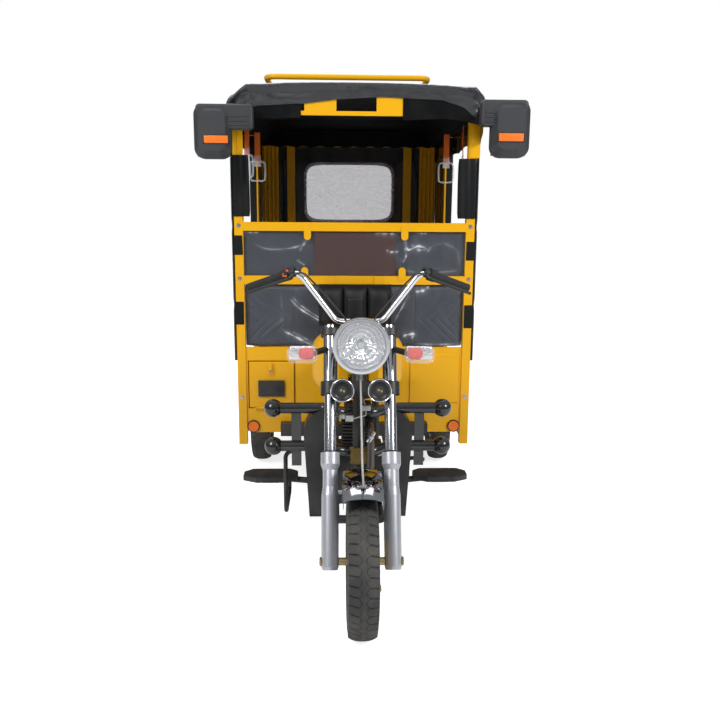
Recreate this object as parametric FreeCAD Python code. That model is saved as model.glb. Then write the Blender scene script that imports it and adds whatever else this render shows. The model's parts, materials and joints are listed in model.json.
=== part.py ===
import FreeCAD, Part
import math
import os

# Auto rickshaw: a motorcycle front end ahead of a three-seat passenger cabin on a driven rear axle.
# Millimetres. +X is to the viewer's right as seen from ahead, the vehicle faces -Y and +Z is up.
# The origin lies on the ground under the centre of the whole vehicle.

V = FreeCAD.Vector
os.makedirs("parts", exist_ok=True)

# Driving dimensions of the whole vehicle
LENGTH = 2950.0
WHEELBASE = 2012.0
TYRE_RADIUS = 268.0
TYRE_WIDTH = 112.0
REAR_TRACK = 1063.0
CABIN_SETBACK = 1091.0
CABIN_HALF = 561.0
REAR_WALL_INSET = 90.0
MIRROR_HALF = 700.0

# Levels above the ground
SILL_Z = 365.0
FLOOR_Z = 500.0
WAIST_Z = 1000.0
MID_RAIL_Z = 1169.0
TOP_RAIL_Z = 1417.0
ROOF_RAIL_Z = 1900.0
CROWN_Z = 2040.0

# Clearances and general values
FACE_GAP = 0.3
BEARING_CLEARANCE = 0.05
SEAT_CLEARANCE = 0.02
BODY_GAP = 8.0
OVERRUN = 20.0
SHEET = 3.0
FABRIC = 6.0

# Places that follow from the driving dimensions
AXLE_Z = TYRE_RADIUS
FRONT_AXLE_Y = TYRE_RADIUS - LENGTH / 2
REAR_AXLE_Y = FRONT_AXLE_Y + WHEELBASE
CABIN_FRONT_Y = FRONT_AXLE_Y + CABIN_SETBACK
REAR_END_Y = LENGTH / 2
REAR_WALL_Y = REAR_END_Y - REAR_WALL_INSET
X_AXIS = V(1, 0, 0)
Y_AXIS = V(0, 1, 0)
Z_AXIS = V(0, 0, 1)


# General shapes

UPRIGHT_SHARE = 0.9


def box(x0, x1, y0, y1, z0, z1):
    return Part.makeBox(x1 - x0, y1 - y0, z1 - z0, V(x0, y0, z0))


def rod(start, end, radius):
    """Round bar between two points."""
    path = end.sub(start)
    return Part.makeCylinder(radius, path.Length, start, path)


def mirrored(shape):
    """The same shape on the other side of the vehicle."""
    return shape.mirror(V(0, 0, 0), X_AXIS)


def both_sides(shape):
    return [shape, mirrored(shape)]


def join(*shapes):
    return shapes[0].fuse(list(shapes[1:])).removeSplitter()


def main_solid(shape):
    """The largest solid, without chips that a cut leaves."""
    return max(shape.Solids, key=lambda solid: solid.Volume)


def outline_face(points):
    return Part.Face(Part.makePolygon(points + points[:1]))


def plate_x(outline, x0, x1):
    """Plate across X with a (y, z) outline."""
    return outline_face([V(x0, y, z) for y, z in outline]).extrude(V(x1 - x0, 0, 0))


def plate_y(outline, y0, y1):
    """Plate across Y with an (x, z) outline."""
    return outline_face([V(x, y0, z) for x, z in outline]).extrude(V(0, y1 - y0, 0))


def plate_z(outline, z0, z1):
    """Plate across Z with an (x, y) outline."""
    return outline_face([V(x, y, z0) for x, y in outline]).extrude(V(0, 0, z1 - z0))


def rounded_wire(half_x, half_z, radius, y, x=0.0, z=0.0):
    """Rounded rectangle in the plane y, centred on (x, z)."""
    bow = radius / math.sqrt(2)
    flat_x = half_x - radius
    flat_z = half_z - radius
    edges = []
    quarters = ((1, 1), (-1, 1), (-1, -1), (1, -1))
    for number, (sx, sz) in enumerate(quarters):
        corner = V(x + sx * flat_x, y, z + sz * flat_z)
        side_on = corner.add(V(sx * radius, 0, 0))
        top_on = corner.add(V(0, 0, sz * radius))
        middle = corner.add(V(sx * bow, 0, sz * bow))
        ends = (side_on, top_on) if sx * sz > 0 else (top_on, side_on)
        edges.append(Part.Arc(ends[0], middle, ends[1]).toShape())
        next_sx, next_sz = quarters[(number + 1) % len(quarters)]
        next_corner = V(x + next_sx * flat_x, y, z + next_sz * flat_z)
        if next_sx * next_sz > 0:
            next_start = next_corner.add(V(next_sx * radius, 0, 0))
        else:
            next_start = next_corner.add(V(0, 0, next_sz * radius))
        edges.append(Part.LineSegment(ends[1], next_start).toShape())
    return Part.Wire(edges)


def rounded_block(half_x, half_z, radius, y0, y1, x=0.0, z=0.0):
    return Part.Face(rounded_wire(half_x, half_z, radius, y0, x, z)).extrude(V(0, y1 - y0, 0))


def turned(profile, centre, axis, side):
    """Solid of revolution from (distance along the axis, radius) points."""
    points = [centre.add(axis * along).add(side * radius) for along, radius in profile]
    return outline_face(points).revolve(centre, axis, 360)


def path_wire(points, bend):
    """Straight runs joined by tangent arcs of one radius."""
    edges = []
    start = points[0]
    for before, corner, after in zip(points, points[1:], points[2:]):
        into = corner.sub(before).normalize()
        out = after.sub(corner).normalize()
        half_turn = into.getAngle(out) / 2
        reach = bend * math.tan(half_turn)
        rise = bend / math.cos(half_turn) - bend
        entry = corner.sub(into * reach)
        leave = corner.add(out * reach)
        middle = corner.add(out.sub(into).normalize() * rise)
        edges.append(Part.LineSegment(start, entry).toShape())
        edges.append(Part.Arc(entry, middle, leave).toShape())
        start = leave
    edges.append(Part.LineSegment(start, points[-1]).toShape())
    return Part.Wire(edges)


def smooth_bar(points, reach_share, radius):
    """Round bar whose arc at each corner is as large as the two runs there allow."""
    edges = []
    start = points[0]
    for before, corner, after in zip(points, points[1:], points[2:]):
        into = corner.sub(before)
        out = after.sub(corner)
        reach = reach_share * min(into.Length, out.Length)
        half_turn = into.getAngle(out) / 2
        bend = reach / math.tan(half_turn)
        rise = bend / math.cos(half_turn) - bend
        into = into * (1 / into.Length)
        out = out * (1 / out.Length)
        entry = corner.sub(into * reach)
        leave = corner.add(out * reach)
        inward = out.sub(into)
        middle = corner.add(inward * (rise / inward.Length))
        edges.append(Part.LineSegment(start, entry).toShape())
        edges.append(Part.Arc(entry, middle, leave).toShape())
        start = leave
    edges.append(Part.LineSegment(start, points[-1]).toShape())
    ring = Part.Wire(Part.makeCircle(radius, points[0], points[1].sub(points[0])))
    return Part.Wire(edges).makePipeShell([ring], True, False)


def bent_bar(points, bend, radius):
    """Round bar carried along a bent path."""
    path = path_wire(points, bend)
    ring = Part.Wire(Part.makeCircle(radius, points[0], points[1].sub(points[0])))
    return path.makePipeShell([ring], True, False)


def write(name, *solids):
    shape = solids[0] if len(solids) == 1 else Part.makeCompound(list(solids))
    shape.exportStep("parts/" + name + ".step")
    return shape


# Steering geometry: the legs lean back by the rake and the stem lies behind them
RAKE_DEG = 25.0
LEG_SPACING = 224.0
STEM_OFFSET = 55.0
STEM_RADIUS = 14.0
LOWER_YOKE_FOOT = 602.0
YOKE_THICK = 48.0
UPPER_YOKE_FOOT = 828.0
UPPER_YOKE_THICK = 28.0
LEG_X = LEG_SPACING / 2
RAKED = FreeCAD.Placement(V(0, FRONT_AXLE_Y, AXLE_Z), FreeCAD.Rotation(X_AXIS, -RAKE_DEG))


def raked(shape):
    """Shape drawn upright over the front axle, leaned back with the fork."""
    leaned = shape.copy()
    leaned.Placement = RAKED.multiply(shape.Placement)
    return leaned


def raked_point(x, back, up):
    return RAKED.multVec(V(x, back, up))


# Wheels: pressed steel rims with drum hubs
RIM_SEAT_RADIUS = 127.0
RIM_FLANGE_RADIUS = 139.0
RIM_FLANGE = 4.0
RIM_HALF_WIDTH = 42.0
RIM_WALL = 5.0
TYRE_SHOULDER_DROP = 12.0
TYRE_BEAD_HALF = 37.0
TYRE_SIDE_RADIUS = 196.0
DISC_THICK = 6.0
HUB_RADIUS = 34.0
DRUM_RADIUS = 88.0
DRUM_HALF = 36.0
HUB_HALF = 48.0
WHEEL_HOLES = 8
WHEEL_HOLE_RADIUS = 11.0
FRONT_AXLE_RADIUS = 8.0
REAR_STUB_RADIUS = 17.0


def tyre(x, y):
    """Round-shouldered tyre seated on its rim."""
    centre = V(x, y, AXLE_Z)
    half = TYRE_WIDTH / 2
    crown = V(0, 0, TYRE_RADIUS)
    shoulder_radius = TYRE_RADIUS - TYRE_SHOULDER_DROP
    shoulder_half = half - TYRE_SHOULDER_DROP

    def at(along, radius):
        return centre.add(V(along, 0, radius))

    seat = RIM_SEAT_RADIUS
    edges = [
        Part.LineSegment(at(-TYRE_BEAD_HALF, seat), at(TYRE_BEAD_HALF, seat)).toShape(),
        Part.Arc(at(TYRE_BEAD_HALF, seat), at(half, TYRE_SIDE_RADIUS),
                 at(shoulder_half, shoulder_radius)).toShape(),
        Part.Arc(at(shoulder_half, shoulder_radius), centre.add(crown),
                 at(-shoulder_half, shoulder_radius)).toShape(),
        Part.Arc(at(-shoulder_half, shoulder_radius), at(-half, TYRE_SIDE_RADIUS),
                 at(-TYRE_BEAD_HALF, seat)).toShape(),
    ]
    return Part.Face(Part.Wire(edges)).revolve(centre, X_AXIS, 360)


def rim(x, y, bore_radius, side):
    """Drop-centre rim on a drum hub, open side towards the brake plate; side is +1 or -1."""
    centre = V(x, y, AXLE_Z)
    barrel_in = RIM_SEAT_RADIUS - RIM_WALL
    barrel = [
        (-RIM_HALF_WIDTH, barrel_in), (RIM_HALF_WIDTH, barrel_in),
        (RIM_HALF_WIDTH, RIM_FLANGE_RADIUS), (RIM_HALF_WIDTH - RIM_FLANGE, RIM_FLANGE_RADIUS),
        (TYRE_BEAD_HALF, RIM_SEAT_RADIUS), (-TYRE_BEAD_HALF, RIM_SEAT_RADIUS),
        (RIM_FLANGE - RIM_HALF_WIDTH, RIM_FLANGE_RADIUS), (-RIM_HALF_WIDTH, RIM_FLANGE_RADIUS),
    ]
    inner_face = side * (DRUM_HALF - 2 * DISC_THICK)
    outer_face = side * DRUM_HALF
    wall = side * DISC_THICK
    hub = [
        (-side * DRUM_HALF, DRUM_RADIUS), (outer_face, DRUM_RADIUS),
        (outer_face, HUB_RADIUS), (side * HUB_HALF, HUB_RADIUS),
        (side * HUB_HALF, bore_radius), (-side * DRUM_HALF, bore_radius),
        (-side * DRUM_HALF, HUB_RADIUS), (inner_face, HUB_RADIUS),
        (inner_face, DRUM_RADIUS - DISC_THICK), (-side * DRUM_HALF, DRUM_RADIUS - DISC_THICK),
    ]
    dished = [
        (outer_face - wall, DRUM_RADIUS), (outer_face, DRUM_RADIUS),
        (wall + wall, barrel_in), (wall, barrel_in),
    ]
    wheel = join(*[turned(profile, centre, X_AXIS, Z_AXIS) for profile in (barrel, hub, dished)])
    hole_circle = (DRUM_RADIUS + barrel_in) / 2
    for number in range(WHEEL_HOLES):
        angle = 2 * math.pi * number / WHEEL_HOLES
        middle = centre.add(V(-side * DRUM_HALF, hole_circle * math.cos(angle),
                              hole_circle * math.sin(angle)))
        through = V(side * 2 * DRUM_HALF, 0, 0)
        wheel = wheel.cut(rod(middle, middle.add(through), WHEEL_HOLE_RADIUS))
    return wheel


# Front axle, brake plate and arm
AXLE_HALF = 150.0
NUT_RADIUS = 16.0
NUT_SIDES = 6
NUT_THICK = 12.0
PLATE_RADIUS = 84.0
PLATE_THICK = 10.0
PLATE_GAP = 5.0
SPACER_RADIUS = 14.0
ARM_LENGTH = 104.0
ARM_WIDTH = 20.0
ARM_THICK = 6.0
CAM_RADIUS = 11.0
CAM_AHEAD = 52.0
CAM_RISE = 28.0
ADJUSTER_RADIUS = 9.0
ADJUSTER_HALF = 16.0

# Fork legs
LEG_RADIUS = 31.0
LEG_FOOT = -30.0
NECK_RADIUS = 27.0
NECK_FOOT = 262.0
NECK_TOP = 322.0
COLLAR_RADIUS = 35.0
COLLAR_FOOT = 342.0
LEG_TOP = 385.0
LEG_TAPER_FOOT = 232.0
PEG_UP = 243.0
PEG_RADIUS = 8.0
GUARD_STAND = 48.0
GUARD_HALF = 68.0
GUARD_DROP = 36.0
GUARD_WALL = 2.5
GUARD_CROWN = 12.0
GUARD_FRONT_DEG = 28.0
GUARD_REAR_DEG = 64.0
GUARD_EAR_HALF = 15.0
GROMMET_DEG = 20.0
GROMMET_RADIUS = 9.0
GROMMET_HEIGHT = 14.0


def fork_legs():
    """Lower legs with collar, neck, mudguard peg and axle hole."""
    legs = []
    profile = [
        (LEG_FOOT, 0.0), (LEG_FOOT, NECK_RADIUS), (LEG_FOOT + NUT_THICK, LEG_RADIUS),
        (LEG_TAPER_FOOT, LEG_RADIUS), (NECK_FOOT, NECK_RADIUS), (NECK_TOP, NECK_RADIUS),
        (COLLAR_FOOT, COLLAR_RADIUS), (LEG_TOP, COLLAR_RADIUS), (LEG_TOP, 0.0),
    ]
    hole = FRONT_AXLE_RADIUS + SEAT_CLEARANCE
    for side in (1, -1):
        leg = turned(profile, V(side * LEG_X, 0, 0), Z_AXIS, X_AXIS)
        peg_start = V(side * (GUARD_HALF + FACE_GAP), 0, PEG_UP)
        peg = rod(peg_start, V(side * LEG_X, 0, PEG_UP), PEG_RADIUS)
        across = rod(V(side * (LEG_X - LEG_RADIUS - OVERRUN), 0, 0),
                     V(side * (LEG_X + LEG_RADIUS + OVERRUN), 0, 0), hole)
        legs.append(raked(leg.fuse(peg).cut(across)))
    return legs


def front_axle():
    """Axle with nuts and spacers, the fixed brake plate and the arm that hangs from its cam."""
    centre = V(0, FRONT_AXLE_Y, AXLE_Z)
    pieces = [rod(centre.sub(X_AXIS * AXLE_HALF), centre.add(X_AXIS * AXLE_HALF), FRONT_AXLE_RADIUS)]
    leg_outside = LEG_X + LEG_RADIUS
    leg_inside = LEG_X - LEG_RADIUS
    for side in (1, -1):
        nut_start = centre.add(X_AXIS * (side * leg_outside))
        corners = []
        for number in range(NUT_SIDES + 1):
            turn = math.pi * 2 * number / NUT_SIDES
            corners.append(nut_start.add(V(0, NUT_RADIUS * math.cos(turn), NUT_RADIUS * math.sin(turn))))
        pieces.append(Part.Face(Part.makePolygon(corners)).extrude(X_AXIS * (side * NUT_THICK / 2)))
    plate_x0 = DRUM_HALF + PLATE_GAP
    plate_x1 = plate_x0 + PLATE_THICK
    pieces.append(rod(centre.add(X_AXIS * plate_x0), centre.add(X_AXIS * plate_x1), PLATE_RADIUS))
    spacers = (DRUM_HALF + FACE_GAP, leg_inside), (-HUB_HALF - FACE_GAP, -leg_inside)
    for near_x, far_x in spacers:
        pieces.append(rod(centre.add(X_AXIS * near_x), centre.add(X_AXIS * far_x), SPACER_RADIUS))
    cam = V(plate_x1, FRONT_AXLE_Y - CAM_AHEAD, AXLE_Z + CAM_RISE)
    arm_x1 = plate_x1 + CAM_RADIUS
    arm_x0 = arm_x1 - ARM_THICK
    pieces.append(rod(cam, V(arm_x1, cam.y, cam.z), CAM_RADIUS))
    pieces.append(box(arm_x0, arm_x1, cam.y - ARM_WIDTH / 2, cam.y + ARM_WIDTH / 2, cam.z - ARM_LENGTH, cam.z))
    adjuster = V((arm_x0 + arm_x1) / 2, cam.y - ADJUSTER_HALF, cam.z - ARM_LENGTH)
    pieces.append(rod(adjuster, adjuster.add(Y_AXIS * (ADJUSTER_HALF * 2)), ADJUSTER_RADIUS))
    return join(*pieces)


def front_mudguard():
    """Crowned guard turned about the axle, with ears to the legs' pegs and a grommet for the cable."""
    centre = V(0, FRONT_AXLE_Y, AXLE_Z)
    inner = TYRE_RADIUS + GUARD_STAND

    def channel(half, foot, top, crown):
        def at(x, radius):
            return centre.add(V(x, 0, radius))
        edges = [
            Part.LineSegment(at(-half, foot), at(-half, top)).toShape(),
            Part.Arc(at(-half, top), at(0, top + crown), at(half, top)).toShape(),
            Part.LineSegment(at(half, top), at(half, foot)).toShape(),
            Part.LineSegment(at(half, foot), at(-half, foot)).toShape(),
        ]
        return Part.Face(Part.Wire(edges))

    foot = inner - GUARD_DROP
    outer_face = channel(GUARD_HALF, foot, inner + GUARD_WALL, GUARD_CROWN)
    inner_face = channel(GUARD_HALF - GUARD_WALL, foot - OVERRUN, inner, GUARD_CROWN)
    section = outer_face.cut(inner_face).Faces[0]
    section.rotate(centre, X_AXIS, GUARD_FRONT_DEG)
    guard = section.revolve(centre, X_AXIS, -(GUARD_FRONT_DEG + GUARD_REAR_DEG))
    ear = raked(box(GUARD_HALF - GUARD_WALL, GUARD_HALF, -GUARD_EAR_HALF, GUARD_EAR_HALF,
                    PEG_UP - GUARD_EAR_HALF, inner - GUARD_DROP / 2))
    grommet = rod(guard_point(0.0), guard_point(GROMMET_HEIGHT), GROMMET_RADIUS)
    return join(guard, grommet, *both_sides(ear))


def guard_point(rise):
    """Point over the middle of the mudguard where the dial's cable meets it."""
    reach = TYRE_RADIUS + GUARD_STAND + GUARD_CROWN + rise
    angle = math.radians(GROMMET_DEG)
    return V(0, FRONT_AXLE_Y - reach * math.sin(angle), AXLE_Z + reach * math.cos(angle))


# Fork tubes, covers and yokes
TUBE_RADIUS = 22.5
COVER_RADIUS = 27.0
TUBE_TOP = 870.0
YOKE_EYE_RADIUS = 36.0
STEM_EYE_RADIUS = 32.0
STEM_NUT_RADIUS = 20.0
STEM_NUT_TOP = 878.0
WEB_SHARE = 0.7
RISER_X = 44.0
RISER_RADIUS = 15.0
BAR_RADIUS = 11.0
BAR_BACK = 25.0
BAR_UP = 896.0


def fork_tubes():
    """Polished tubes above the legs, with covers between the yokes."""
    tubes = []
    for side in (1, -1):
        x = side * LEG_X
        tube = rod(V(x, 0, LEG_TOP), V(x, 0, TUBE_TOP), TUBE_RADIUS)
        cover = rod(V(x, 0, LOWER_YOKE_FOOT + YOKE_THICK), V(x, 0, UPPER_YOKE_FOOT), COVER_RADIUS)
        tubes.append(raked(join(tube, cover)))
    return tubes


def yoke(foot, thick):
    """Clamp plate: eyes for the two tubes and the stem, joined by a web."""
    stem = V(0, STEM_OFFSET, foot)
    up = V(0, 0, thick)
    web = [
        (LEG_X, -YOKE_EYE_RADIUS * WEB_SHARE), (LEG_X, YOKE_EYE_RADIUS),
        (0, STEM_OFFSET + STEM_EYE_RADIUS), (-LEG_X, YOKE_EYE_RADIUS),
        (-LEG_X, -YOKE_EYE_RADIUS * WEB_SHARE),
    ]
    pieces = [plate_z(web, foot, foot + thick), rod(stem, stem.add(up), STEM_EYE_RADIUS)]
    for side in (1, -1):
        eye = V(side * LEG_X, 0, foot)
        pieces.append(rod(eye, eye.add(up), YOKE_EYE_RADIUS))
    body = join(*pieces)
    for side in (1, -1):
        eye = V(side * LEG_X, 0, foot)
        body = body.cut(rod(eye, eye.add(up), TUBE_RADIUS + SEAT_CLEARANCE))
    return body


def fork_clamps():
    """Lower and upper yokes on one stem, with the handlebar risers."""
    lower = yoke(LOWER_YOKE_FOOT, YOKE_THICK)
    upper = yoke(UPPER_YOKE_FOOT, UPPER_YOKE_THICK)
    stem = rod(V(0, STEM_OFFSET, LOWER_YOKE_FOOT), V(0, STEM_OFFSET, UPPER_YOKE_FOOT + STEM_RADIUS),
               STEM_RADIUS)
    nut = rod(V(0, STEM_OFFSET, UPPER_YOKE_FOOT + UPPER_YOKE_THICK), V(0, STEM_OFFSET, STEM_NUT_TOP),
              STEM_NUT_RADIUS)
    risers = []
    for side in (1, -1):
        foot = V(side * RISER_X, BAR_BACK, UPPER_YOKE_FOOT + UPPER_YOKE_THICK)
        risers.append(rod(foot, V(side * RISER_X, BAR_BACK, BAR_UP), RISER_RADIUS))
    body = raked(join(lower, upper, stem, nut, *risers))
    bar_centre = raked_point(0, BAR_BACK, BAR_UP)
    slot = rod(bar_centre.sub(X_AXIS * LEG_X), bar_centre.add(X_AXIS * LEG_X), BAR_RADIUS + SEAT_CLEARANCE)
    return body.cut(slot)


# Handlebar, grips, levers and switches
BAR_STRAIGHT_HALF = 88.0
BAR_SHOULDER_X = 236.0
BAR_SHOULDER_RISE = 194.0
BAR_END_X = 430.0
BAR_END_BACK = 78.0
BAR_END_DROP = 72.0
BAR_BEND = 50.0
GRIP_RADIUS = 17.0
GRIP_SHARE = 0.36
SWITCH_SHARE = 0.12
SWITCH_RADIUS = 24.0
LEVER_RADIUS = 6.0
LEVER_REACH = 62.0
LEVER_DROP = 14.0
LEVER_BEND = 24.0
PERCH_SHARE = 0.5


def bar_points():
    middle = raked_point(0, BAR_BACK, BAR_UP)
    straight = middle.add(X_AXIS * BAR_STRAIGHT_HALF)
    shoulder = middle.add(V(BAR_SHOULDER_X, 0, BAR_SHOULDER_RISE))
    end = V(BAR_END_X, shoulder.y + BAR_END_BACK, shoulder.z - BAR_END_DROP)
    return straight, shoulder, end


def flip(point):
    return V(-point.x, point.y, point.z)


def handlebar():
    straight, shoulder, end = bar_points()
    points = [flip(end), flip(shoulder), flip(straight), straight, shoulder, end]
    return bent_bar(points, BAR_BEND, BAR_RADIUS)


def grips():
    """Rubber sleeves on the bar's ends and switch blocks beside them."""
    shoulder, end = bar_points()[1:]
    along = end.sub(shoulder)
    grip_start = end.sub(along * GRIP_SHARE * 2)
    switch_start = grip_start.sub(along * SWITCH_SHARE)
    sleeve = rod(grip_start, end, GRIP_RADIUS)
    block = rod(switch_start, grip_start, SWITCH_RADIUS)
    hole = rod(shoulder, end.add(along), BAR_RADIUS + SEAT_CLEARANCE)
    return both_sides(join(sleeve, block).cut(hole))


def levers(bar):
    """Hand levers ahead of the grips, each on a perch round the bar."""
    shoulder, end = bar_points()[1:]
    along = end.sub(shoulder)
    seat = along * (FACE_GAP / along.Length)
    perch_end = end.sub(along * (GRIP_SHARE * 2 + SWITCH_SHARE)).sub(seat)
    perch_start = perch_end.sub(along * SWITCH_SHARE)
    perch = rod(perch_start, perch_end, SWITCH_RADIUS - LEVER_RADIUS)
    ahead = V(0, -LEVER_REACH, -LEVER_DROP)
    middle = perch_start.add(perch_end) * PERCH_SHARE
    blade = bent_bar([middle, middle.add(ahead), end.add(ahead)], LEVER_BEND, LEVER_RADIUS)
    hole = rod(shoulder, end.add(along), BAR_RADIUS + SEAT_CLEARANCE)
    return both_sides(join(perch, blade).cut(hole).cut(bar))


# Headlight on the fork covers
LAMP_Z = 1012.0
LAMP_SETBACK = 172.0
LAMP_FACE_Y = FRONT_AXLE_Y + LAMP_SETBACK
LAMP_RADIUS = 103.0
LAMP_RIM_DEPTH = 22.0
LAMP_DEPTH = 132.0
LAMP_BACK_RADIUS = 48.0
LAMP_WALL = 4.0
LENS_RADIUS = 93.0
LENS_BULGE = 14.0
LENS_THICK = 5.0
EAR_HALF_HEIGHT = 24.0
EAR_THICK = 5.0
MID_BODY_SHARE = 0.55


def headlight(fork, yokes):
    """Round shell with a rim, open at the face, and ears to the fork covers."""
    centre = V(0, LAMP_FACE_Y, LAMP_Z)
    middle = LAMP_DEPTH * MID_BODY_SHARE
    outer = [
        (0, LENS_RADIUS), (0, LAMP_RADIUS), (LAMP_RIM_DEPTH, LAMP_RADIUS),
        (middle, LAMP_RADIUS - LAMP_RIM_DEPTH), (LAMP_DEPTH, LAMP_BACK_RADIUS), (LAMP_DEPTH, 0),
        (LAMP_DEPTH - LAMP_WALL, 0), (LAMP_DEPTH - LAMP_WALL, LAMP_BACK_RADIUS - LAMP_WALL),
        (middle, LAMP_RADIUS - LAMP_RIM_DEPTH - LAMP_WALL), (LAMP_RIM_DEPTH, LENS_RADIUS - LAMP_WALL),
        (LENS_THICK + FACE_GAP, LENS_RADIUS - LAMP_WALL), (LENS_THICK + FACE_GAP, LENS_RADIUS),
    ]
    shell = turned(outer, centre, Y_AXIS, Z_AXIS)
    leg_y = raked_point(0, 0, (LAMP_Z - AXLE_Z) / math.cos(math.radians(RAKE_DEG))).y
    ear_x = LAMP_RADIUS - EAR_THICK
    ear = box(ear_x, ear_x + EAR_THICK, LAMP_FACE_Y + LAMP_WALL, leg_y,
              LAMP_Z - EAR_HALF_HEIGHT, LAMP_Z + EAR_HALF_HEIGHT)
    ears = both_sides(ear)
    cavity = rod(centre, centre.add(Y_AXIS * LAMP_RIM_DEPTH), LENS_RADIUS)
    body = join(shell, *[piece.cut(cavity) for piece in ears])
    for piece in fork + [yokes]:
        body = body.cut(piece)
    return main_solid(body)


def headlight_lens():
    """Shallow domed glass between two balls of one radius."""
    edge = LENS_RADIUS - FACE_GAP
    ball = (edge * edge + LENS_BULGE * LENS_BULGE) / LENS_BULGE / 2
    front = V(0, LAMP_FACE_Y - LENS_BULGE + ball, LAMP_Z)
    start = V(0, LAMP_FACE_Y - LENS_BULGE - OVERRUN, LAMP_Z)
    disc = rod(start, V(0, LAMP_FACE_Y + LENS_THICK, LAMP_Z), edge)
    dome = disc.common(Part.makeSphere(ball, front))
    return main_solid(dome.cut(Part.makeSphere(ball, front.add(Y_AXIS * LENS_THICK))))


# Twin horns on the lower yoke
HORN_X = 68.0
HORN_Z = 850.0
HORN_RADIUS = 44.0
HORN_SETBACK = 166.0
HORN_FACE_Y = FRONT_AXLE_Y + HORN_SETBACK
HORN_DEPTH = 44.0
HORN_MOUTH_RADIUS = 33.0
HORN_MOUTH_DEPTH = 9.0
HORN_BOSS_RADIUS = 15.0
HORN_STEM_RADIUS = 7.0


def horns(yokes):
    """Disc horns with a raised rim and a boss in the mouth, each on a stem from the yoke."""
    pieces = []
    rim_wall = HORN_RADIUS - HORN_MOUTH_RADIUS
    profile = [
        (HORN_MOUTH_DEPTH / 2, 0), (HORN_MOUTH_DEPTH / 2, HORN_BOSS_RADIUS),
        (HORN_MOUTH_DEPTH, HORN_BOSS_RADIUS), (HORN_MOUTH_DEPTH, HORN_MOUTH_RADIUS),
        (0, HORN_MOUTH_RADIUS), (0, HORN_RADIUS), (HORN_MOUTH_DEPTH, HORN_RADIUS),
        (HORN_DEPTH - HORN_MOUTH_DEPTH, HORN_RADIUS - rim_wall / 2),
        (HORN_DEPTH, HORN_BOSS_RADIUS), (HORN_DEPTH, 0),
    ]
    for side in (1, -1):
        centre = V(side * HORN_X, HORN_FACE_Y, HORN_Z)
        disc = turned(profile, centre, Y_AXIS, Z_AXIS)
        stem_start = centre.add(Y_AXIS * (HORN_DEPTH - HORN_MOUTH_DEPTH))
        yoke_y = raked_point(0, 0, LOWER_YOKE_FOOT).y
        stem_end = V(side * HORN_X, yoke_y, HORN_Z)
        stem = rod(stem_start, stem_end, HORN_STEM_RADIUS)
        pieces.append(join(disc, stem).cut(yokes).Solids[0])
    return pieces


# Turn signals on stalks from the fork covers
SIGNAL_X = 214.0
SIGNAL_Z = 977.0
SIGNAL_HALF_X = 56.0
SIGNAL_HALF_Z = 32.0
SIGNAL_SETBACK = 196.0
SIGNAL_FACE_Y = FRONT_AXLE_Y + SIGNAL_SETBACK
SIGNAL_DEPTH = 62.0
SIGNAL_CORNER = 28.0
SIGNAL_TIP_SHARE = 0.55
STALK_RADIUS = 9.0


def indicators(fork):
    """Teardrop lamps, fullest at the face and narrowing to the stalk."""
    back_half_x = SIGNAL_HALF_X * SIGNAL_TIP_SHARE
    back_half_z = SIGNAL_HALF_Z * SIGNAL_TIP_SHARE
    back_corner = SIGNAL_CORNER * SIGNAL_TIP_SHARE
    face = rounded_wire(SIGNAL_HALF_X, SIGNAL_HALF_Z, SIGNAL_CORNER, SIGNAL_FACE_Y, SIGNAL_X, SIGNAL_Z)
    back = rounded_wire(back_half_x, back_half_z, back_corner, SIGNAL_FACE_Y + SIGNAL_DEPTH, SIGNAL_X, SIGNAL_Z)
    lamp = Part.makeLoft([face, back], True, True)
    leg_up = (SIGNAL_Z - AXLE_Z) / math.cos(math.radians(RAKE_DEG))
    leg = raked_point(LEG_X, 0, leg_up)
    stalk = rod(V(SIGNAL_X - back_half_x, SIGNAL_FACE_Y + SIGNAL_DEPTH / 2, SIGNAL_Z), leg, STALK_RADIUS)
    pieces = []
    for piece, tube in zip(both_sides(join(lamp, stalk)), fork):
        pieces.append(piece.cut(tube).Solids[0])
    return pieces


# Speedometer between the handlebar and the headlight
DIAL_RADIUS = 31.0
DIAL_DEPTH = 30.0
DIAL_BACK = -18.0
DIAL_UP = 861.0
DIAL_FOOT_RADIUS = 12.0
CASE_SHARE = 0.7


def speedometer():
    foot = V(0, DIAL_BACK, UPPER_YOKE_FOOT + UPPER_YOKE_THICK)
    base = V(0, DIAL_BACK, DIAL_UP)
    top = V(0, DIAL_BACK, DIAL_UP + DIAL_DEPTH)
    case = turned([(0, 0), (0, DIAL_RADIUS * CASE_SHARE), (DIAL_DEPTH / 2, DIAL_RADIUS),
                   (DIAL_DEPTH, DIAL_RADIUS), (DIAL_DEPTH, 0)], base, Z_AXIS, X_AXIS)
    post = rod(foot, top, DIAL_FOOT_RADIUS)
    return raked(join(case, post))


# Control cables of the steering
CABLE_RADIUS = 3.5
CABLE_REACH_SHARE = 0.45
CABLE_LEAD_X = 40.0
CABLE_LEAD_RISE = 14.0
CABLE_DROP_X = 105.0
CABLE_DROP = 48.0
CABLE_LAMP_X = 24.0
CABLE_LAMP_BACK = 34.0
CABLE_LAMP_RISE = 70.0
DIAL_CABLE_BACK = 33.0
DIAL_CABLE_YOKE_BACK = 36.0
DIAL_CABLE_YOKE_UP = 823.0
DIAL_CABLE_LAMP_BACK = 5.0
DIAL_CABLE_LAMP_UP = 761.0
DIAL_CABLE_HORN_BACK = 44.0
DIAL_CABLE_HORN_UP = 670.0
DIAL_CABLE_END_RISE = 90.0
DIAL_CABLE_END_X = 6.0


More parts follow.
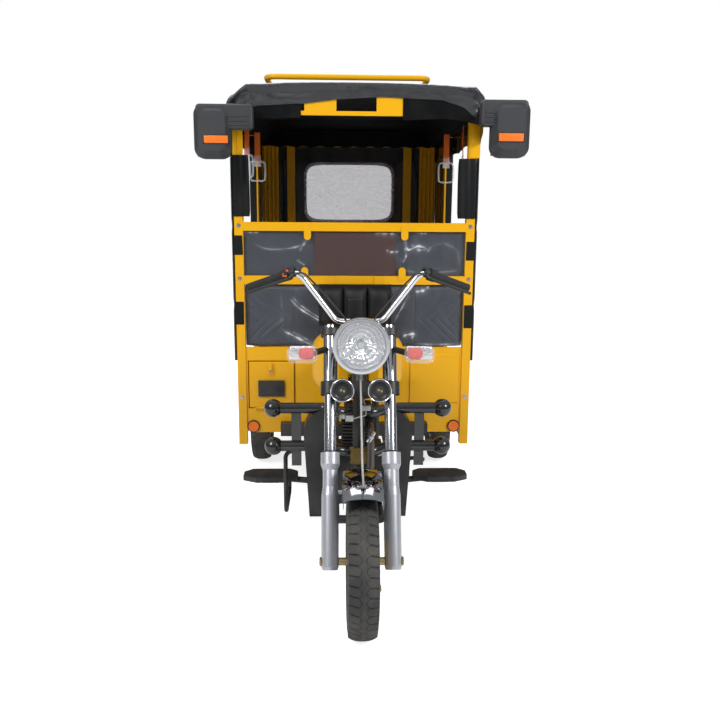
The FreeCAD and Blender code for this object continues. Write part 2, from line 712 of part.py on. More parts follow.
def lever_cable(lamp, control):
    """From the lever's pivot over the bar's bend and down to the back of the headlight."""
    shoulder, end = bar_points()[1:]
    along = end.sub(shoulder)
    pivot = end.sub(along * (GRIP_SHARE * 2 + SWITCH_SHARE * (1 + PERCH_SHARE)))
    start = pivot.add(V(0, -LEVER_REACH, -LEVER_DROP) * PERCH_SHARE)
    lead = start.add(V(-CABLE_LEAD_X, -LEVER_DROP, CABLE_LEAD_RISE))
    over = start.add(V(-CABLE_DROP_X, -CABLE_LEAD_X, -CABLE_DROP))
    lamp_back = V(CABLE_LAMP_X, LAMP_FACE_Y + LAMP_DEPTH - LAMP_WALL, LAMP_Z)
    behind = lamp_back.add(V(CABLE_LAMP_X, CABLE_LAMP_BACK, CABLE_LAMP_RISE))
    cable = smooth_bar([start, lead, over, behind, lamp_back], CABLE_REACH_SHARE, CABLE_RADIUS)
    return main_solid(cable.cut(lamp).cut(control))


def dial_cable(dial):
    """From the dial down behind the headlight, between the horns and forward to the mudguard."""
    path = [
        raked_point(0, -DIAL_CABLE_BACK, DIAL_UP + DIAL_DEPTH / 2),
        raked_point(0, -DIAL_CABLE_YOKE_BACK, DIAL_CABLE_YOKE_UP),
        raked_point(0, -DIAL_CABLE_LAMP_BACK, DIAL_CABLE_LAMP_UP),
        raked_point(0, -DIAL_CABLE_HORN_BACK, DIAL_CABLE_HORN_UP),
        guard_point(GROMMET_HEIGHT + DIAL_CABLE_END_RISE).sub(X_AXIS * DIAL_CABLE_END_X),
        guard_point(GROMMET_HEIGHT),
    ]
    return main_solid(smooth_bar(path, CABLE_REACH_SHARE, CABLE_RADIUS).cut(dial))


# Frame: head tube, backbone, down tube and cradle, then the ladder under the cabin
HEAD_RADIUS = 28.0
HEAD_GAP = 0.5
MAIN_RADIUS = 24.0
CRADLE_RADIUS = 17.0
CRADLE_X = 92.0
CRADLE_Z = 262.0
BACKBONE_FRONT_UP = 770.0
DOWN_TUBE_UP = 740.0
DOWN_TUBE_CLEAR = 100.0
DOWN_TUBE_DROP = 55.0
DOWN_TUBE_KNEE_DROP = 180.0
SEAT_RAIL_Z = 730.0
SEAT_RAIL_SETBACK = 640.0
SEAT_RAIL_FRONT_Y = FRONT_AXLE_Y + SEAT_RAIL_SETBACK
DOWN_TUBE_SETBACK = 395.0
DOWN_TUBE_Y = FRONT_AXLE_Y + DOWN_TUBE_SETBACK
CRADLE_REAR_LEAD = 211.0
CRADLE_REAR_Y = CABIN_FRONT_Y - CRADLE_REAR_LEAD
RAIL_X = 330.0
RAIL_HALF = 25.0
RAIL_HEIGHT = 60.0
FLOOR_THICK = 20.0
CROSS_COUNT = 4
TUBE_BEND = 60.0
RAIL_TOP_Z = FLOOR_Z - FLOOR_THICK
RAIL_FOOT_Z = RAIL_TOP_Z - RAIL_HEIGHT
BUMPER_RADIUS = 19.0
BUMPER_HALF = 430.0
BUMPER_Z = 450.0
PLATE_HALF_X = 110.0
PLATE_HALF_Z = 70.0
PLATE_Z = 560.0
PLATE_HOLE_RADIUS = 3.5
PLATE_HOLE_X = 75.0


def head_tube():
    foot = LOWER_YOKE_FOOT + YOKE_THICK + HEAD_GAP
    top = UPPER_YOKE_FOOT - HEAD_GAP
    return rod(V(0, STEM_OFFSET, foot), V(0, STEM_OFFSET, top), HEAD_RADIUS)


def head_bore():
    foot = LOWER_YOKE_FOOT
    return raked(rod(V(0, STEM_OFFSET, foot), V(0, STEM_OFFSET, UPPER_YOKE_FOOT + OVERRUN),
                     STEM_RADIUS + BEARING_CLEARANCE))


def frame():
    """One welded frame from the head tube to the rear bumper."""
    bulkhead = CABIN_FRONT_Y - BODY_GAP
    pieces = [raked(head_tube())]
    backbone_start = raked_point(0, STEM_OFFSET, BACKBONE_FRONT_UP)
    seat_front = V(0, SEAT_RAIL_FRONT_Y, SEAT_RAIL_Z + MAIN_RADIUS)
    backbone_end = V(0, bulkhead, SEAT_RAIL_Z)
    pieces.append(bent_bar([backbone_start, seat_front, backbone_end], TUBE_BEND, MAIN_RADIUS))
    down_start = raked_point(0, STEM_OFFSET, DOWN_TUBE_UP)
    down_back = raked_point(0, STEM_OFFSET + DOWN_TUBE_CLEAR, DOWN_TUBE_UP - DOWN_TUBE_DROP)
    knee = V(0, DOWN_TUBE_Y, down_back.z - DOWN_TUBE_KNEE_DROP)
    down_end = V(0, DOWN_TUBE_Y, CRADLE_Z)
    pieces.append(bent_bar([down_start, down_back, knee, down_end], TUBE_BEND, MAIN_RADIUS))
    foot = V(CRADLE_X, DOWN_TUBE_Y, CRADLE_Z)
    pieces.append(rod(flip(foot), foot, CRADLE_RADIUS))
    rail_start_y = CABIN_FRONT_Y - RAIL_HALF * 2
    for side in (1, -1):
        x = side * CRADLE_X
        cradle = [V(x, DOWN_TUBE_Y, CRADLE_Z), V(x, CRADLE_REAR_Y, CRADLE_Z),
                  V(x, rail_start_y + RAIL_HALF, RAIL_TOP_Z - RAIL_HEIGHT / 2)]
        pieces.append(bent_bar(cradle, TUBE_BEND, CRADLE_RADIUS))
        pieces.append(bent_bar([V(x, CRADLE_REAR_Y, CRADLE_Z), V(x, CRADLE_REAR_Y, SEAT_RAIL_Z),
                                V(0, CRADLE_REAR_Y, SEAT_RAIL_Z)], CRADLE_RADIUS * 2, CRADLE_RADIUS))
        rail = box(side * RAIL_X - RAIL_HALF, side * RAIL_X + RAIL_HALF, rail_start_y, REAR_WALL_Y,
                   RAIL_FOOT_Z, RAIL_TOP_Z)
        pieces.append(rail)
        bumper_arm = rod(V(side * RAIL_X, REAR_WALL_Y - OVERRUN, BUMPER_Z),
                         V(side * RAIL_X, REAR_END_Y - BUMPER_RADIUS, BUMPER_Z), BUMPER_RADIUS)
        pieces.append(bumper_arm)
    span = REAR_WALL_Y - rail_start_y - RAIL_HALF * 2
    for number in range(CROSS_COUNT):
        y = rail_start_y + span * number / (CROSS_COUNT - 1)
        pieces.append(box(-RAIL_X, RAIL_X, y, y + RAIL_HALF * 2, RAIL_FOOT_Z, RAIL_TOP_Z))
    bumper_y = REAR_END_Y - BUMPER_RADIUS
    pieces.append(rod(V(-BUMPER_HALF, bumper_y, BUMPER_Z), V(BUMPER_HALF, bumper_y, BUMPER_Z), BUMPER_RADIUS))
    plate = box(-PLATE_HALF_X, PLATE_HALF_X, bumper_y - SHEET, bumper_y + SHEET, BUMPER_Z,
                PLATE_Z + PLATE_HALF_Z)
    pieces.append(plate)
    body = join(*pieces).cut(head_bore())
    for side in (1, -1):
        hole = V(side * PLATE_HOLE_X, bumper_y - OVERRUN, PLATE_Z)
        body = body.cut(rod(hole, hole.add(Y_AXIS * OVERRUN * 2), PLATE_HOLE_RADIUS))
    return body


# Engine: crankcase with round side covers and an upright finned cylinder
PIPE_X = 46.0
ENGINE_SETBACK = 615.0
ENGINE_Y = FRONT_AXLE_Y + ENGINE_SETBACK
CASE_FOOT_Z = CRADLE_Z + CRADLE_RADIUS + FACE_GAP
CASE_TOP_Z = 520.0
CASE_HALF_X = 104.0
CASE_HALF_Y = 145.0
CASE_CORNER = 50.0
COVER_X = 131.0
COVER_DISC_RADIUS = 84.0
COVER_DISC_Z = 398.0
BARREL_HALF = 46.0
FIN_HALF = 68.0
FIN_THICK = 5.0
FIN_PITCH = 14.0
FIN_COUNT = 11
FIN_CORNER = 14.0
HEAD_BLOCK_HALF = 56.0
HEAD_HEIGHT = 34.0
BARREL_LEAD = 70.0
BARREL_Y = ENGINE_Y - BARREL_LEAD
COVER_Y_SHARE = 0.4
TUBE_PLATE_RADIUS = 34.0
TUBE_PLATE_Z = 540.0
TUBE_PLATE_THICK = 16.0
TUBE_PLATE_LAP = 4.0
PLATE_EAR_RADIUS = 9.0
PLATE_EAR_REACH = 27.0
PORT_RADIUS = 22.0
PORT_Z = 640.0


def fin_plate(half, corner, z0, z1, x, y):
    """Square plate with rounded corners lying flat, centred on (x, y)."""
    wire = rounded_wire(half, half, corner, 0.0)
    wire.rotate(V(0, 0, 0), X_AXIS, 90)
    wire.translate(V(x, y, z0))
    return Part.Face(wire).extrude(V(0, 0, z1 - z0))


def engine():
    """Crankcase, round covers, barrel with a stack of cooling fins, and head."""
    front = ENGINE_Y - CASE_HALF_Y
    rear = ENGINE_Y + CASE_HALF_Y
    profile_y = [
        (front, CASE_FOOT_Z + CASE_CORNER), (front + CASE_CORNER, CASE_FOOT_Z),
        (rear - CASE_CORNER, CASE_FOOT_Z), (rear, CASE_FOOT_Z + CASE_CORNER),
        (rear, CASE_TOP_Z - CASE_CORNER), (ENGINE_Y + CASE_CORNER, CASE_TOP_Z), (front, CASE_TOP_Z),
    ]
    pieces = [plate_x(profile_y, -CASE_HALF_X, CASE_HALF_X)]
    for cover_y in (ENGINE_Y - CASE_HALF_Y * COVER_Y_SHARE, ENGINE_Y + CASE_HALF_Y * COVER_Y_SHARE):
        disc = V(COVER_X, cover_y, COVER_DISC_Z)
        pieces.append(rod(flip(disc), disc, COVER_DISC_RADIUS))
    barrel_top = CASE_TOP_Z + FIN_PITCH * FIN_COUNT
    pieces.append(fin_plate(BARREL_HALF, FIN_CORNER, CASE_TOP_Z - FIN_THICK, barrel_top, 0, BARREL_Y))
    for number in range(FIN_COUNT):
        foot = CASE_TOP_Z + FIN_PITCH * (number + 1) - FIN_THICK
        pieces.append(fin_plate(FIN_HALF, FIN_CORNER, foot, foot + FIN_THICK, 0, BARREL_Y))
    head_top = barrel_top + HEAD_HEIGHT
    pieces.append(fin_plate(HEAD_BLOCK_HALF, FIN_CORNER, barrel_top - FIN_THICK, head_top, 0, BARREL_Y))
    port = V(PIPE_X, BARREL_Y - FIN_HALF, PORT_Z)
    pieces.append(rod(port, port.add(Y_AXIS * FIN_HALF), PORT_RADIUS))
    return join(*pieces)


def down_tube_plate(tubes):
    """Round plate with four bolt ears, seated on the front of the down tube."""
    back = V(0, DOWN_TUBE_Y - MAIN_RADIUS + TUBE_PLATE_LAP, TUBE_PLATE_Z)
    front = back.sub(Y_AXIS * TUBE_PLATE_THICK)
    pieces = [rod(front, back, TUBE_PLATE_RADIUS)]
    for side in (1, -1):
        for level in (1, -1):
            ear = back.add(V(side * PLATE_EAR_REACH, 0, level * PLATE_EAR_REACH))
            pieces.append(rod(ear.sub(Y_AXIS * (TUBE_PLATE_THICK / 2)), ear, PLATE_EAR_RADIUS))
    dome = front.sub(Y_AXIS * TUBE_PLATE_LAP)
    pieces.append(rod(dome, back, PLATE_EAR_REACH - PLATE_EAR_RADIUS))
    return join(*pieces).cut(tubes)


# Exhaust: pipe from the barrel's front, under the engine, to a silencer beside the rail
PIPE_RADIUS = 15.0
PIPE_BEND = 45.0
SILENCER_X = 205.0
SILENCER_Z = 330.0
SILENCER_RADIUS = 52.0
SILENCER_SETBACK = 120.0
SILENCER_FRONT_Y = CABIN_FRONT_Y + SILENCER_SETBACK
SILENCER_LENGTH = 430.0
SILENCER_CONE = 50.0
SILENCER_NOSE_RADIUS = 18.0
TAIL_LENGTH = 90.0
PIPE_DROP_SETBACK = 345.0
PIPE_DROP_Y = FRONT_AXLE_Y + PIPE_DROP_SETBACK
PIPE_LOW_Z = 222.0


def exhaust(motor):
    """Pipe of one bore with tangent bends, ending in a coned silencer and a tail."""
    port = V(PIPE_X, BARREL_Y - HEAD_BLOCK_HALF + OVERRUN, PORT_Z)
    front = V(PIPE_X, PIPE_DROP_Y, PORT_Z)
    low = V(PIPE_X, PIPE_DROP_Y, PIPE_LOW_Z)
    under = V(PIPE_X, ENGINE_Y + CASE_HALF_Y / 2, PIPE_LOW_Z)
    beside = V(SILENCER_X, under.y + SILENCER_X - PIPE_X, PIPE_LOW_Z)
    entry = V(SILENCER_X, SILENCER_FRONT_Y - SILENCER_CONE, SILENCER_Z)
    centre = V(SILENCER_X, SILENCER_FRONT_Y, SILENCER_Z)
    inside = centre.add(Y_AXIS * SILENCER_CONE)
    pipe = bent_bar([port, front, low, under, beside, entry, inside], PIPE_BEND, PIPE_RADIUS)
    profile = [
        (0, 0), (0, SILENCER_NOSE_RADIUS), (SILENCER_CONE, SILENCER_RADIUS),
        (SILENCER_LENGTH - SILENCER_CONE, SILENCER_RADIUS), (SILENCER_LENGTH, SILENCER_NOSE_RADIUS),
        (SILENCER_LENGTH, 0),
    ]
    silencer = turned(profile, centre, Y_AXIS, Z_AXIS)
    tail_start = centre.add(Y_AXIS * (SILENCER_LENGTH - SILENCER_CONE))
    tail = rod(tail_start, tail_start.add(Y_AXIS * (SILENCER_CONE + TAIL_LENGTH)), PIPE_RADIUS)
    return main_solid(join(pipe, silencer, tail).cut(motor))


# Fuel tank over the backbone
TANK_SETBACK = 462.0
TANK_FRONT_Y = FRONT_AXLE_Y + TANK_SETBACK
TANK_LENGTH = 350.0
TANK_HALF = 188.0
TANK_Z = 868.0
TANK_HALF_Z = 128.0
TANK_STATION_SHARES = (0.0, 0.16, 0.40, 0.72, 1.0)
TANK_WIDTH_SHARES = (0.42, 0.78, 1.0, 0.92, 0.52)
TANK_HEIGHT_SHARES = (0.62, 0.90, 1.0, 0.86, 0.56)
TANK_CORNER_SHARE = 0.62
TUNNEL_HALF = 42.0
CAP_RADIUS = 36.0
CAP_HEIGHT = 16.0


def fuel_tank(tubes):
    """Lofted tank, widest behind the steering head, with a tunnel for the backbone and a cap."""
    wires = []
    for station, width, height in zip(TANK_STATION_SHARES, TANK_WIDTH_SHARES, TANK_HEIGHT_SHARES):
        half_x = TANK_HALF * width
        half_z = TANK_HALF_Z * height
        corner = min(half_x, half_z) * TANK_CORNER_SHARE
        station_y = TANK_FRONT_Y + TANK_LENGTH * station
        wires.append(rounded_wire(half_x, half_z, corner, station_y, 0, TANK_Z))
    shell = Part.makeLoft(wires, True, False)
    tunnel = box(-TUNNEL_HALF, TUNNEL_HALF, TANK_FRONT_Y - OVERRUN, TANK_FRONT_Y + TANK_LENGTH + OVERRUN,
                 TANK_Z - TANK_HALF_Z - OVERRUN, TANK_Z - OVERRUN)
    cap_y = TANK_FRONT_Y + TANK_LENGTH * TANK_STATION_SHARES[2]
    cap = rod(V(0, cap_y, TANK_Z), V(0, cap_y, TANK_Z + TANK_HALF_Z + CAP_HEIGHT), CAP_RADIUS)
    return join(shell, cap).cut(tunnel).cut(tubes)


# Driver's saddle and backrest
SADDLE_GAP = 12.0
SADDLE_FRONT_Y = TANK_FRONT_Y + TANK_LENGTH + SADDLE_GAP
SADDLE_REAR_GAP = 70.0
SADDLE_REAR_Y = CABIN_FRONT_Y - SADDLE_REAR_GAP
SADDLE_HALF = 165.0
SADDLE_FOOT_Z = 758.0
SADDLE_TOP_Z = 850.0
SADDLE_CORNER = 30.0
REST_HALF = 170.0
REST_FOOT_Z = 960.0
REST_TOP_Z = 1157.0
REST_THICK = 62.0
REST_LEAD = 122.0
REST_Y = CABIN_FRONT_Y - REST_LEAD
REST_CORNER = 45.0
REST_ROUND_SHARE = 0.35
REST_BRACKET_X = 110.0
REST_BRACKET_HALF = 18.0
REST_BRACKET_THICK = 6.0
REST_STAY_RADIUS = 9.0
REST_STAY_INSET = 40.0


def driver_seat(tubes):
    """Saddle with rounded edges on a thin pan."""
    stock = box(-SADDLE_HALF, SADDLE_HALF, SADDLE_FRONT_Y, SADDLE_REAR_Y, SADDLE_FOOT_Z, SADDLE_TOP_Z)
    upright = [edge for edge in stock.Edges if abs(edge.tangentAt(edge.FirstParameter).z) > UPRIGHT_SHARE]
    pad = stock.makeFillet(SADDLE_CORNER * 2, upright)
    top = [edge for edge in pad.Edges if edge.BoundBox.ZMin > SADDLE_TOP_Z - SEAT_CLEARANCE]
    return pad.makeFillet(SADDLE_CORNER, top).cut(tubes)


def driver_backrest():
    """Padded board of three upright rolls."""
    half_z = (REST_TOP_Z - REST_FOOT_Z) / 2
    board = rounded_block(REST_HALF, half_z, REST_CORNER, REST_Y, REST_Y + REST_THICK, 0, REST_FOOT_Z + half_z)
    edges = [edge for edge in board.Edges if edge.BoundBox.YMax < REST_Y + SEAT_CLEARANCE]
    return board.makeFillet(REST_THICK * REST_ROUND_SHARE, edges)


# Crash bars, leg shields and foot controls
CRASH_SETBACK = 500.0
CRASH_Y = FRONT_AXLE_Y + CRASH_SETBACK
CRASH_RADIUS = 22.5
CRASH_BALL_RADIUS = 37.5
CRASH_END_X = 345.0
CRASH_UPPER_Z = 700.0
CRASH_LOWER_Z = 540.0
CRASH_PLATE_X0 = 232.0
CRASH_PLATE_X1 = 272.0
CRASH_PLATE_THICK = 6.0
CRASH_FOOT_Z = 455.0
CRASH_MIDDLE_LEAD = 73.0
CRASH_MIDDLE_Y = CRASH_Y - CRASH_MIDDLE_LEAD
CRASH_MIDDLE_X = 60.0
CRASH_KNEE_X = 135.0
CRASH_BEND = 45.0
SHIELD_X0 = 136.0
SHIELD_X1 = 220.0
SHIELD_TOP_Z = 700.0
SHIELD_FOOT_Z = 245.0
SHIELD_LEAD = 34.0
SHIELD_Y = CRASH_Y - SHIELD_LEAD
SHIELD_DEPTH = 110.0
SHIELD_WALL = 4.0
SHIELD_CURVE_DROP = 117.6
SHIELD_FOOT_SHARE = 0.75
BULGE_SHARE = 0.72


def crash_bars(tubes, motor):
    """Two ball-ended bars bent round the down tube, tied by an upright plate each side."""
    pieces = []
    for z in (CRASH_UPPER_Z, CRASH_LOWER_Z):
        middle = V(CRASH_MIDDLE_X, CRASH_MIDDLE_Y, z)
        knee = V(CRASH_KNEE_X, CRASH_Y, z)
        end = V(CRASH_END_X, CRASH_Y, z)
        bar = [flip(end), flip(knee), flip(middle), middle, knee, end]
        pieces.append(bent_bar(bar, CRASH_BEND, CRASH_RADIUS))
        pieces += both_sides(Part.makeSphere(CRASH_BALL_RADIUS, end))
    for side in (1, -1):
        x0, x1 = sorted((side * CRASH_PLATE_X0, side * CRASH_PLATE_X1))
        pieces.append(box(x0, x1, CRASH_Y, CRASH_Y + CRASH_PLATE_THICK, CRASH_FOOT_Z, CRASH_UPPER_Z))
    return join(*pieces).cut(tubes).cut(motor)


def leg_shields(bars):
    """Tall panels beside the engine with a rounded top outer corner and a flange to the rear."""
    width = SHIELD_X1 - SHIELD_X0
    curve_z = SHIELD_TOP_Z - SHIELD_CURVE_DROP
    corner = V(SHIELD_X0, SHIELD_Y, SHIELD_TOP_Z)
    shoulder = V(SHIELD_X1, SHIELD_Y, curve_z)
    bulge = V(SHIELD_X0 + width * BULGE_SHARE, SHIELD_Y, curve_z + SHIELD_CURVE_DROP * BULGE_SHARE)
    foot_out = V(SHIELD_X0 + width * SHIELD_FOOT_SHARE, SHIELD_Y, SHIELD_FOOT_Z)
    foot_in = V(SHIELD_X0, SHIELD_Y, SHIELD_FOOT_Z)
    face = Part.Face(Part.Wire([
        Part.Arc(corner, bulge, shoulder).toShape(),
        Part.LineSegment(shoulder, foot_out).toShape(),
        Part.LineSegment(foot_out, foot_in).toShape(),
        Part.LineSegment(foot_in, corner).toShape(),
    ]))
    solid = face.extrude(V(0, SHIELD_DEPTH, 0))
    hollow = face.extrude(V(0, SHIELD_DEPTH, 0))
    hollow.translate(V(-SHIELD_WALL, SHIELD_WALL, -SHIELD_WALL))
    return [piece.cut(bars) for piece in both_sides(solid.cut(hollow))]


PEDAL_LEAD = 291.0
PEDAL_Y = CABIN_FRONT_Y - PEDAL_LEAD
PEDAL_ARM_RADIUS = 14.0
PAD_X0 = 262.0
PAD_X1 = 506.0
PAD_Z = 318.0
PAD_THICK = 24.0
PAD_HALF_Y = 62.0
PAD_POINT_SHARE = 0.45
PAD_BLOCK_INSET = 78.0
PAD_BLOCK_DROP = 16.0
PEDAL_ROD_RADIUS = 9.0
PEDAL_X = 236.0
PEDAL_TOP_Z = 402.0
PEDAL_TREAD = 34.0
SHIFT_X = 300.0
SHIFT_TOP_Z = 505.0
SHIFT_FOOT_Z = 236.0
SHIFT_LEAD = 262.0
SHIFT_BEND = 30.0


def foot_pad(side):
    """Pointed footrest with a lower block beneath it."""
    tip = PAD_HALF_Y * PAD_POINT_SHARE
    top = PAD_Z
    foot = PAD_Z - PAD_THICK
    shoulder0 = PAD_X0 + PAD_HALF_Y
    shoulder1 = PAD_X1 - PAD_HALF_Y
    near = PEDAL_Y - PAD_HALF_Y
    far = PEDAL_Y + PAD_HALF_Y
    outline = [
        (side * PAD_X0, PEDAL_Y - tip), (side * shoulder0, near), (side * shoulder1, near),
        (side * PAD_X1, PEDAL_Y - tip), (side * PAD_X1, PEDAL_Y + tip), (side * shoulder1, far),
        (side * shoulder0, far), (side * PAD_X0, PEDAL_Y + tip),
    ]
    block_x0, block_x1 = sorted((side * (PAD_X0 + PAD_BLOCK_INSET), side * (PAD_X1 - PAD_BLOCK_INSET)))
    block = box(block_x0, block_x1, PEDAL_Y - tip, PEDAL_Y + tip, foot - PAD_BLOCK_DROP, foot + FACE_GAP)
    edges = [edge for edge in block.Edges if edge.BoundBox.ZMax < foot - PAD_BLOCK_DROP + SEAT_CLEARANCE]
    return join(plate_z(outline, foot, top), block.makeChamfer(PAD_BLOCK_DROP / 2, edges))


def foot_controls(tubes):
    """Footrest pads on a cross tube, the brake pedal on the right and the gear lever on the left."""
    arm_z = PAD_Z - PAD_THICK
    start = V(0, PEDAL_Y, CRADLE_Z + CRADLE_RADIUS)
    pieces = []
    for side in (1, -1):
        knee = V(side * CRADLE_X * 2, PEDAL_Y, arm_z - PEDAL_ARM_RADIUS)
        pad_place = V(side * (PAD_X0 + PAD_HALF_Y), PEDAL_Y, arm_z)
        pieces.append(bent_bar([start, knee, pad_place], TUBE_BEND, PEDAL_ARM_RADIUS))
        pieces.append(foot_pad(side))
    lever_foot = V(PEDAL_X, PEDAL_Y, arm_z - PEDAL_ARM_RADIUS / 2)
    lever_top = V(PEDAL_X, PEDAL_Y - PEDAL_TREAD, PEDAL_TOP_Z)
    tread_end = lever_top.add(V(PEDAL_TREAD * 2, -PEDAL_TREAD, 0))
    pieces.append(bent_bar([lever_foot, lever_top, tread_end], PEDAL_ARM_RADIUS * 2, PEDAL_ROD_RADIUS))
    shift_front = PEDAL_Y - SHIFT_LEAD
    shift = [V(-PEDAL_X, shift_front, SHIFT_TOP_Z), V(-SHIFT_X, shift_front, SHIFT_TOP_Z),
             V(-SHIFT_X, shift_front, SHIFT_FOOT_Z), V(-SHIFT_X, PEDAL_Y, SHIFT_FOOT_Z),
             V(-SHIFT_X, PEDAL_Y, arm_z)]
    pieces.append(bent_bar(shift, SHIFT_BEND, PEDAL_ROD_RADIUS))
    return join(*pieces).cut(tubes)


# Cabin frame: square posts and rails, arched roof hoops and the header bracket
POST = 40.0
HOOP_RADIUS = 10.0
ROOF_RAIL = 28.0
HOOP_COUNT = 4
REAR_POST_X0 = 350.0
REAR_POST_X1 = 400.0
CORNER_PANEL_X0 = 457.0
CORNER_PANEL_THICK = 18.0
CORNER_RIB_RADIUS = 6.0
CORNER_RIB_PITCH = 26.0
CORNER_RIB_COUNT = 4
DOOR_LEAD = 162.0
DOOR_REAR_Y = REAR_AXLE_Y - DOOR_LEAD
HEADER_HALF = 228.0
HEADER_FOOT_Z = 1902.0
HEADER_TOP_Z = 1982.0
HEADER_GAP_HALF = 88.0
HEADER_GAP_Z = 1918.0
TAB_HALF = 16.5
TAB_LENGTH = 41.0
TAB_THICK = 4.0
TOP_TAB_PLACES = (-222.0, 233.0)
MID_TAB_PLACES = (-236.0, 223.0)
SHEET_FOOT_Z = 424.0
SHEET_SETBACK = 8.0
SHEET_Y = CABIN_FRONT_Y + SHEET_SETBACK
CANOPY_LEAD = 150.0
CANOPY_HALF = 575.0
CANOPY_ARCH = 14.0
CANOPY_SHOULDER = 62.0
CANOPY_SIDE_FOOT_Z = 1800.0
CANOPY_FRONT_FOOT_Z = 1975.0
CANOPY_FRONT_Y = CABIN_FRONT_Y - CANOPY_LEAD
ROOF_FRONT_Y = CANOPY_FRONT_Y + OVERRUN


def roof_z(x, inset):
    """Height of the arched roof at x, inside the canopy by an inset."""
    share = x / CANOPY_HALF
    return CROWN_Z - inset - CANOPY_ARCH * share * share


def roof_hoop(y, inset):
    """Arched tube from roof rail to roof rail."""
    half = CABIN_HALF - ROOF_RAIL / 2
    end_z = ROOF_RAIL_Z + ROOF_RAIL / 2
    start = V(-half, y, end_z)
    knee_x = half - CANOPY_SHOULDER
    lift = inset + HOOP_RADIUS + FACE_GAP
    left = V(-knee_x, y, roof_z(knee_x, lift))
    right = V(knee_x, y, roof_z(knee_x, lift))
    top = V(0, y, roof_z(0, lift))
    path = Part.Wire([
        Part.LineSegment(start, left).toShape(),
        Part.Arc(left, top, right).toShape(),
        Part.LineSegment(right, V(half, y, end_z)).toShape(),
    ])
    ring = Part.Wire(Part.makeCircle(HOOP_RADIUS, start, left.sub(start)))
    return path.makePipeShell([ring], True, False, 2)


def rail_tab(x, rail_z, way):
    """Round-ended tab on the front of a rail, hanging below it or standing above it."""
    y0 = CABIN_FRONT_Y - TAB_THICK
    foot_z, top_z = sorted((rail_z, rail_z + way * (POST / 2 + TAB_LENGTH - TAB_HALF)))
    plate = box(x - TAB_HALF, x + TAB_HALF, y0, CABIN_FRONT_Y, foot_z, top_z)
    tip = V(x, y0, rail_z + way * (POST / 2 + TAB_LENGTH - TAB_HALF))
    return join(plate, rod(tip, tip.add(Y_AXIS * TAB_THICK), TAB_HALF))


def rear_corner(side):
    """Inner post and ribbed corner panel at the rear of the cabin."""
    inner0, inner1 = sorted((side * REAR_POST_X0, side * REAR_POST_X1))
    corner0, corner1 = sorted((side * CORNER_PANEL_X0, side * CABIN_HALF))
    roof = ROOF_RAIL_Z + ROOF_RAIL
    face_y = REAR_WALL_Y - CORNER_PANEL_THICK
    pieces = [
        box(inner0, inner1, REAR_WALL_Y - POST, REAR_WALL_Y, FLOOR_Z, roof),
        box(corner0, corner1, face_y, REAR_WALL_Y, FLOOR_Z, roof),
    ]
    for number in range(CORNER_RIB_COUNT):
        rib_x = CORNER_PANEL_X0 + CORNER_RIB_PITCH / 2 + CORNER_RIB_PITCH * number
        foot = V(side * rib_x, face_y, FLOOR_Z)
        pieces.append(rod(foot, V(foot.x, foot.y, roof), CORNER_RIB_RADIUS))
    return pieces


def cabin_side(side):
    """Front and rear door posts with the roof rail and waist rail of one side."""
    x0, x1 = sorted((side * (CABIN_HALF - POST), side * CABIN_HALF))
    rail_x0, rail_x1 = sorted((side * (CABIN_HALF - ROOF_RAIL), side * CABIN_HALF))
    return [
        box(x0, x1, CABIN_FRONT_Y, CABIN_FRONT_Y + POST, SILL_Z, ROOF_RAIL_Z),
        box(rail_x0, rail_x1, ROOF_FRONT_Y, REAR_WALL_Y, ROOF_RAIL_Z, ROOF_RAIL_Z + ROOF_RAIL),
        box(x0, x1, DOOR_REAR_Y, DOOR_REAR_Y + POST, WAIST_Z, ROOF_RAIL_Z),
        box(x0, x1, DOOR_REAR_Y, REAR_WALL_Y, WAIST_Z, WAIST_Z + POST),
    ]


def backrest_stays(side):
    """Bracket on the front rails with two stays that carry the driver's backrest."""
    x = side * REST_BRACKET_X
    rest_back = REST_Y + REST_THICK + FACE_GAP
    bracket_y = CABIN_FRONT_Y - REST_BRACKET_THICK
    pieces = [box(x - REST_BRACKET_HALF, x + REST_BRACKET_HALF, bracket_y, CABIN_FRONT_Y,
                  REST_FOOT_Z, MID_RAIL_Z + POST / 2)]
    for stay_z in (REST_FOOT_Z + REST_STAY_INSET, REST_TOP_Z - REST_STAY_INSET):
        pieces.append(rod(V(x, rest_back, stay_z), V(x, CABIN_FRONT_Y, stay_z), REST_STAY_RADIUS))
    return pieces


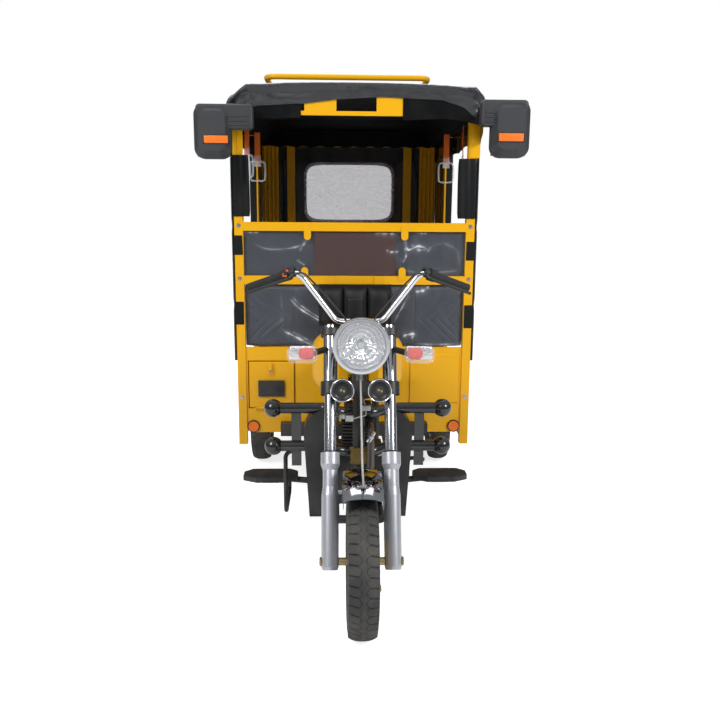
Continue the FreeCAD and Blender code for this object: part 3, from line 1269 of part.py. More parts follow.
def cabin_frame():
    """Posts, bulkhead rails, roof rails and hoops welded in one."""
    pieces = []
    for side in (1, -1):
        pieces += cabin_side(side) + rear_corner(side) + backrest_stays(side)
    inner = CABIN_HALF - POST
    front_back = CABIN_FRONT_Y + POST
    for rail_z in (TOP_RAIL_Z, MID_RAIL_Z):
        pieces.append(box(-inner, inner, CABIN_FRONT_Y, front_back, rail_z - POST / 2, rail_z + POST / 2))
    pieces += [rail_tab(x, TOP_RAIL_Z, -1) for x in TOP_TAB_PLACES]
    pieces += [rail_tab(x, MID_RAIL_Z, 1) for x in MID_TAB_PLACES]
    pieces.append(box(-inner, inner, SHEET_Y + SHEET, front_back, RAIL_TOP_Z, FLOOR_Z))
    wall_front = REAR_WALL_Y - POST
    roof = ROOF_RAIL_Z + ROOF_RAIL
    pieces.append(box(-CABIN_HALF, CABIN_HALF, wall_front, REAR_WALL_Y, WAIST_Z, WAIST_Z + POST))
    pieces.append(box(-CABIN_HALF, CABIN_HALF, wall_front, REAR_WALL_Y, ROOF_RAIL_Z, roof))
    first_hoop = ROOF_FRONT_Y + HOOP_RADIUS
    span = REAR_WALL_Y - HOOP_RADIUS - FABRIC - first_hoop
    for number in range(HOOP_COUNT):
        pieces.append(roof_hoop(first_hoop + span * number / (HOOP_COUNT - 1), FABRIC))
    header_inner = CABIN_HALF - ROOF_RAIL
    header_back = ROOF_FRONT_Y + ROOF_RAIL / 2
    pieces.append(box(-header_inner, header_inner, ROOF_FRONT_Y, header_back, ROOF_RAIL_Z, HEADER_GAP_Z))
    plate_back = ROOF_FRONT_Y + SHEET
    header = box(-HEADER_HALF, HEADER_HALF, ROOF_FRONT_Y, plate_back, HEADER_FOOT_Z, HEADER_TOP_Z)
    gap = box(-HEADER_GAP_HALF, HEADER_GAP_HALF, ROOF_FRONT_Y - OVERRUN, plate_back + OVERRUN,
              HEADER_GAP_Z, HEADER_TOP_Z + OVERRUN)
    pieces.append(header.cut(gap))
    return join(*pieces)


# Front sheet of the bulkhead with the toolbox behind its door
SHEET_TOP_Z = 848.0
DOOR_X0 = -512.0
DOOR_X1 = -285.0
DOOR_FOOT_Z = 545.0
DOOR_TOP_Z = 781.0
DOOR_GAP = 5.0
DOOR_THICK = 12.0
TOOLBOX_DEPTH = 160.0
RIGHT_PANEL_X0 = 269.0
RIGHT_PANEL_X1 = 508.0
RIGHT_PANEL_FOOT_Z = 572.0
RIGHT_PANEL_TOP_Z = 815.0
PRESS_DEPTH = 7.0
HINGE_RADIUS = 5.0
HINGE_PIN_RADIUS = 2.5
HINGE_LENGTH = 44.0
HINGE_INSET = 38.0
HINGE_LUG = 5.0
HINGE_Y = SHEET_Y - PRESS_DEPTH - HINGE_RADIUS
HINGE_Z = DOOR_FOOT_Z + DOOR_GAP
GUSSET_SHARE = 0.5
HASP_HALF = 12.0
HASP_LENGTH = 66.0
HASP_THICK = 5.0


def bulkhead_sheet(cabin, chassis):
    """Pressed sheet between the posts, with cut lower corners, a raised panel and the toolbox."""
    inner = CABIN_HALF - POST
    sheet_back = SHEET_Y + SHEET
    corner = (FLOOR_Z - SHEET_FOOT_Z) * GUSSET_SHARE
    foot_half = inner - corner
    corner_z = SHEET_FOOT_Z + corner
    outline = [(-foot_half, SHEET_FOOT_Z), (foot_half, SHEET_FOOT_Z), (inner, corner_z), (inner, SHEET_TOP_Z),
               (-inner, SHEET_TOP_Z), (-inner, corner_z)]
    sheet = plate_y(outline, SHEET_Y, sheet_back)
    raised = box(RIGHT_PANEL_X0, RIGHT_PANEL_X1, SHEET_Y - PRESS_DEPTH, sheet_back,
                 RIGHT_PANEL_FOOT_Z, RIGHT_PANEL_TOP_Z)
    edges = [edge for edge in raised.Edges if edge.BoundBox.YMax < SHEET_Y - PRESS_DEPTH + SEAT_CLEARANCE]
    raised = raised.makeChamfer(PRESS_DEPTH * GUSSET_SHARE, edges)
    liner = box(DOOR_X0 - SHEET, DOOR_X1 + SHEET, SHEET_Y, SHEET_Y + TOOLBOX_DEPTH,
                DOOR_FOOT_Z - SHEET, DOOR_TOP_Z + SHEET)
    hinges = []
    for x in hinge_starts():
        pin = V(x - HINGE_LUG - FACE_GAP, HINGE_Y, HINGE_Z)
        pin_end = V(x + HINGE_LENGTH + HINGE_LUG + FACE_GAP, HINGE_Y, HINGE_Z)
        hinges.append(rod(pin, pin_end, HINGE_PIN_RADIUS))
        for lug_x in (pin.x, x + HINGE_LENGTH + FACE_GAP):
            hinges.append(box(lug_x, lug_x + HINGE_LUG, HINGE_Y - HINGE_RADIUS, sheet_back,
                              DOOR_FOOT_Z - HINGE_RADIUS, DOOR_FOOT_Z))
            hinges.append(box(lug_x, lug_x + HINGE_LUG, HINGE_Y - HINGE_RADIUS, HINGE_Y + HINGE_PIN_RADIUS,
                              DOOR_FOOT_Z - HINGE_RADIUS, HINGE_Z + HINGE_PIN_RADIUS))
    inside = box(DOOR_X0, DOOR_X1, SHEET_Y - OVERRUN, SHEET_Y + TOOLBOX_DEPTH - SHEET, DOOR_FOOT_Z, DOOR_TOP_Z)
    return join(join(sheet, raised, liner).cut(inside), *hinges).cut(cabin).cut(chassis)


def hinge_starts():
    """Where the two hinge barrels of the toolbox door begin."""
    return DOOR_X0 + HINGE_INSET, DOOR_X1 - HINGE_INSET - HINGE_LENGTH


def toolbox_door():
    """Door with a folded edge and hinge barrels at its foot."""
    x0 = DOOR_X0 + DOOR_GAP
    x1 = DOOR_X1 - DOOR_GAP
    z0 = DOOR_FOOT_Z + DOOR_GAP
    z1 = DOOR_TOP_Z - DOOR_GAP
    front = SHEET_Y - PRESS_DEPTH
    panel = box(x0, x1, front, front + DOOR_THICK, z0, z1)
    edges = [edge for edge in panel.Edges if edge.BoundBox.YMax < front + SEAT_CLEARANCE]
    panel = panel.makeChamfer(PRESS_DEPTH * GUSSET_SHARE, edges)
    for x in hinge_starts():
        lug = V(x - HINGE_LUG - FACE_GAP * 2, HINGE_Y - HINGE_RADIUS * 2, HINGE_Z - HINGE_RADIUS)
        room_length = HINGE_LENGTH + HINGE_LUG * 2 + FACE_GAP * 4
        room = Part.makeBox(room_length, HINGE_RADIUS * 4, HINGE_RADIUS * 2 + DOOR_GAP, lug)
        pin = V(x, HINGE_Y, HINGE_Z)
        barrel = rod(pin, pin.add(X_AXIS * HINGE_LENGTH), HINGE_RADIUS)
        leaf = box(x, x + HINGE_LENGTH, HINGE_Y, front + DOOR_THICK / 2, HINGE_Z, HINGE_Z + HINGE_RADIUS * 4)
        bore = rod(pin.sub(X_AXIS * OVERRUN), pin.add(X_AXIS * (HINGE_LENGTH + OVERRUN)),
                   HINGE_PIN_RADIUS + BEARING_CLEARANCE)
        panel = join(panel.cut(room), barrel, leaf).cut(bore)
    hasp_x = (x0 + x1) / 2
    hasp = box(hasp_x - HASP_HALF, hasp_x + HASP_HALF, front - HASP_THICK, front + DOOR_THICK / 2,
               z1 - HASP_LENGTH, z1 - PRESS_DEPTH)
    return join(panel, hasp)


# Seat cushions and panels on the bulkhead
CUSHION_THICK = 46.0
CUSHION_EDGE = 16.0
VINYL = 5.0
CENTRE_PANEL_HALF = 192.0


def bulkhead_cushion():
    """Quilted cushion under the mid rail."""
    inner = CABIN_HALF - POST - FACE_GAP
    top = MID_RAIL_Z - POST / 2 - FACE_GAP
    foot = SHEET_TOP_Z + FACE_GAP
    pad = box(-inner, inner, CABIN_FRONT_Y, CABIN_FRONT_Y + CUSHION_THICK, foot, top)
    edges = [edge for edge in pad.Edges if edge.BoundBox.YMax < CABIN_FRONT_Y + SEAT_CLEARANCE]
    return pad.makeFillet(CUSHION_EDGE, edges)


def screen_panel():
    """Vinyl screen between the two upper rails, either side of the centre panel."""
    inner = CABIN_HALF - POST - FACE_GAP
    y0 = CABIN_FRONT_Y + POST / 2
    return box(-inner, inner, y0, y0 + VINYL, MID_RAIL_Z + POST / 2, TOP_RAIL_Z - POST / 2)


def centre_panel():
    """Bare board in front of the middle of the screen."""
    y1 = CABIN_FRONT_Y + POST / 2
    foot = MID_RAIL_Z + POST / 2
    top = TOP_RAIL_Z - POST / 2
    return box(-CENTRE_PANEL_HALF, CENTRE_PANEL_HALF, y1 - VINYL, y1, foot, top)


# Floor, side panels with wheel arches, and rear panel
SIDE_THICK = 20.0
ARCH_RADIUS = 322.0
ARCH_WALL = 4.0
TYRE_SIDE_ROOM = 19.5
WELL_X = REAR_TRACK / 2 - TYRE_WIDTH / 2 - TYRE_SIDE_ROOM - ARCH_WALL
FENDER_COVER = 16.5
TYRE_SIDE_X = REAR_TRACK / 2 + TYRE_WIDTH / 2
# The housing reaches over the tyre, and at least out to the body side that carries it.
FENDER_HALF = max(TYRE_SIDE_X + FENDER_COVER, CABIN_HALF)


def wheel_wells():
    """Space that the rear wheels need, as solids to cut with."""
    cuts = []
    for side in (1, -1):
        x0, x1 = sorted((side * (WELL_X + ARCH_WALL), side * (FENDER_HALF + OVERRUN)))
        start = V(x0, REAR_AXLE_Y, AXLE_Z)
        arch = rod(start, start.add(X_AXIS * (x1 - x0)), ARCH_RADIUS)
        legs = box(x0, x1, REAR_AXLE_Y - ARCH_RADIUS, REAR_AXLE_Y + ARCH_RADIUS, 0, AXLE_Z)
        cuts.append(join(arch, legs))
    return cuts


def side_panel(side, wells, cabin):
    """Sill, rear quarter and wheel housing of one side."""
    x0, x1 = sorted((side * (CABIN_HALF - SIDE_THICK), side * CABIN_HALF))
    sill = box(x0, x1, CABIN_FRONT_Y + POST, DOOR_REAR_Y, SILL_Z, FLOOR_Z)
    quarter = box(x0, x1, DOOR_REAR_Y, REAR_WALL_Y, SILL_Z, WAIST_Z)
    shell_x0, shell_x1 = sorted((side * WELL_X, side * FENDER_HALF))
    start = V(shell_x0, REAR_AXLE_Y, AXLE_Z)
    outer = rod(start, start.add(X_AXIS * (shell_x1 - shell_x0)), ARCH_RADIUS + ARCH_WALL)
    below = box(shell_x0, shell_x1, REAR_AXLE_Y - ARCH_RADIUS * 2, REAR_AXLE_Y + ARCH_RADIUS * 2,
                -ARCH_RADIUS, SILL_Z)
    housing = outer.cut(below)
    return join(sill, quarter, housing).cut(wells).cut(cabin)


def cabin_floor(wells, sides, cabin):
    """Flat floor on the rails, cut round the wheel housings."""
    inner = CABIN_HALF - SIDE_THICK
    plate = box(-inner, inner, CABIN_FRONT_Y + POST, REAR_WALL_Y, RAIL_TOP_Z, FLOOR_Z)
    for piece in list(wells) + list(sides) + [cabin]:
        plate = plate.cut(piece)
    return main_solid(plate)


def rear_panel(cabin, chassis):
    """Lower rear wall, standing behind the posts."""
    panel = box(-CABIN_HALF, CABIN_HALF, REAR_WALL_Y, REAR_WALL_Y + SIDE_THICK, SILL_Z, WAIST_Z + POST)
    return panel.cut(chassis).cut(cabin)


# Canopy, curtains and rear window
WINDOW_HALF_X = 277.0
WINDOW_FOOT_Z = 1438.0
WINDOW_TOP_Z = 1787.0
WINDOW_CORNER = 60.0
WINDOW_LAP = 16.0
WINDOW_THICK = 3.0
ROLL_RADIUS = 7.0
ROLL_FOOT_Z = 780.0


def roof_section(inset, foot_z, y):
    """Closed section of the roof: upright sides, round shoulders, low arch."""
    half = CANOPY_HALF - inset
    radius = CANOPY_SHOULDER - inset
    shoulder_x = half - radius
    spring_z = roof_z(shoulder_x, inset)
    slope = 1 / math.sqrt(2)
    left_low = V(-half, y, spring_z - radius)
    left_high = V(-shoulder_x, y, spring_z)
    left_mid = V(-shoulder_x - radius * slope, y, spring_z - radius + radius * slope)
    right_low = V(half, y, spring_z - radius)
    right_high = V(shoulder_x, y, spring_z)
    right_mid = V(shoulder_x + radius * slope, y, spring_z - radius + radius * slope)
    top = V(0, y, roof_z(0, inset))
    return Part.Face(Part.Wire([
        Part.LineSegment(V(-half, y, foot_z), left_low).toShape(),
        Part.Arc(left_low, left_mid, left_high).toShape(),
        Part.Arc(left_high, top, right_high).toShape(),
        Part.Arc(right_high, right_mid, right_low).toShape(),
        Part.LineSegment(right_low, V(half, y, foot_z)).toShape(),
        Part.LineSegment(V(half, y, foot_z), V(-half, y, foot_z)).toShape(),
    ]))


def roof_solid(inset):
    """The canopy's outer form as one block."""
    rear = REAR_WALL_Y + FABRIC * 2 + FACE_GAP
    section = roof_section(inset, CANOPY_SIDE_FOOT_Z, CANOPY_FRONT_Y)
    return section.extrude(V(0, rear - CANOPY_FRONT_Y, 0))


def canopy():
    """Thin shell over the hoops with side valances and a shorter front valance."""
    front = CANOPY_FRONT_Y
    rear = REAR_WALL_Y + FABRIC * 2 + FACE_GAP
    outer = roof_solid(0)
    inner_face = roof_section(FABRIC, CANOPY_SIDE_FOOT_Z - OVERRUN, front + FABRIC)
    inner = inner_face.extrude(V(0, rear - front - FABRIC * 2, 0))
    mouth = box(-CANOPY_HALF + FABRIC, CANOPY_HALF - FABRIC, front - OVERRUN, front + FABRIC + OVERRUN,
                CANOPY_SIDE_FOOT_Z - OVERRUN, CANOPY_FRONT_FOOT_Z)
    return outer.cut(inner).cut(mouth)


def curtains():
    """Side curtains and a rear curtain with the window opening, then the two rolled ones."""
    x_in = CABIN_HALF + FACE_GAP
    x_out = x_in + FABRIC
    y_in = REAR_WALL_Y + FACE_GAP
    y_out = y_in + FABRIC
    foot = WAIST_Z + POST + FACE_GAP
    top = ROOF_RAIL_Z + ROOF_RAIL
    rear = box(-x_out, x_out, y_in, y_out, foot, top)
    window_z = (WINDOW_FOOT_Z + WINDOW_TOP_Z) / 2
    hole = rounded_block(WINDOW_HALF_X, (WINDOW_TOP_Z - WINDOW_FOOT_Z) / 2, WINDOW_CORNER,
                         y_in - OVERRUN, y_out + OVERRUN, 0, window_z)
    pieces = [rear.cut(hole)]
    pieces += both_sides(box(x_in, x_out, DOOR_REAR_Y, y_in - FACE_GAP, foot, top))
    foot = V(CABIN_HALF + FACE_GAP + ROLL_RADIUS, CABIN_FRONT_Y + POST / 2, ROLL_FOOT_Z)
    top = V(foot.x, foot.y, CANOPY_SIDE_FOOT_Z - FACE_GAP)
    pieces += both_sides(rod(foot, top, ROLL_RADIUS))
    return pieces


def rear_window():
    """Clear sheet lapped over the curtain's opening from behind."""
    y0 = REAR_WALL_Y + FACE_GAP - WINDOW_THICK
    window_z = (WINDOW_FOOT_Z + WINDOW_TOP_Z) / 2
    half_z = (WINDOW_TOP_Z - WINDOW_FOOT_Z) / 2
    return rounded_block(WINDOW_HALF_X + WINDOW_LAP, half_z + WINDOW_LAP, WINDOW_CORNER + WINDOW_LAP,
                         y0, y0 + WINDOW_THICK, 0, window_z)


# Roof rack
RACK_X = -38.0
RACK_HALF = 364.0
RACK_RADIUS = 12.5
RACK_BAR_RADIUS = 9.0
RACK_Z = 2077.0
RACK_FRONT_LEAD = 20.0
RACK_REAR_LEAD = 160.0
RACK_FRONT_Y = CABIN_FRONT_Y - RACK_FRONT_LEAD
RACK_REAR_Y = REAR_WALL_Y - RACK_REAR_LEAD
RACK_BARS = 5
RACK_BEND = 50.0
RACK_PAD_RADIUS = 24.0
RACK_PAD_THICK = 4.0
RACK_FOOT_SHARES = (0.12, 0.5, 0.88)


def roof_rack():
    """Tube ring with cross bars on short feet that seat on the canopy."""
    x0 = RACK_X - RACK_HALF
    x1 = RACK_X + RACK_HALF
    middle = V(RACK_X, RACK_FRONT_Y, RACK_Z)
    middle_rear = V(RACK_X, RACK_REAR_Y, RACK_Z)
    pieces = []
    for x in (x0, x1):
        half = [middle, V(x, RACK_FRONT_Y, RACK_Z), V(x, RACK_REAR_Y, RACK_Z), middle_rear]
        pieces.append(bent_bar(half, RACK_BEND, RACK_RADIUS))
    span = RACK_REAR_Y - RACK_FRONT_Y
    for number in range(1, RACK_BARS + 1):
        y = RACK_FRONT_Y + span * number / (RACK_BARS + 1)
        pieces.append(rod(V(x0, y, RACK_Z), V(x1, y, RACK_Z), RACK_BAR_RADIUS))
    for x in (x0, x1):
        foot_z = roof_z(x, 0)
        for share in RACK_FOOT_SHARES:
            y = RACK_FRONT_Y + span * share
            top = V(x, y, RACK_Z)
            pieces.append(rod(V(x, y, foot_z - OVERRUN), top, RACK_BAR_RADIUS))
            pad = V(x, y, foot_z - RACK_PAD_THICK)
            pieces.append(rod(pad, V(x, y, foot_z + RACK_PAD_THICK), RACK_PAD_RADIUS))
    return join(*pieces).cut(roof_solid(-FACE_GAP))


# Mirrors on short arms from the roof rails' ends
MIRROR_WIDTH = 160.0
MIRROR_TOP_Z = 1935.0
MIRROR_FOOT_Z = 1707.0
MIRROR_DEPTH = 62.0
MIRROR_CORNER = 45.0
MIRROR_WAIST_SHARE = 0.5
MIRROR_FACE_SHARE = 0.72
MIRROR_LEFT_LEAD = 156.0
MIRROR_RIGHT_LEAD = 371.0
MIRROR_ARM_RADIUS = 9.0
BAND_FOOT_Z = 1830.0
BAND_CORNER = 18.0
BAND_DEPTH = 46.0
BAND_EDGE = 10.0
BAND_INNER_LEFT = 445.0
BAND_INNER_RIGHT = 497.0
BAND_RIB_COUNT = 3
BAND_RIB_RADIUS = 4.0
BAND_RIB_PITCH = 18.0


def mirror_unit(side, lead, band_inner, cabin):
    """Domed housing with its glass to the rear, under a ribbed band that reaches in to the arm."""
    y = CABIN_FRONT_Y - lead
    x = side * (MIRROR_HALF - MIRROR_WIDTH / 2)
    z = (MIRROR_TOP_Z + MIRROR_FOOT_Z) / 2
    half_x = MIRROR_WIDTH / 2
    half_z = MIRROR_TOP_Z - z
    waist_y = y - MIRROR_DEPTH * MIRROR_WAIST_SHARE
    back = rounded_wire(half_x, half_z, MIRROR_CORNER, y, x, z)
    waist = rounded_wire(half_x, half_z, MIRROR_CORNER, waist_y, x, z)
    share = MIRROR_FACE_SHARE
    face = rounded_wire(half_x * share, half_z * share, MIRROR_CORNER * share, y - MIRROR_DEPTH, x, z)
    band_half = (MIRROR_HALF - BAND_EDGE - band_inner) / 2
    band_x = side * (band_inner + band_half)
    band_half_z = (MIRROR_TOP_Z - BAND_FOOT_Z) / 2
    band_z = MIRROR_TOP_Z - band_half_z
    band_front = y - BAND_DEPTH
    band = rounded_block(band_half, band_half_z, BAND_CORNER, band_front, y, band_x, band_z)
    edges = [edge for edge in band.Edges if edge.BoundBox.YMax < band_front + SEAT_CLEARANCE]
    pieces = [Part.makeLoft([back, waist], True, True), Part.makeLoft([waist, face], True, True),
              band.makeFillet(BAND_EDGE, edges)]
    rib_half = band_half - BAND_CORNER
    for number in range(BAND_RIB_COUNT):
        rib = V(band_x - rib_half, band_front, BAND_FOOT_Z + BAND_RIB_PITCH * (number + 1))
        pieces.append(rod(rib, rib.add(X_AXIS * (rib_half * 2)), BAND_RIB_RADIUS))
    rail_end = V(side * (CABIN_HALF - ROOF_RAIL / 2), ROOF_FRONT_Y, ROOF_RAIL_Z + ROOF_RAIL / 2)
    pieces.append(rod(V(rail_end.x, waist_y, rail_end.z), rail_end, MIRROR_ARM_RADIUS))
    return join(*pieces).cut(cabin)


# Rear bench
BENCH_DEPTH = 520.0
BENCH_FRONT_Y = REAR_WALL_Y - BENCH_DEPTH
BENCH_FOOT_Z = FLOOR_Z
BENCH_TOP_Z = 790.0
BENCH_WALL = 18.0
BENCH_PAD = 90.0
BENCH_BACK_THICK = 90.0
BENCH_BACK_TOP_Z = 1340.0
BENCH_HALF = 510.0
BENCH_EDGE = 22.0


def bench_box(wells_outer):
    """Open-bottomed seat box on the floor."""
    y1 = REAR_WALL_Y - POST - FACE_GAP
    outer = box(-BENCH_HALF, BENCH_HALF, BENCH_FRONT_Y, y1, BENCH_FOOT_Z, BENCH_TOP_Z)
    inner = box(-BENCH_HALF + BENCH_WALL, BENCH_HALF - BENCH_WALL, BENCH_FRONT_Y + BENCH_WALL, y1 - BENCH_WALL,
                BENCH_FOOT_Z - OVERRUN, BENCH_TOP_Z - BENCH_WALL)
    body = outer.cut(inner)
    for piece in wells_outer:
        body = body.cut(piece)
    return main_solid(body)


def soft_block(x0, x1, y0, y1, z0, z1, radius):
    """Block with all its edges rounded."""
    stock = box(x0, x1, y0, y1, z0, z1)
    return stock.makeFillet(radius, stock.Edges)


def bench_cushions():
    y1 = REAR_WALL_Y - POST - FACE_GAP * 2
    seat = soft_block(-BENCH_HALF, BENCH_HALF, BENCH_FRONT_Y - BENCH_EDGE, y1, BENCH_TOP_Z + FACE_GAP,
                      BENCH_TOP_Z + BENCH_PAD, BENCH_EDGE)
    back = soft_block(-BENCH_HALF, BENCH_HALF, y1 - BENCH_BACK_THICK, y1, BENCH_TOP_Z + BENCH_PAD + FACE_GAP,
                      BENCH_BACK_TOP_Z, BENCH_EDGE)
    return [seat, back]


# Hand straps from the roof rails
STRAP_WIDTH = 26.0
STRAP_THICK = 3.0
STRAP_LENGTH = 150.0
STRAP_SHARES = (0.237, 0.83)
HANDLE_HEIGHT = 110.0
HANDLE_HALF = 44.0
HANDLE_WALL = 12.0


def hand_straps():
    """Webbing loops with a square handle, hung inside the roof rails."""
    pieces = []
    top = ROOF_RAIL_Z
    x_rail = CABIN_HALF - ROOF_RAIL / 2
    for side in (1, -1):
        for share in STRAP_SHARES:
            y = CABIN_FRONT_Y + (DOOR_REAR_Y - CABIN_FRONT_Y) * share
            x = side * x_rail
            web = box(x - STRAP_THICK / 2, x + STRAP_THICK / 2, y - STRAP_WIDTH / 2, y + STRAP_WIDTH / 2,
                      top - STRAP_LENGTH, top)
            z1 = top - STRAP_LENGTH
            outer = box(x - HANDLE_WALL / 2, x + HANDLE_WALL / 2, y - HANDLE_HALF, y + HANDLE_HALF,
                        z1 - HANDLE_HEIGHT, z1)
            hole_half = HANDLE_HALF - HANDLE_WALL
            inner = box(x - HANDLE_WALL, x + HANDLE_WALL, y - hole_half, y + hole_half,
                        z1 - HANDLE_HEIGHT + HANDLE_WALL, z1 - HANDLE_WALL)
            pieces.append(join(web, outer.cut(inner)))
    return pieces


# Rear axle, springs and propeller shaft
HOUSING_RADIUS = 32.0
DIFF_RADIUS = 112.0
DIFF_HALF = 95.0
DIFF_CURVE_SHARE = 0.55
DIFF_SHOULDER_SHARE = 0.86
BACK_PLATE_THICK = 10.0
AXLE_FLANGE_X = REAR_TRACK / 2 - DRUM_HALF - PLATE_GAP - BACK_PLATE_THICK
STUB_REACH = 62.0
STUB_END_X = REAR_TRACK / 2 + STUB_REACH
SPRING_X = RAIL_X
SPRING_HALF_LENGTH = 430.0
SPRING_WIDTH = 44.0
LEAF = 7.0
LEAF_COUNT = 5
LEAF_STEP_SHARE = 0.17
LEAF_RISE = 55.0
SPRING_EYE_RADIUS = 17.0
SPRING_Z = AXLE_Z + HOUSING_RADIUS
SHACKLE_THICK = 6.0
SHAFT_RADIUS = 21.0
YOKE_RADIUS = 34.0
YOKE_LENGTH = 46.0
SHAFT_FRONT_Z = 380.0


def rear_axle():
    """Tubular housing with a round differential, backing plates and stub ends, and its shaft."""
    plate_x1 = AXLE_FLANGE_X + BACK_PLATE_THICK
    half = [
        (0, 0), (0, DIFF_RADIUS), (DIFF_HALF * DIFF_CURVE_SHARE, DIFF_RADIUS * DIFF_SHOULDER_SHARE),
        (DIFF_HALF, HOUSING_RADIUS), (AXLE_FLANGE_X, HOUSING_RADIUS), (AXLE_FLANGE_X, PLATE_RADIUS),
        (plate_x1, PLATE_RADIUS), (plate_x1, REAR_STUB_RADIUS), (STUB_END_X, REAR_STUB_RADIUS), (STUB_END_X, 0),
    ]
    centre = V(0, REAR_AXLE_Y, AXLE_Z)
    right = turned(half, centre, X_AXIS, Z_AXIS)
    nose_end = V(0, REAR_AXLE_Y - DIFF_RADIUS - YOKE_LENGTH, AXLE_Z)
    nose = rod(nose_end, centre, YOKE_RADIUS)
    pads = [box(side * SPRING_X - SPRING_WIDTH / 2, side * SPRING_X + SPRING_WIDTH / 2,
                REAR_AXLE_Y - SPRING_WIDTH, REAR_AXLE_Y + SPRING_WIDTH, AXLE_Z, SPRING_Z) for side in (1, -1)]
    return join(right, mirrored(right), nose, *pads)


def propeller_shaft():
    """Shaft between the gearbox and the axle's nose, with a joint at each end."""
    start = V(0, ENGINE_Y + CASE_HALF_Y + FACE_GAP, SHAFT_FRONT_Z)
    end = V(0, REAR_AXLE_Y - DIFF_RADIUS - YOKE_LENGTH - FACE_GAP, AXLE_Z)
    front = start.add(V(0, YOKE_LENGTH, 0))
    rear = end.sub(V(0, YOKE_LENGTH, 0))
    return join(rod(start, front, YOKE_RADIUS), rod(front, rear, SHAFT_RADIUS), rod(rear, end, YOKE_RADIUS),
                Part.makeSphere(YOKE_RADIUS, front), Part.makeSphere(YOKE_RADIUS, rear))


def leaf_springs(chassis):
    """A pack of leaves each side, the top one rolled to eyes that hang from the rails."""
    packs = []
    for side in (1, -1):
        x0 = side * SPRING_X - SPRING_WIDTH / 2
        x1 = side * SPRING_X + SPRING_WIDTH / 2
        pieces = []
        for number in range(LEAF_COUNT):
            half = SPRING_HALF_LENGTH * (1 - LEAF_STEP_SHARE * number)
            low = SPRING_Z + LEAF * (LEAF_COUNT - 1 - number)
            rise = LEAF_RISE * (half / SPRING_HALF_LENGTH) ** 2
            pieces.append(arched_leaf(x0, x1, half, low, rise))
        for end in (1, -1):
            eye_z = SPRING_Z + LEAF * LEAF_COUNT + LEAF_RISE
            eye = V(x0, REAR_AXLE_Y + end * SPRING_HALF_LENGTH, eye_z)
            pieces.append(rod(eye, eye.add(X_AXIS * (x1 - x0)), SPRING_EYE_RADIUS))
            for hanger_x in (x0, x1 - SHACKLE_THICK):
                pieces.append(box(hanger_x, hanger_x + SHACKLE_THICK, eye.y - SPRING_EYE_RADIUS,
                                  eye.y + SPRING_EYE_RADIUS, eye.z, RAIL_FOOT_Z))
        packs.append(join(*pieces).cut(chassis))
    return packs


def arched_leaf(x0, x1, half, low, rise):
    """One curved leaf: an arc above and below."""
    def at(y, z):
        return V(x0, REAR_AXLE_Y + y, z)
    face = Part.Face(Part.Wire([
        Part.Arc(at(-half, low + rise), at(0, low), at(half, low + rise)).toShape(),
        Part.LineSegment(at(half, low + rise), at(half, low + rise + LEAF)).toShape(),
        Part.Arc(at(half, low + rise + LEAF), at(0, low + LEAF), at(-half, low + rise + LEAF)).toShape(),
        Part.LineSegment(at(-half, low + rise + LEAF), at(-half, low + rise)).toShape(),
    ]))
    return face.extrude(V(x1 - x0, 0, 0))


# Lamps and reflectors
TAIL_X = 430.0
TAIL_Z = 900.0
TAIL_HALF_X = 70.0
TAIL_HALF_Z = 45.0
TAIL_DEPTH = 34.0
TAIL_CORNER = 18.0
REFLECTOR_X = 490.0
REFLECTOR_Z = 455.0
REFLECTOR_RADIUS = 28.0
REFLECTOR_DEPTH = 8.0


def lamps():
    """Two tail lamps on the rear panel and two round reflectors on the bulkhead."""
    pieces = []
    back = REAR_WALL_Y + SIDE_THICK
    for side in (1, -1):
        pieces.append(rounded_block(TAIL_HALF_X, TAIL_HALF_Z, TAIL_CORNER, back, back + TAIL_DEPTH,
                                    side * TAIL_X, TAIL_Z))
        start = V(side * REFLECTOR_X, SHEET_Y - REFLECTOR_DEPTH, REFLECTOR_Z)
        pieces.append(rod(start, start.add(Y_AXIS * REFLECTOR_DEPTH), REFLECTOR_RADIUS))
    return pieces


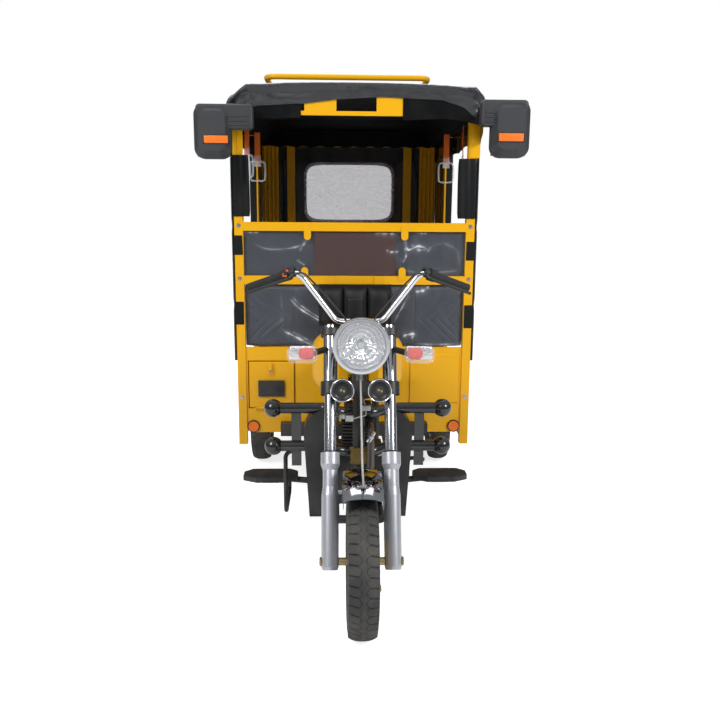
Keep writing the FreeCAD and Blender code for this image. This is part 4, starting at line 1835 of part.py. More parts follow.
# Put the vehicle together
def main():
    fork = fork_tubes()
    yokes = fork_clamps()
    chassis = frame()
    motor = engine()
    cabin = cabin_frame()
    wells = wheel_wells()
    sides = [side_panel(side, wells[0 if side > 0 else 1], cabin) for side in (1, -1)]

    write("fork_legs", *fork_legs())
    write("fork_tubes", *fork)
    write("fork_clamps", yokes)
    write("front_axle", front_axle())
    write("front_mudguard", front_mudguard())
    bar = handlebar()
    write("handlebar", bar)
    write("grips", *grips())
    controls = levers(bar)
    write("levers", *controls)
    lamp = headlight(fork, yokes)
    write("headlight", lamp)
    write("headlight_lens", headlight_lens())
    write("horns", *horns(yokes))
    write("indicators", *indicators(fork))
    dial = speedometer()
    write("speedometer", dial)
    right_cable = lever_cable(lamp, controls[0])
    write("control_cables", right_cable, mirrored(right_cable), dial_cable(dial))

    wheel_bore = FRONT_AXLE_RADIUS + BEARING_CLEARANCE
    stub_bore = REAR_STUB_RADIUS + BEARING_CLEARANCE
    rear_x = REAR_TRACK / 2
    wheels = (
        ("front_tyre", "front_rim", 0, FRONT_AXLE_Y, wheel_bore, -1),
        ("rear_tyre_left", "rear_rim_left", -rear_x, REAR_AXLE_Y, stub_bore, -1),
        ("rear_tyre_right", "rear_rim_right", rear_x, REAR_AXLE_Y, stub_bore, 1),
    )
    for tyre_name, rim_name, x, y, bore_radius, side in wheels:
        wheel = write(rim_name, rim(x, y, bore_radius, side))
        write(tyre_name, tyre(x, y).cut(wheel))

    write("frame", chassis)
    write("engine", motor)
    write("down_tube_plate", down_tube_plate(chassis))
    write("exhaust", exhaust(motor))
    write("fuel_tank", fuel_tank(chassis))
    write("driver_seat", driver_seat(chassis))
    write("driver_backrest", driver_backrest())
    bars = crash_bars(chassis, motor)
    write("crash_bars", bars)
    write("leg_shields", *leg_shields(bars))
    write("foot_controls", foot_controls(chassis))
    write("rear_axle", rear_axle())
    write("leaf_springs", *leaf_springs(chassis))
    write("propeller_shaft", propeller_shaft())

    write("cabin_frame", cabin)
    write("bulkhead_sheet", bulkhead_sheet(cabin, chassis))
    write("toolbox_door", toolbox_door())
    write("bulkhead_cushion", bulkhead_cushion())
    write("screen_panel", screen_panel())
    write("centre_panel", centre_panel())
    write("cabin_floor", cabin_floor(wells, sides, cabin))
    write("side_panel_right", sides[0])
    write("side_panel_left", sides[1])
    write("rear_panel", rear_panel(cabin, chassis))
    write("mirrors", mirror_unit(1, MIRROR_RIGHT_LEAD, BAND_INNER_RIGHT, cabin),
          mirror_unit(-1, MIRROR_LEFT_LEAD, BAND_INNER_LEFT, cabin))
    write("canopy", canopy())
    write("curtains", *curtains())
    write("rear_window", rear_window())
    write("roof_rack", roof_rack())
    write("bench_box", bench_box(sides + wells))
    write("bench_cushions", *bench_cushions())
    write("hand_straps", *hand_straps())
    write("lamps", *lamps())


main()
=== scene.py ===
"""Looks of the auto rickshaw: painted and plated metal, vinyl, clear film, lamps and treaded tyres."""
import json
import math

import bmesh
import bpy
import numpy as np
from mathutils import Matrix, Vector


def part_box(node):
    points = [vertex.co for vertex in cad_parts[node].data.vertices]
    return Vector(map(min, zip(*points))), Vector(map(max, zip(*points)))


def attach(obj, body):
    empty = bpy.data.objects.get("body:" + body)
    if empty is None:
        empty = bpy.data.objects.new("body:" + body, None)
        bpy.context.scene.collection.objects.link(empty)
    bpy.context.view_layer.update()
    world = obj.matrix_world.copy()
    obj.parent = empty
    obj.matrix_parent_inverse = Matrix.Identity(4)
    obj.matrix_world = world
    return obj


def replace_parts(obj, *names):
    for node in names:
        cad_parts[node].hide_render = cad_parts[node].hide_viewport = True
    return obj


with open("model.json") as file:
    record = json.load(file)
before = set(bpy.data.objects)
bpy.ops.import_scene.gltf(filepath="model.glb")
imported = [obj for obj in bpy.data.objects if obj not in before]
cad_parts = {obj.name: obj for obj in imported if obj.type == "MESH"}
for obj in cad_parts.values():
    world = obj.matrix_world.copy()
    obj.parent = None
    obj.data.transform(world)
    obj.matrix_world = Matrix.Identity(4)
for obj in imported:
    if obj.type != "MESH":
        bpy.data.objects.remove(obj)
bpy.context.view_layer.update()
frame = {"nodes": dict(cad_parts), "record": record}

# The camera, as fitted to the photograph: metres, degrees, and millimetres for its lens and sensor
CAMERA_PLACE = (-0.098, -3.736, 1.481)
CAMERA_YAW = -1.98
CAMERA_PITCH = 10.87
CAMERA_ROLL = 0.39
CAMERA_LENS = 38.26
CAMERA_SENSOR = 36.0

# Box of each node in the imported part, and the body that it rides on
BOXES = {name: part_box(name) for name in frame["nodes"]}
NODE_BODY = {node: body for body, nodes in frame["record"]["behaviour"]["bodies"].items() for node in nodes}

# Both sides: the sign of X, and the word in the names of their pieces
HANDS = ((1, "right"), (-1, "left"))

# Directions: one that no long piece runs along, to square others from, and three of the vehicle's own
OFF_AXIS = np.array([0.31, 0.12, 0.94])
FORWARDS, REARWARDS, UPWARDS = (0, -1, 0), (0, 1, 0), np.array([0.0, 0.0, 1.0])


def low(node):
    return np.array(BOXES[node][0])


def high(node):
    return np.array(BOXES[node][1])


def middle(node):
    return (low(node) + high(node)) / 2


# Shapes: every shape is a pair (points, faces), faces a list of index rows

def grid(points, wrap_u=False, wrap_v=False):
    """Quads over an array of points of shape (u, v, 3); a wrapped side joins last to first."""
    rows, columns = points.shape[:2]
    index = np.arange(rows * columns).reshape(rows, columns)
    if wrap_u:
        index = np.vstack([index, index[:1]])
    if wrap_v:
        index = np.hstack([index, index[:, :1]])
    a, b = index[:-1, :-1], index[1:, :-1]
    c, d = index[1:, 1:], index[:-1, 1:]
    quads = np.stack([a, b, c, d], axis=-1).reshape(-1, 4)
    return points.reshape(-1, 3), quads.tolist()


def combined(*shapes):
    """Several shapes as one, with the later faces' indices moved up."""
    points = np.concatenate([shape[0] for shape in shapes])
    faces = []
    start = 0
    for shape in shapes:
        faces += [[start + corner for corner in face] for face in shape[1]]
        start += len(shape[0])
    return points, faces


def circle(count):
    """Angles once round, the last one short of the first."""
    return np.linspace(0, 2 * np.pi, count, endpoint=False)


def lattice(first, second):
    """Two arrays over every pair of two runs, each given as start, end and count."""
    return np.meshgrid(np.linspace(*first), np.linspace(*second), indexing="ij")


def squarish(angle, power):
    """Points round a square of half side 1; the higher the power, the sharper its corners."""
    cosine, sine = np.cos(angle), np.sin(angle)
    scale = (np.abs(cosine) ** power + np.abs(sine) ** power) ** (-1 / power)
    return cosine * scale, sine * scale


def capped(points):
    """Rings of points as a tube whose ends are closed to their middles."""
    ends = [np.repeat(points[row].mean(0)[None], points.shape[1], axis=0)[None] for row in (0, -1)]
    return grid(np.concatenate([ends[0], points, ends[1]]), wrap_v=True)


def lathe(profile, centre, sides):
    """Profile of (along, radius) rows turned about a line through centre along Y."""
    along, radius = np.array(profile, float).T[:, :, None]
    angle = circle(sides)
    points = np.stack([radius * np.cos(angle), along + 0 * angle, radius * np.sin(angle)], axis=-1)
    return grid(points + np.array(centre), wrap_v=True)


def turned(profile, start, way, sides):
    """Profile of (along, radius) rows turned about the line from start along way."""
    way = np.array(way, float) / np.linalg.norm(way)
    first = np.cross(way, OFF_AXIS)
    first /= np.linalg.norm(first)
    second = np.cross(way, first)
    angle = circle(sides)[:, None]
    ring = np.cos(angle) * first + np.sin(angle) * second
    profile = np.array(profile, float)
    points = np.array(start, float) + profile[:, :1, None] * way + profile[:, 1:, None] * ring
    return grid(points, wrap_v=True)


def side_ways(path):
    """Two directions square to a path and to each other, at each of its points."""
    tangent = np.gradient(path, axis=0)
    tangent /= np.linalg.norm(tangent, axis=1)[:, None]
    steady = OFF_AXIS if abs(tangent[:, 2]).mean() < 0.8 else np.array([0.95, 0.31, 0.0])
    side = np.cross(tangent, steady)
    side /= np.linalg.norm(side, axis=1)[:, None]
    return side, np.cross(tangent, side)


def tube(path, radius, sides):
    """Round bar along a path, with closed ends; one radius, or one for each point."""
    path = np.array(path, float)
    radius = np.broadcast_to(np.array(radius, float), len(path))
    side, up = side_ways(path)
    angle = circle(sides)[None, :, None]
    ring = side[:, None, :] * np.cos(angle) + up[:, None, :] * np.sin(angle)
    return capped(path[:, None, :] + ring * radius[:, None, None])


def smooth_path(points, count=48):
    """Points on a Catmull-Rom curve through given points."""
    points = np.array(points, float)
    padded = np.vstack([2 * points[0] - points[1], points, 2 * points[-1] - points[-2]])
    step = np.linspace(0, len(points) - 1, count)
    span = np.minimum(step.astype(int), len(points) - 2)
    t = (step - span)[:, None]
    p0, p1, p2, p3 = (padded[span + offset] for offset in range(4))
    return 0.5 * (2 * p1 + (p2 - p0) * t + (2 * p0 - 5 * p1 + 4 * p2 - p3) * t ** 2
                  + (3 * p1 - p0 - 3 * p2 + p3) * t ** 3)


def rounded_block(half, radius, centre=(0, 0, 0), steps=6):
    """Block with rounded edges: a cube's grid pulled in by the radius and pushed out along a ball."""
    half = np.array(half, float)
    radius = min(radius, half.min() * 0.999)
    edge = np.tan(np.linspace(-np.pi / 4, np.pi / 4, 2 * steps))
    shapes = []
    for axis in range(3):
        for sign in (-1.0, 1.0):
            u, v = np.meshgrid(edge, edge, indexing="ij")
            ball = np.zeros(u.shape + (3,))
            first, second = [(axis + offset) % 3 for offset in (1, 2)]
            ball[..., axis] = sign
            ball[..., first] = u * sign
            ball[..., second] = v
            corner = np.sign(ball)
            corner[..., axis] = sign
            ball /= np.linalg.norm(ball, axis=-1)[..., None]
            shapes.append(grid(corner * (half - radius) + ball * radius + np.array(centre)))
    return combined(*shapes)


def build(name, shape, body, material, slot=None, replaces=(), smooth=40.0, merge=0.00002):
    """Mesh object from a shape, merged, turned outwards, shaded and riding on a body."""
    points, faces = shape
    mesh = bpy.data.meshes.new(name)
    mesh.from_pydata(np.asarray(points).tolist(), [], faces)
    work = bmesh.new()
    work.from_mesh(mesh)
    bmesh.ops.remove_doubles(work, verts=work.verts, dist=merge)
    bmesh.ops.dissolve_degenerate(work, edges=work.edges, dist=merge / 2)
    bmesh.ops.recalc_face_normals(work, faces=work.faces)
    work.to_mesh(mesh)
    work.free()
    mesh.shade_smooth()
    mesh.set_sharp_from_angle(angle=math.radians(smooth))
    piece = bpy.data.objects.new(name, mesh)
    bpy.context.scene.collection.objects.link(piece)
    mesh.materials.append(material)
    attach(piece, body)
    if replaces:
        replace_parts(piece, *replaces)
    return piece


def vinyl_piece(name, shape, material, replaces=(), **others):
    """Piece of the cabin's black vinyl, smooth over its folds."""
    return build(name, shape, "chassis", material, "black_vinyl", replaces, 60.0, **others)


def mark(piece, label, values):
    """Attribute with one value a point, for a material to read."""
    attribute = piece.data.attributes.new(label, "FLOAT", "POINT")
    attribute.data.foreach_set("value", values.astype(np.float32).ravel())


def thicken(piece, thickness, offset=-1.0):
    solidify = piece.modifiers.new("wall", "SOLIDIFY")
    solidify.thickness = thickness
    solidify.offset = offset
    return piece


def subdivide(piece, levels=1):
    modifier = piece.modifiers.new("subdivision", "SUBSURF")
    modifier.levels = levels
    modifier.render_levels = levels
    return piece


def ridge(distance, width):
    """Soft ridge or groove profile: a bell curve of the distance."""
    return np.exp(-(distance / width) ** 2)


def crumple(a, b, scale):
    """Crinkled height from 0 to 1: three families of bent creases, sharp at their valleys."""
    height = 0.0
    for way, count, share in ((0.3, 1.0, 0.5), (1.25, 1.7, 0.3), (2.2, 2.9, 0.2)):
        run = scale * count * (a * math.cos(way) + b * math.sin(way))
        height = height + share * np.abs(np.sin(run + 2.2 * np.sin(scale * 0.31 * (b - a) + way) + way * 7.0))
    return height


def fold_field(x, z, folds):
    """Strength of the listed folds: a bright core and a soft halo along each smooth run, fading at its ends."""
    total = np.zeros_like(x)
    for strength, width, places in folds:
        run = smooth_path(places, 9 * len(places))
        nearest, along = np.full_like(x, 1.0), np.zeros_like(x)
        for number, ((x0, z0), (x1, z1)) in enumerate(zip(run[:-1], run[1:])):
            dx, dz = x1 - x0, z1 - z0
            share = np.clip(((x - x0) * dx + (z - z0) * dz) / (dx * dx + dz * dz), 0, 1)
            away = np.hypot(x - x0 - share * dx, z - z0 - share * dz)
            along = np.where(away < nearest, (number + share) / (len(run) - 1), along)
            nearest = np.minimum(nearest, away)
        swell = 0.55 + 0.45 * np.sin(along * 17.0 + strength * 40.0)
        fade = np.sin(np.pi * np.clip(along, 0.0, 1.0)) ** 0.5
        core = ridge(nearest, width * (0.5 + 0.6 * swell * fade)) + 0.30 * ridge(nearest, 3.5 * width)
        total = np.maximum(total, strength * fade * (0.45 + 0.55 * swell) * core)
    return np.minimum(total, 1.0)


# Shader helpers

def shader_group(name, inputs, outputs):
    """Empty node group with named float or colour sockets."""
    tree = bpy.data.node_groups.new(name, "ShaderNodeTree")
    for label, kind in inputs:
        tree.interface.new_socket(label, in_out="INPUT", socket_type=kind)
    for label, kind in outputs:
        tree.interface.new_socket(label, in_out="OUTPUT", socket_type=kind)
    return tree, tree.nodes.new("NodeGroupInput"), tree.nodes.new("NodeGroupOutput")


def connect(tree, node, links):
    """Fill a node's sockets from (socket, value) pairs: a link for a socket's value, else a constant."""
    for socket, value in links:
        if isinstance(value, bpy.types.NodeSocket):
            tree.links.new(value, node.inputs[socket])
        else:
            node.inputs[socket].default_value = value
    return node


def add(tree, kind, links=(), **settings):
    """New node with its settings and its filled sockets."""
    node = tree.nodes.new(kind)
    for label, value in settings.items():
        setattr(node, label, value)
    return connect(tree, node, links)


def calculate(tree, operation, *values):
    """Maths node that gives its one value."""
    return add(tree, "ShaderNodeMath", enumerate(values), operation=operation).outputs[0]


def times(tree, first, second):
    return calculate(tree, "MULTIPLY", first, second)


def plus(tree, first, second):
    return calculate(tree, "ADD", first, second)


def blend_colour(tree, share, first, second):
    return add(tree, "ShaderNodeMix", [(0, share), (6, first), (7, second)], data_type="RGBA").outputs[2]


def shade(colour, share=1.0, lift=0.0):
    """Colour times share plus lift, no part over 1, with full alpha."""
    return tuple(min(1.0, part * share + lift) for part in colour) + (1.0,)


def object_place(tree):
    return add(tree, "ShaderNodeTexCoord").outputs["Object"]


def coordinate(tree, place, axis):
    """X, Y or Z of a place."""
    return add(tree, "ShaderNodeSeparateXYZ", [(0, place)]).outputs[axis]


def noise(tree, place, scale, detail=2.0, **others):
    """Noise texture's value; others are its further sockets in small letters."""
    links = [("Vector", place), ("Scale", scale), ("Detail", detail)]
    links += [(label.capitalize(), value) for label, value in others.items()]
    return add(tree, "ShaderNodeTexNoise", links).outputs["Fac"]


def spread(tree, value, start, end, to_start=0.0, to_end=1.0):
    """Value brought from the span start to end onto the span to_start to to_end, and held there."""
    return add(tree, "ShaderNodeMapRange", [("Value", value), ("From Min", start), ("From Max", end),
                                            ("To Min", to_start), ("To Max", to_end)]).outputs[0]


def make_settled_dust():
    """Group: paler, rougher film that gathers low down and in soft patches."""
    tree, given, result = shader_group(
        "settled_dust",
        [("Colour", "NodeSocketColor"), ("Amount", "NodeSocketFloat"), ("Roughness", "NodeSocketFloat")],
        [("Colour", "NodeSocketColor"), ("Roughness", "NodeSocketFloat")])
    place = object_place(tree)
    patches = spread(tree, noise(tree, place, 5.5, 6.0, roughness=0.62), 0.42, 0.75)
    lowness = spread(tree, coordinate(tree, place, "Z"), 1.1, 0.1, 0.25, 1.0)
    mask = times(tree, times(tree, patches, lowness), given.outputs["Amount"])
    colour = blend_colour(tree, mask, given.outputs["Colour"], shade((0.33, 0.30, 0.26)))
    rough = plus(tree, given.outputs["Roughness"], times(tree, mask, 0.4))
    connect(tree, result, [("Colour", colour), ("Roughness", rough)])
    return tree


def make_fine_grain():
    """Group: height of a fine irregular grain, for castings, moulded plastic and paint."""
    tree, given, result = shader_group(
        "fine_grain", [("Scale", "NodeSocketFloat"), ("Coarse", "NodeSocketFloat")], [("Height", "NodeSocketFloat")])
    place = object_place(tree)
    fine = noise(tree, place, given.outputs["Scale"], 4.0)
    swell = times(tree, noise(tree, place, 7.0), given.outputs["Coarse"])
    connect(tree, result, [("Height", plus(tree, fine, swell))])
    return tree


def make_hide_grain():
    """Group: height and crease mask of pressed vinyl, small cells with soft pulls across them."""
    tree, given, result = shader_group(
        "hide_grain", [("Cells", "NodeSocketFloat"), ("Pulls", "NodeSocketFloat")],
        [("Height", "NodeSocketFloat"), ("Creases", "NodeSocketFloat")])
    place = object_place(tree)
    cells = add(tree, "ShaderNodeTexVoronoi", [("Vector", place), ("Scale", given.outputs["Cells"])],
                feature="DISTANCE_TO_EDGE").outputs["Distance"]
    cell_height = calculate(tree, "MINIMUM", times(tree, cells, 3.0), 0.6)
    stretched = add(tree, "ShaderNodeMapping", [("Vector", place), ("Scale", (5.0, 5.0, 2.2))]).outputs[0]
    pulls = noise(tree, stretched, 1.6, 3.0, distortion=1.4)
    crease = calculate(tree, "POWER", calculate(tree, "ABSOLUTE", calculate(tree, "SUBTRACT", pulls, 0.5)), 0.6)
    height = plus(tree, cell_height, times(tree, crease, given.outputs["Pulls"]))
    connect(tree, result, [("Height", height), ("Creases", crease)])
    return tree


DUST = make_settled_dust()
GRAIN = make_fine_grain()
HIDE = make_hide_grain()


# Materials

def blank(name):
    """New material: its tree and its Principled shader."""
    material = bpy.data.materials.new(name)
    material.use_nodes = True
    tree = material.node_tree
    return material, tree, tree.nodes["Principled BSDF"]


def use_group(tree, group, links):
    """Outputs of a shared group whose sockets are filled."""
    return add(tree, "ShaderNodeGroup", links, node_tree=group).outputs


def put_bump(tree, shader, height, strength, distance):
    """Relief from a height, as deep as distance in metres."""
    bump = add(tree, "ShaderNodeBump", [("Strength", strength), ("Distance", distance), ("Height", height)])
    connect(tree, shader, [("Normal", bump.outputs["Normal"])])


def put_dust(tree, shader, colour, amount, roughness):
    """Colour and roughness under settled dust."""
    dust = use_group(tree, DUST, [("Colour", colour), ("Amount", amount), ("Roughness", roughness)])
    connect(tree, shader, [("Base Color", dust["Colour"]), ("Roughness", dust["Roughness"])])


def put_gloss(tree, shader, coat, coat_roughness, shine):
    """Clear coat over a finish, and the finish's own shine."""
    connect(tree, shader, [("Coat Weight", coat), ("Coat Roughness", coat_roughness), ("Specular IOR Level", shine)])


def hard(name, colour, roughness, metallic=0.0, grain=900.0, relief=0.0002, coarse=0.0, dust=0.15, coat=0.0,
         tone=0.08, bump=0.25, shine=0.5):
    """Painted, plated, cast or moulded finish: slow change of tone, fine grain and settled dust."""
    material, tree, shader = blank(name)
    cloud = noise(tree, object_place(tree), 3.0, 3.0)
    base = blend_colour(tree, cloud, shade(colour), shade(colour, 1.0 - 2.0 * tone))
    put_dust(tree, shader, base, dust, roughness)
    put_bump(tree, shader, use_group(tree, GRAIN, [("Scale", grain), ("Coarse", coarse)])["Height"], bump, relief)
    put_gloss(tree, shader, coat, 0.06, shine)
    connect(tree, shader, [("Metallic", metallic)])
    return material


def vinyl(name, colour, roughness, cells=520.0, pulls=0.8, relief=0.0006, coat=0.0, bump=0.5, shine=0.5):
    """Pressed vinyl: leather-like cells and soft pulls, paler where it creases."""
    material, tree, shader = blank(name)
    hide = use_group(tree, HIDE, [("Cells", cells), ("Pulls", pulls)])
    base = blend_colour(tree, hide["Creases"], shade(colour), shade(colour, 1.7, 0.004))
    put_dust(tree, shader, base, 0.10, roughness)
    put_bump(tree, shader, hide["Height"], bump, relief)
    put_gloss(tree, shader, coat, 0.12, shine)
    return material


YELLOW = hard("yellow_enamel", (0.90, 0.45, 0.0015), 0.36, grain=650.0, relief=0.0001, coat=0.12, tone=0.04, dust=0.05,
              bump=0.12, shine=0.28)
BLACK_GLOSS = hard("black_enamel", (0.010, 0.010, 0.011), 0.20, grain=700.0, relief=0.0001, coat=0.6, dust=0.12,
                   bump=0.12)
BLACK_SATIN = hard("black_satin_paint", (0.018, 0.018, 0.019), 0.42, grain=800.0, dust=0.25)
ENGINE_BLACK = hard("black_casting", (0.030, 0.030, 0.031), 0.55, metallic=0.3, grain=380.0, relief=0.0006,
                    coarse=0.6, dust=0.3, bump=0.5)
STEEL_DARK = hard("heated_steel", (0.16, 0.145, 0.13), 0.42, metallic=0.9, grain=240.0, relief=0.0003, tone=0.2,
                  dust=0.35)
PLASTIC_DARK = hard("moulded_grey_plastic", (0.035, 0.037, 0.042), 0.46, grain=1400.0, relief=0.0003, bump=0.6,
                    dust=0.15)
PLASTIC_BLACK = hard("moulded_black_plastic", (0.012, 0.012, 0.013), 0.38, grain=1300.0, relief=0.0002, bump=0.45)
CAST_SILVER = hard("silver_fork_paint", (0.53, 0.54, 0.58), 0.36, metallic=0.55, grain=900.0, relief=0.0002,
                   coat=0.3, tone=0.05)
CHROME = hard("bright_plating", (0.78, 0.79, 0.82), 0.07, metallic=1.0, grain=60.0, relief=0.0001, tone=0.03,
              dust=0.10, bump=0.05)
# Darker copies of the bright plating, for the fork tubes and the mudguard: their lower colour is painted shade.
SHADED_FORK_PLATING = hard("shaded_fork_plating", (0.50, 0.51, 0.54), 0.08, metallic=1.0, grain=60.0, relief=0.0001, tone=0.04,
                    dust=0.12, bump=0.05)
SHADED_GUARD_PLATING = hard("shaded_mudguard_plating", (0.26, 0.265, 0.28), 0.06, metallic=1.0, grain=40.0, relief=0.0002,
                     tone=0.05, dust=0.10, bump=0.08)
MIRROR_GLASS = hard("looking_glass", (0.86, 0.88, 0.90), 0.02, metallic=1.0, grain=30.0, relief=0.00001, tone=0.01,
                    dust=0.05, bump=0.02)
REFLECTOR_BOWL = hard("reflector_bowl", (0.90, 0.90, 0.92), 0.08, metallic=1.0, grain=150.0, relief=0.0030, tone=0.04,
                      dust=0.0, bump=0.8)
ZINC = hard("yellow_passivated_zinc", (0.62, 0.47, 0.24), 0.30, metallic=0.95, grain=300.0, tone=0.18, bump=0.3)
STEEL_BRIGHT = hard("zinc_plated_steel", (0.56, 0.56, 0.57), 0.32, metallic=0.95, grain=500.0, tone=0.08)
BRASS = hard("brass_plate", (0.60, 0.42, 0.16), 0.30, metallic=0.95, grain=300.0, tone=0.12, bump=0.3)
RIM_GREY = hard("rim_paint", (0.42, 0.43, 0.45), 0.38, metallic=0.5, grain=700.0, dust=0.35)
RUBBER_GRIP = hard("grip_rubber", (0.014, 0.014, 0.015), 0.66, grain=1100.0, relief=0.0005, bump=0.7)
BROWN_BOARD = hard("brown_board", (0.072, 0.034, 0.028), 0.40, grain=700.0, relief=0.0002, coat=0.10, tone=0.10,
                   shine=0.3)
PLUG_GREY = hard("plug_grey", (0.46, 0.47, 0.46), 0.45, grain=900.0, relief=0.0002, tone=0.06)
ORANGE_WEB = hard("orange_webbing", (0.90, 0.160, 0.010), 0.72, grain=2200.0, relief=0.0008, bump=0.8, dust=0.0)
VINYL_CANOPY = vinyl("canopy_vinyl", (0.0055, 0.0070, 0.010), 0.24, cells=900.0, pulls=0.7, relief=0.0007, coat=0.75)
WRAP_BLACK = hard("wrap_vinyl", (0.0040, 0.0045, 0.0055), 0.50, grain=700.0, relief=0.0004, coarse=0.3, bump=0.5,
                  dust=0.05, shine=0.25)
VINYL_SEAT = vinyl("saddle_vinyl", (0.008, 0.008, 0.009), 0.42, cells=620.0, pulls=0.25, relief=0.0005, shine=0.3)
VINYL_BENCH = vinyl("bench_vinyl", (0.030, 0.022, 0.020), 0.46, cells=560.0, pulls=0.35)
VINYL_PANEL = vinyl("bulkhead_vinyl", (0.030, 0.035, 0.047), 0.42, cells=700.0, pulls=0.25, relief=0.0004, coat=0.1)
VINYL_LINING = vinyl("lining_vinyl", (0.003, 0.0033, 0.004), 0.75, cells=900.0, pulls=0.2, relief=0.0004, shine=0.1)


def checker_plate():
    """Floor plate with raised lozenges set crosswise in turn."""
    pitch, length_pull, width_pull = 25.0, 8.0, 2.6
    material, tree, shader = blank("lozenge_floor_plate")
    place = object_place(tree)

    def from_centre(value):
        """Distance from the middle of the repeated cell, 0 to 0.5."""
        cell = calculate(tree, "FRACT", times(tree, value, pitch))
        return calculate(tree, "ABSOLUTE", calculate(tree, "SUBTRACT", cell, 0.5))

    masks = []
    for turn, shift in ((45.0, 0.0), (-45.0, 0.014)):
        mapped = add(tree, "ShaderNodeMapping", [("Vector", place), ("Location", (shift, 0.0, 0.0)),
                                                 ("Rotation", (0.0, 0.0, math.radians(turn)))]).outputs[0]
        across = times(tree, from_centre(coordinate(tree, mapped, "X")), length_pull)
        along = times(tree, from_centre(coordinate(tree, mapped, "Y")), width_pull)
        masks.append(spread(tree, plus(tree, across, along), 1.0, 0.5))
    height = calculate(tree, "MAXIMUM", *masks)
    put_dust(tree, shader, blend_colour(tree, height, shade((0.20, 0.20, 0.205)), shade((0.34, 0.34, 0.35))), 0.6, 0.34)
    put_bump(tree, shader, height, 0.8, 0.0015)
    connect(tree, shader, [("Metallic", 0.85)])
    return material


def clear_lens(name, colour, alpha, flutes=0.0):
    """Clear moulded plastic or glass, seen through by its alpha, with fine upright flutes where asked."""
    flutes_per_metre = 110.0
    material, tree, shader = blank(name)
    place = object_place(tree)
    cloud = noise(tree, place, 14.0)
    base = blend_colour(tree, cloud, shade(colour), shade(colour, 0.9))
    wave = calculate(tree, "SINE", times(tree, coordinate(tree, place, "X"), 2.0 * math.pi * flutes_per_metre))
    put_bump(tree, shader, plus(tree, times(tree, wave, flutes), times(tree, cloud, 0.4)), 0.35, 0.002)
    put_gloss(tree, shader, 1.0, 0.03, 1.0)
    connect(tree, shader, [("Base Color", base), ("Alpha", alpha), ("Roughness", 0.05)])
    return material


def clear_film(name, colour, alpha, shine):
    """Clear plastic film: mostly seen through, with painted highlights: whiter and less clear along the ridges of its
    folds.
    """
    material, tree, shader = blank(name)
    stretched = add(tree, "ShaderNodeMapping", [("Vector", object_place(tree)), ("Scale", (3.2, 3.2, 6.0)),
                                                ("Rotation", (0.0, math.radians(28.0), 0.0))]).outputs[0]
    folds = noise(tree, stretched, 1.7, 4.0, distortion=2.2)
    # Painted highlight: the ridges of the folds turn whiter and less clear.
    painted_highlight = spread(tree, folds, 0.52, 0.72)
    base = blend_colour(tree, painted_highlight, shade(colour), shade((0.86, 0.86, 0.90)))
    put_bump(tree, shader, folds, 0.6, 0.012)
    put_gloss(tree, shader, 1.0, 0.04, 1.0)
    connect(tree, shader, [("Base Color", base), ("Roughness", 0.10),
                           ("Alpha", plus(tree, times(tree, painted_highlight, shine), alpha))])
    return material


def creased_film():
    """Clear film with painted highlights: its listed folds, kept in the attribute fold, are painted near white, and
    fine streaks are painted as glints.
    """
    material, tree, shader = blank("panel_film")
    fold = add(tree, "ShaderNodeAttribute", attribute_name="fold").outputs["Fac"]
    streaks = noise(tree, object_place(tree), 26.0, 5.0, distortion=1.6)
    # Painted glints: fine streaks where the film is a little less clear.
    thin = times(tree, spread(tree, streaks, 0.60, 0.82), 0.10)
    # Painted highlights: the folds turn near white and less clear.
    white = times(tree, fold, spread(tree, streaks, 0.30, 0.55, 0.35, 1.0))
    seen = plus(tree, thin, plus(tree, white, 0.035))
    base = blend_colour(tree, fold, shade((0.50, 0.54, 0.62)), shade((0.96, 0.96, 0.98)))
    put_bump(tree, shader, streaks, 0.5, 0.004)
    connect(tree, shader, [("Base Color", base), ("Alpha", calculate(tree, "MINIMUM", seen, 0.95)),
                           ("Roughness", 0.12), ("Specular IOR Level", 0.8)])
    return material


def cable_sleeve():
    """Black cable sleeve; the thin one in the middle, below the lamp, is off-white."""
    middle_reach, lamp_foot = 0.030, 0.93
    material, tree, shader = blank("cable_sleeve")
    place = object_place(tree)
    from_middle = calculate(tree, "ABSOLUTE", coordinate(tree, place, "X"))
    pale = times(tree, calculate(tree, "LESS_THAN", from_middle, middle_reach),
                 calculate(tree, "LESS_THAN", coordinate(tree, place, "Z"), lamp_foot))
    base = blend_colour(tree, pale, shade((0.012, 0.012, 0.013)), shade((0.46, 0.45, 0.41)))
    put_dust(tree, shader, base, 0.1, 0.40)
    put_bump(tree, shader, noise(tree, place, 400.0), 0.3, 0.0002)
    return material


def signal_plastic(name, colour):
    """Moulded signal or reflector plastic with small cells under a gloss face."""
    material, tree, shader = blank(name)
    cells = add(tree, "ShaderNodeTexVoronoi", [("Vector", object_place(tree)), ("Scale", 260.0)]).outputs["Distance"]
    tint = blend_colour(tree, cells, shade(colour), shade(colour, 1.6, 0.02))
    put_bump(tree, shader, cells, 0.8, 0.0012)
    connect(tree, shader, [("Base Color", tint), ("Roughness", 0.34), ("Coat Weight", 0.25),
                           ("Specular IOR Level", 0.3)])
    return material


def tyre_rubber():
    """Tyre compound, dusty, with painted shade: darker in the cuts that the attribute cut marks."""
    material, tree, shader = blank("tyre_rubber")
    cut = add(tree, "ShaderNodeAttribute", attribute_name="cut").outputs["Fac"]
    cloud = noise(tree, object_place(tree), 12.0, 5.0)
    tops = blend_colour(tree, cloud, shade((0.026, 0.026, 0.025)), shade((0.042, 0.042, 0.040)))
    # Painted shade: the cuts are darkened.
    put_dust(tree, shader, blend_colour(tree, cut, tops, shade((0.006, 0.006, 0.006))), 0.35, 0.72)
    put_bump(tree, shader, use_group(tree, GRAIN, [("Scale", 500.0), ("Coarse", 0.5)])["Height"], 0.5, 0.0006)
    return material


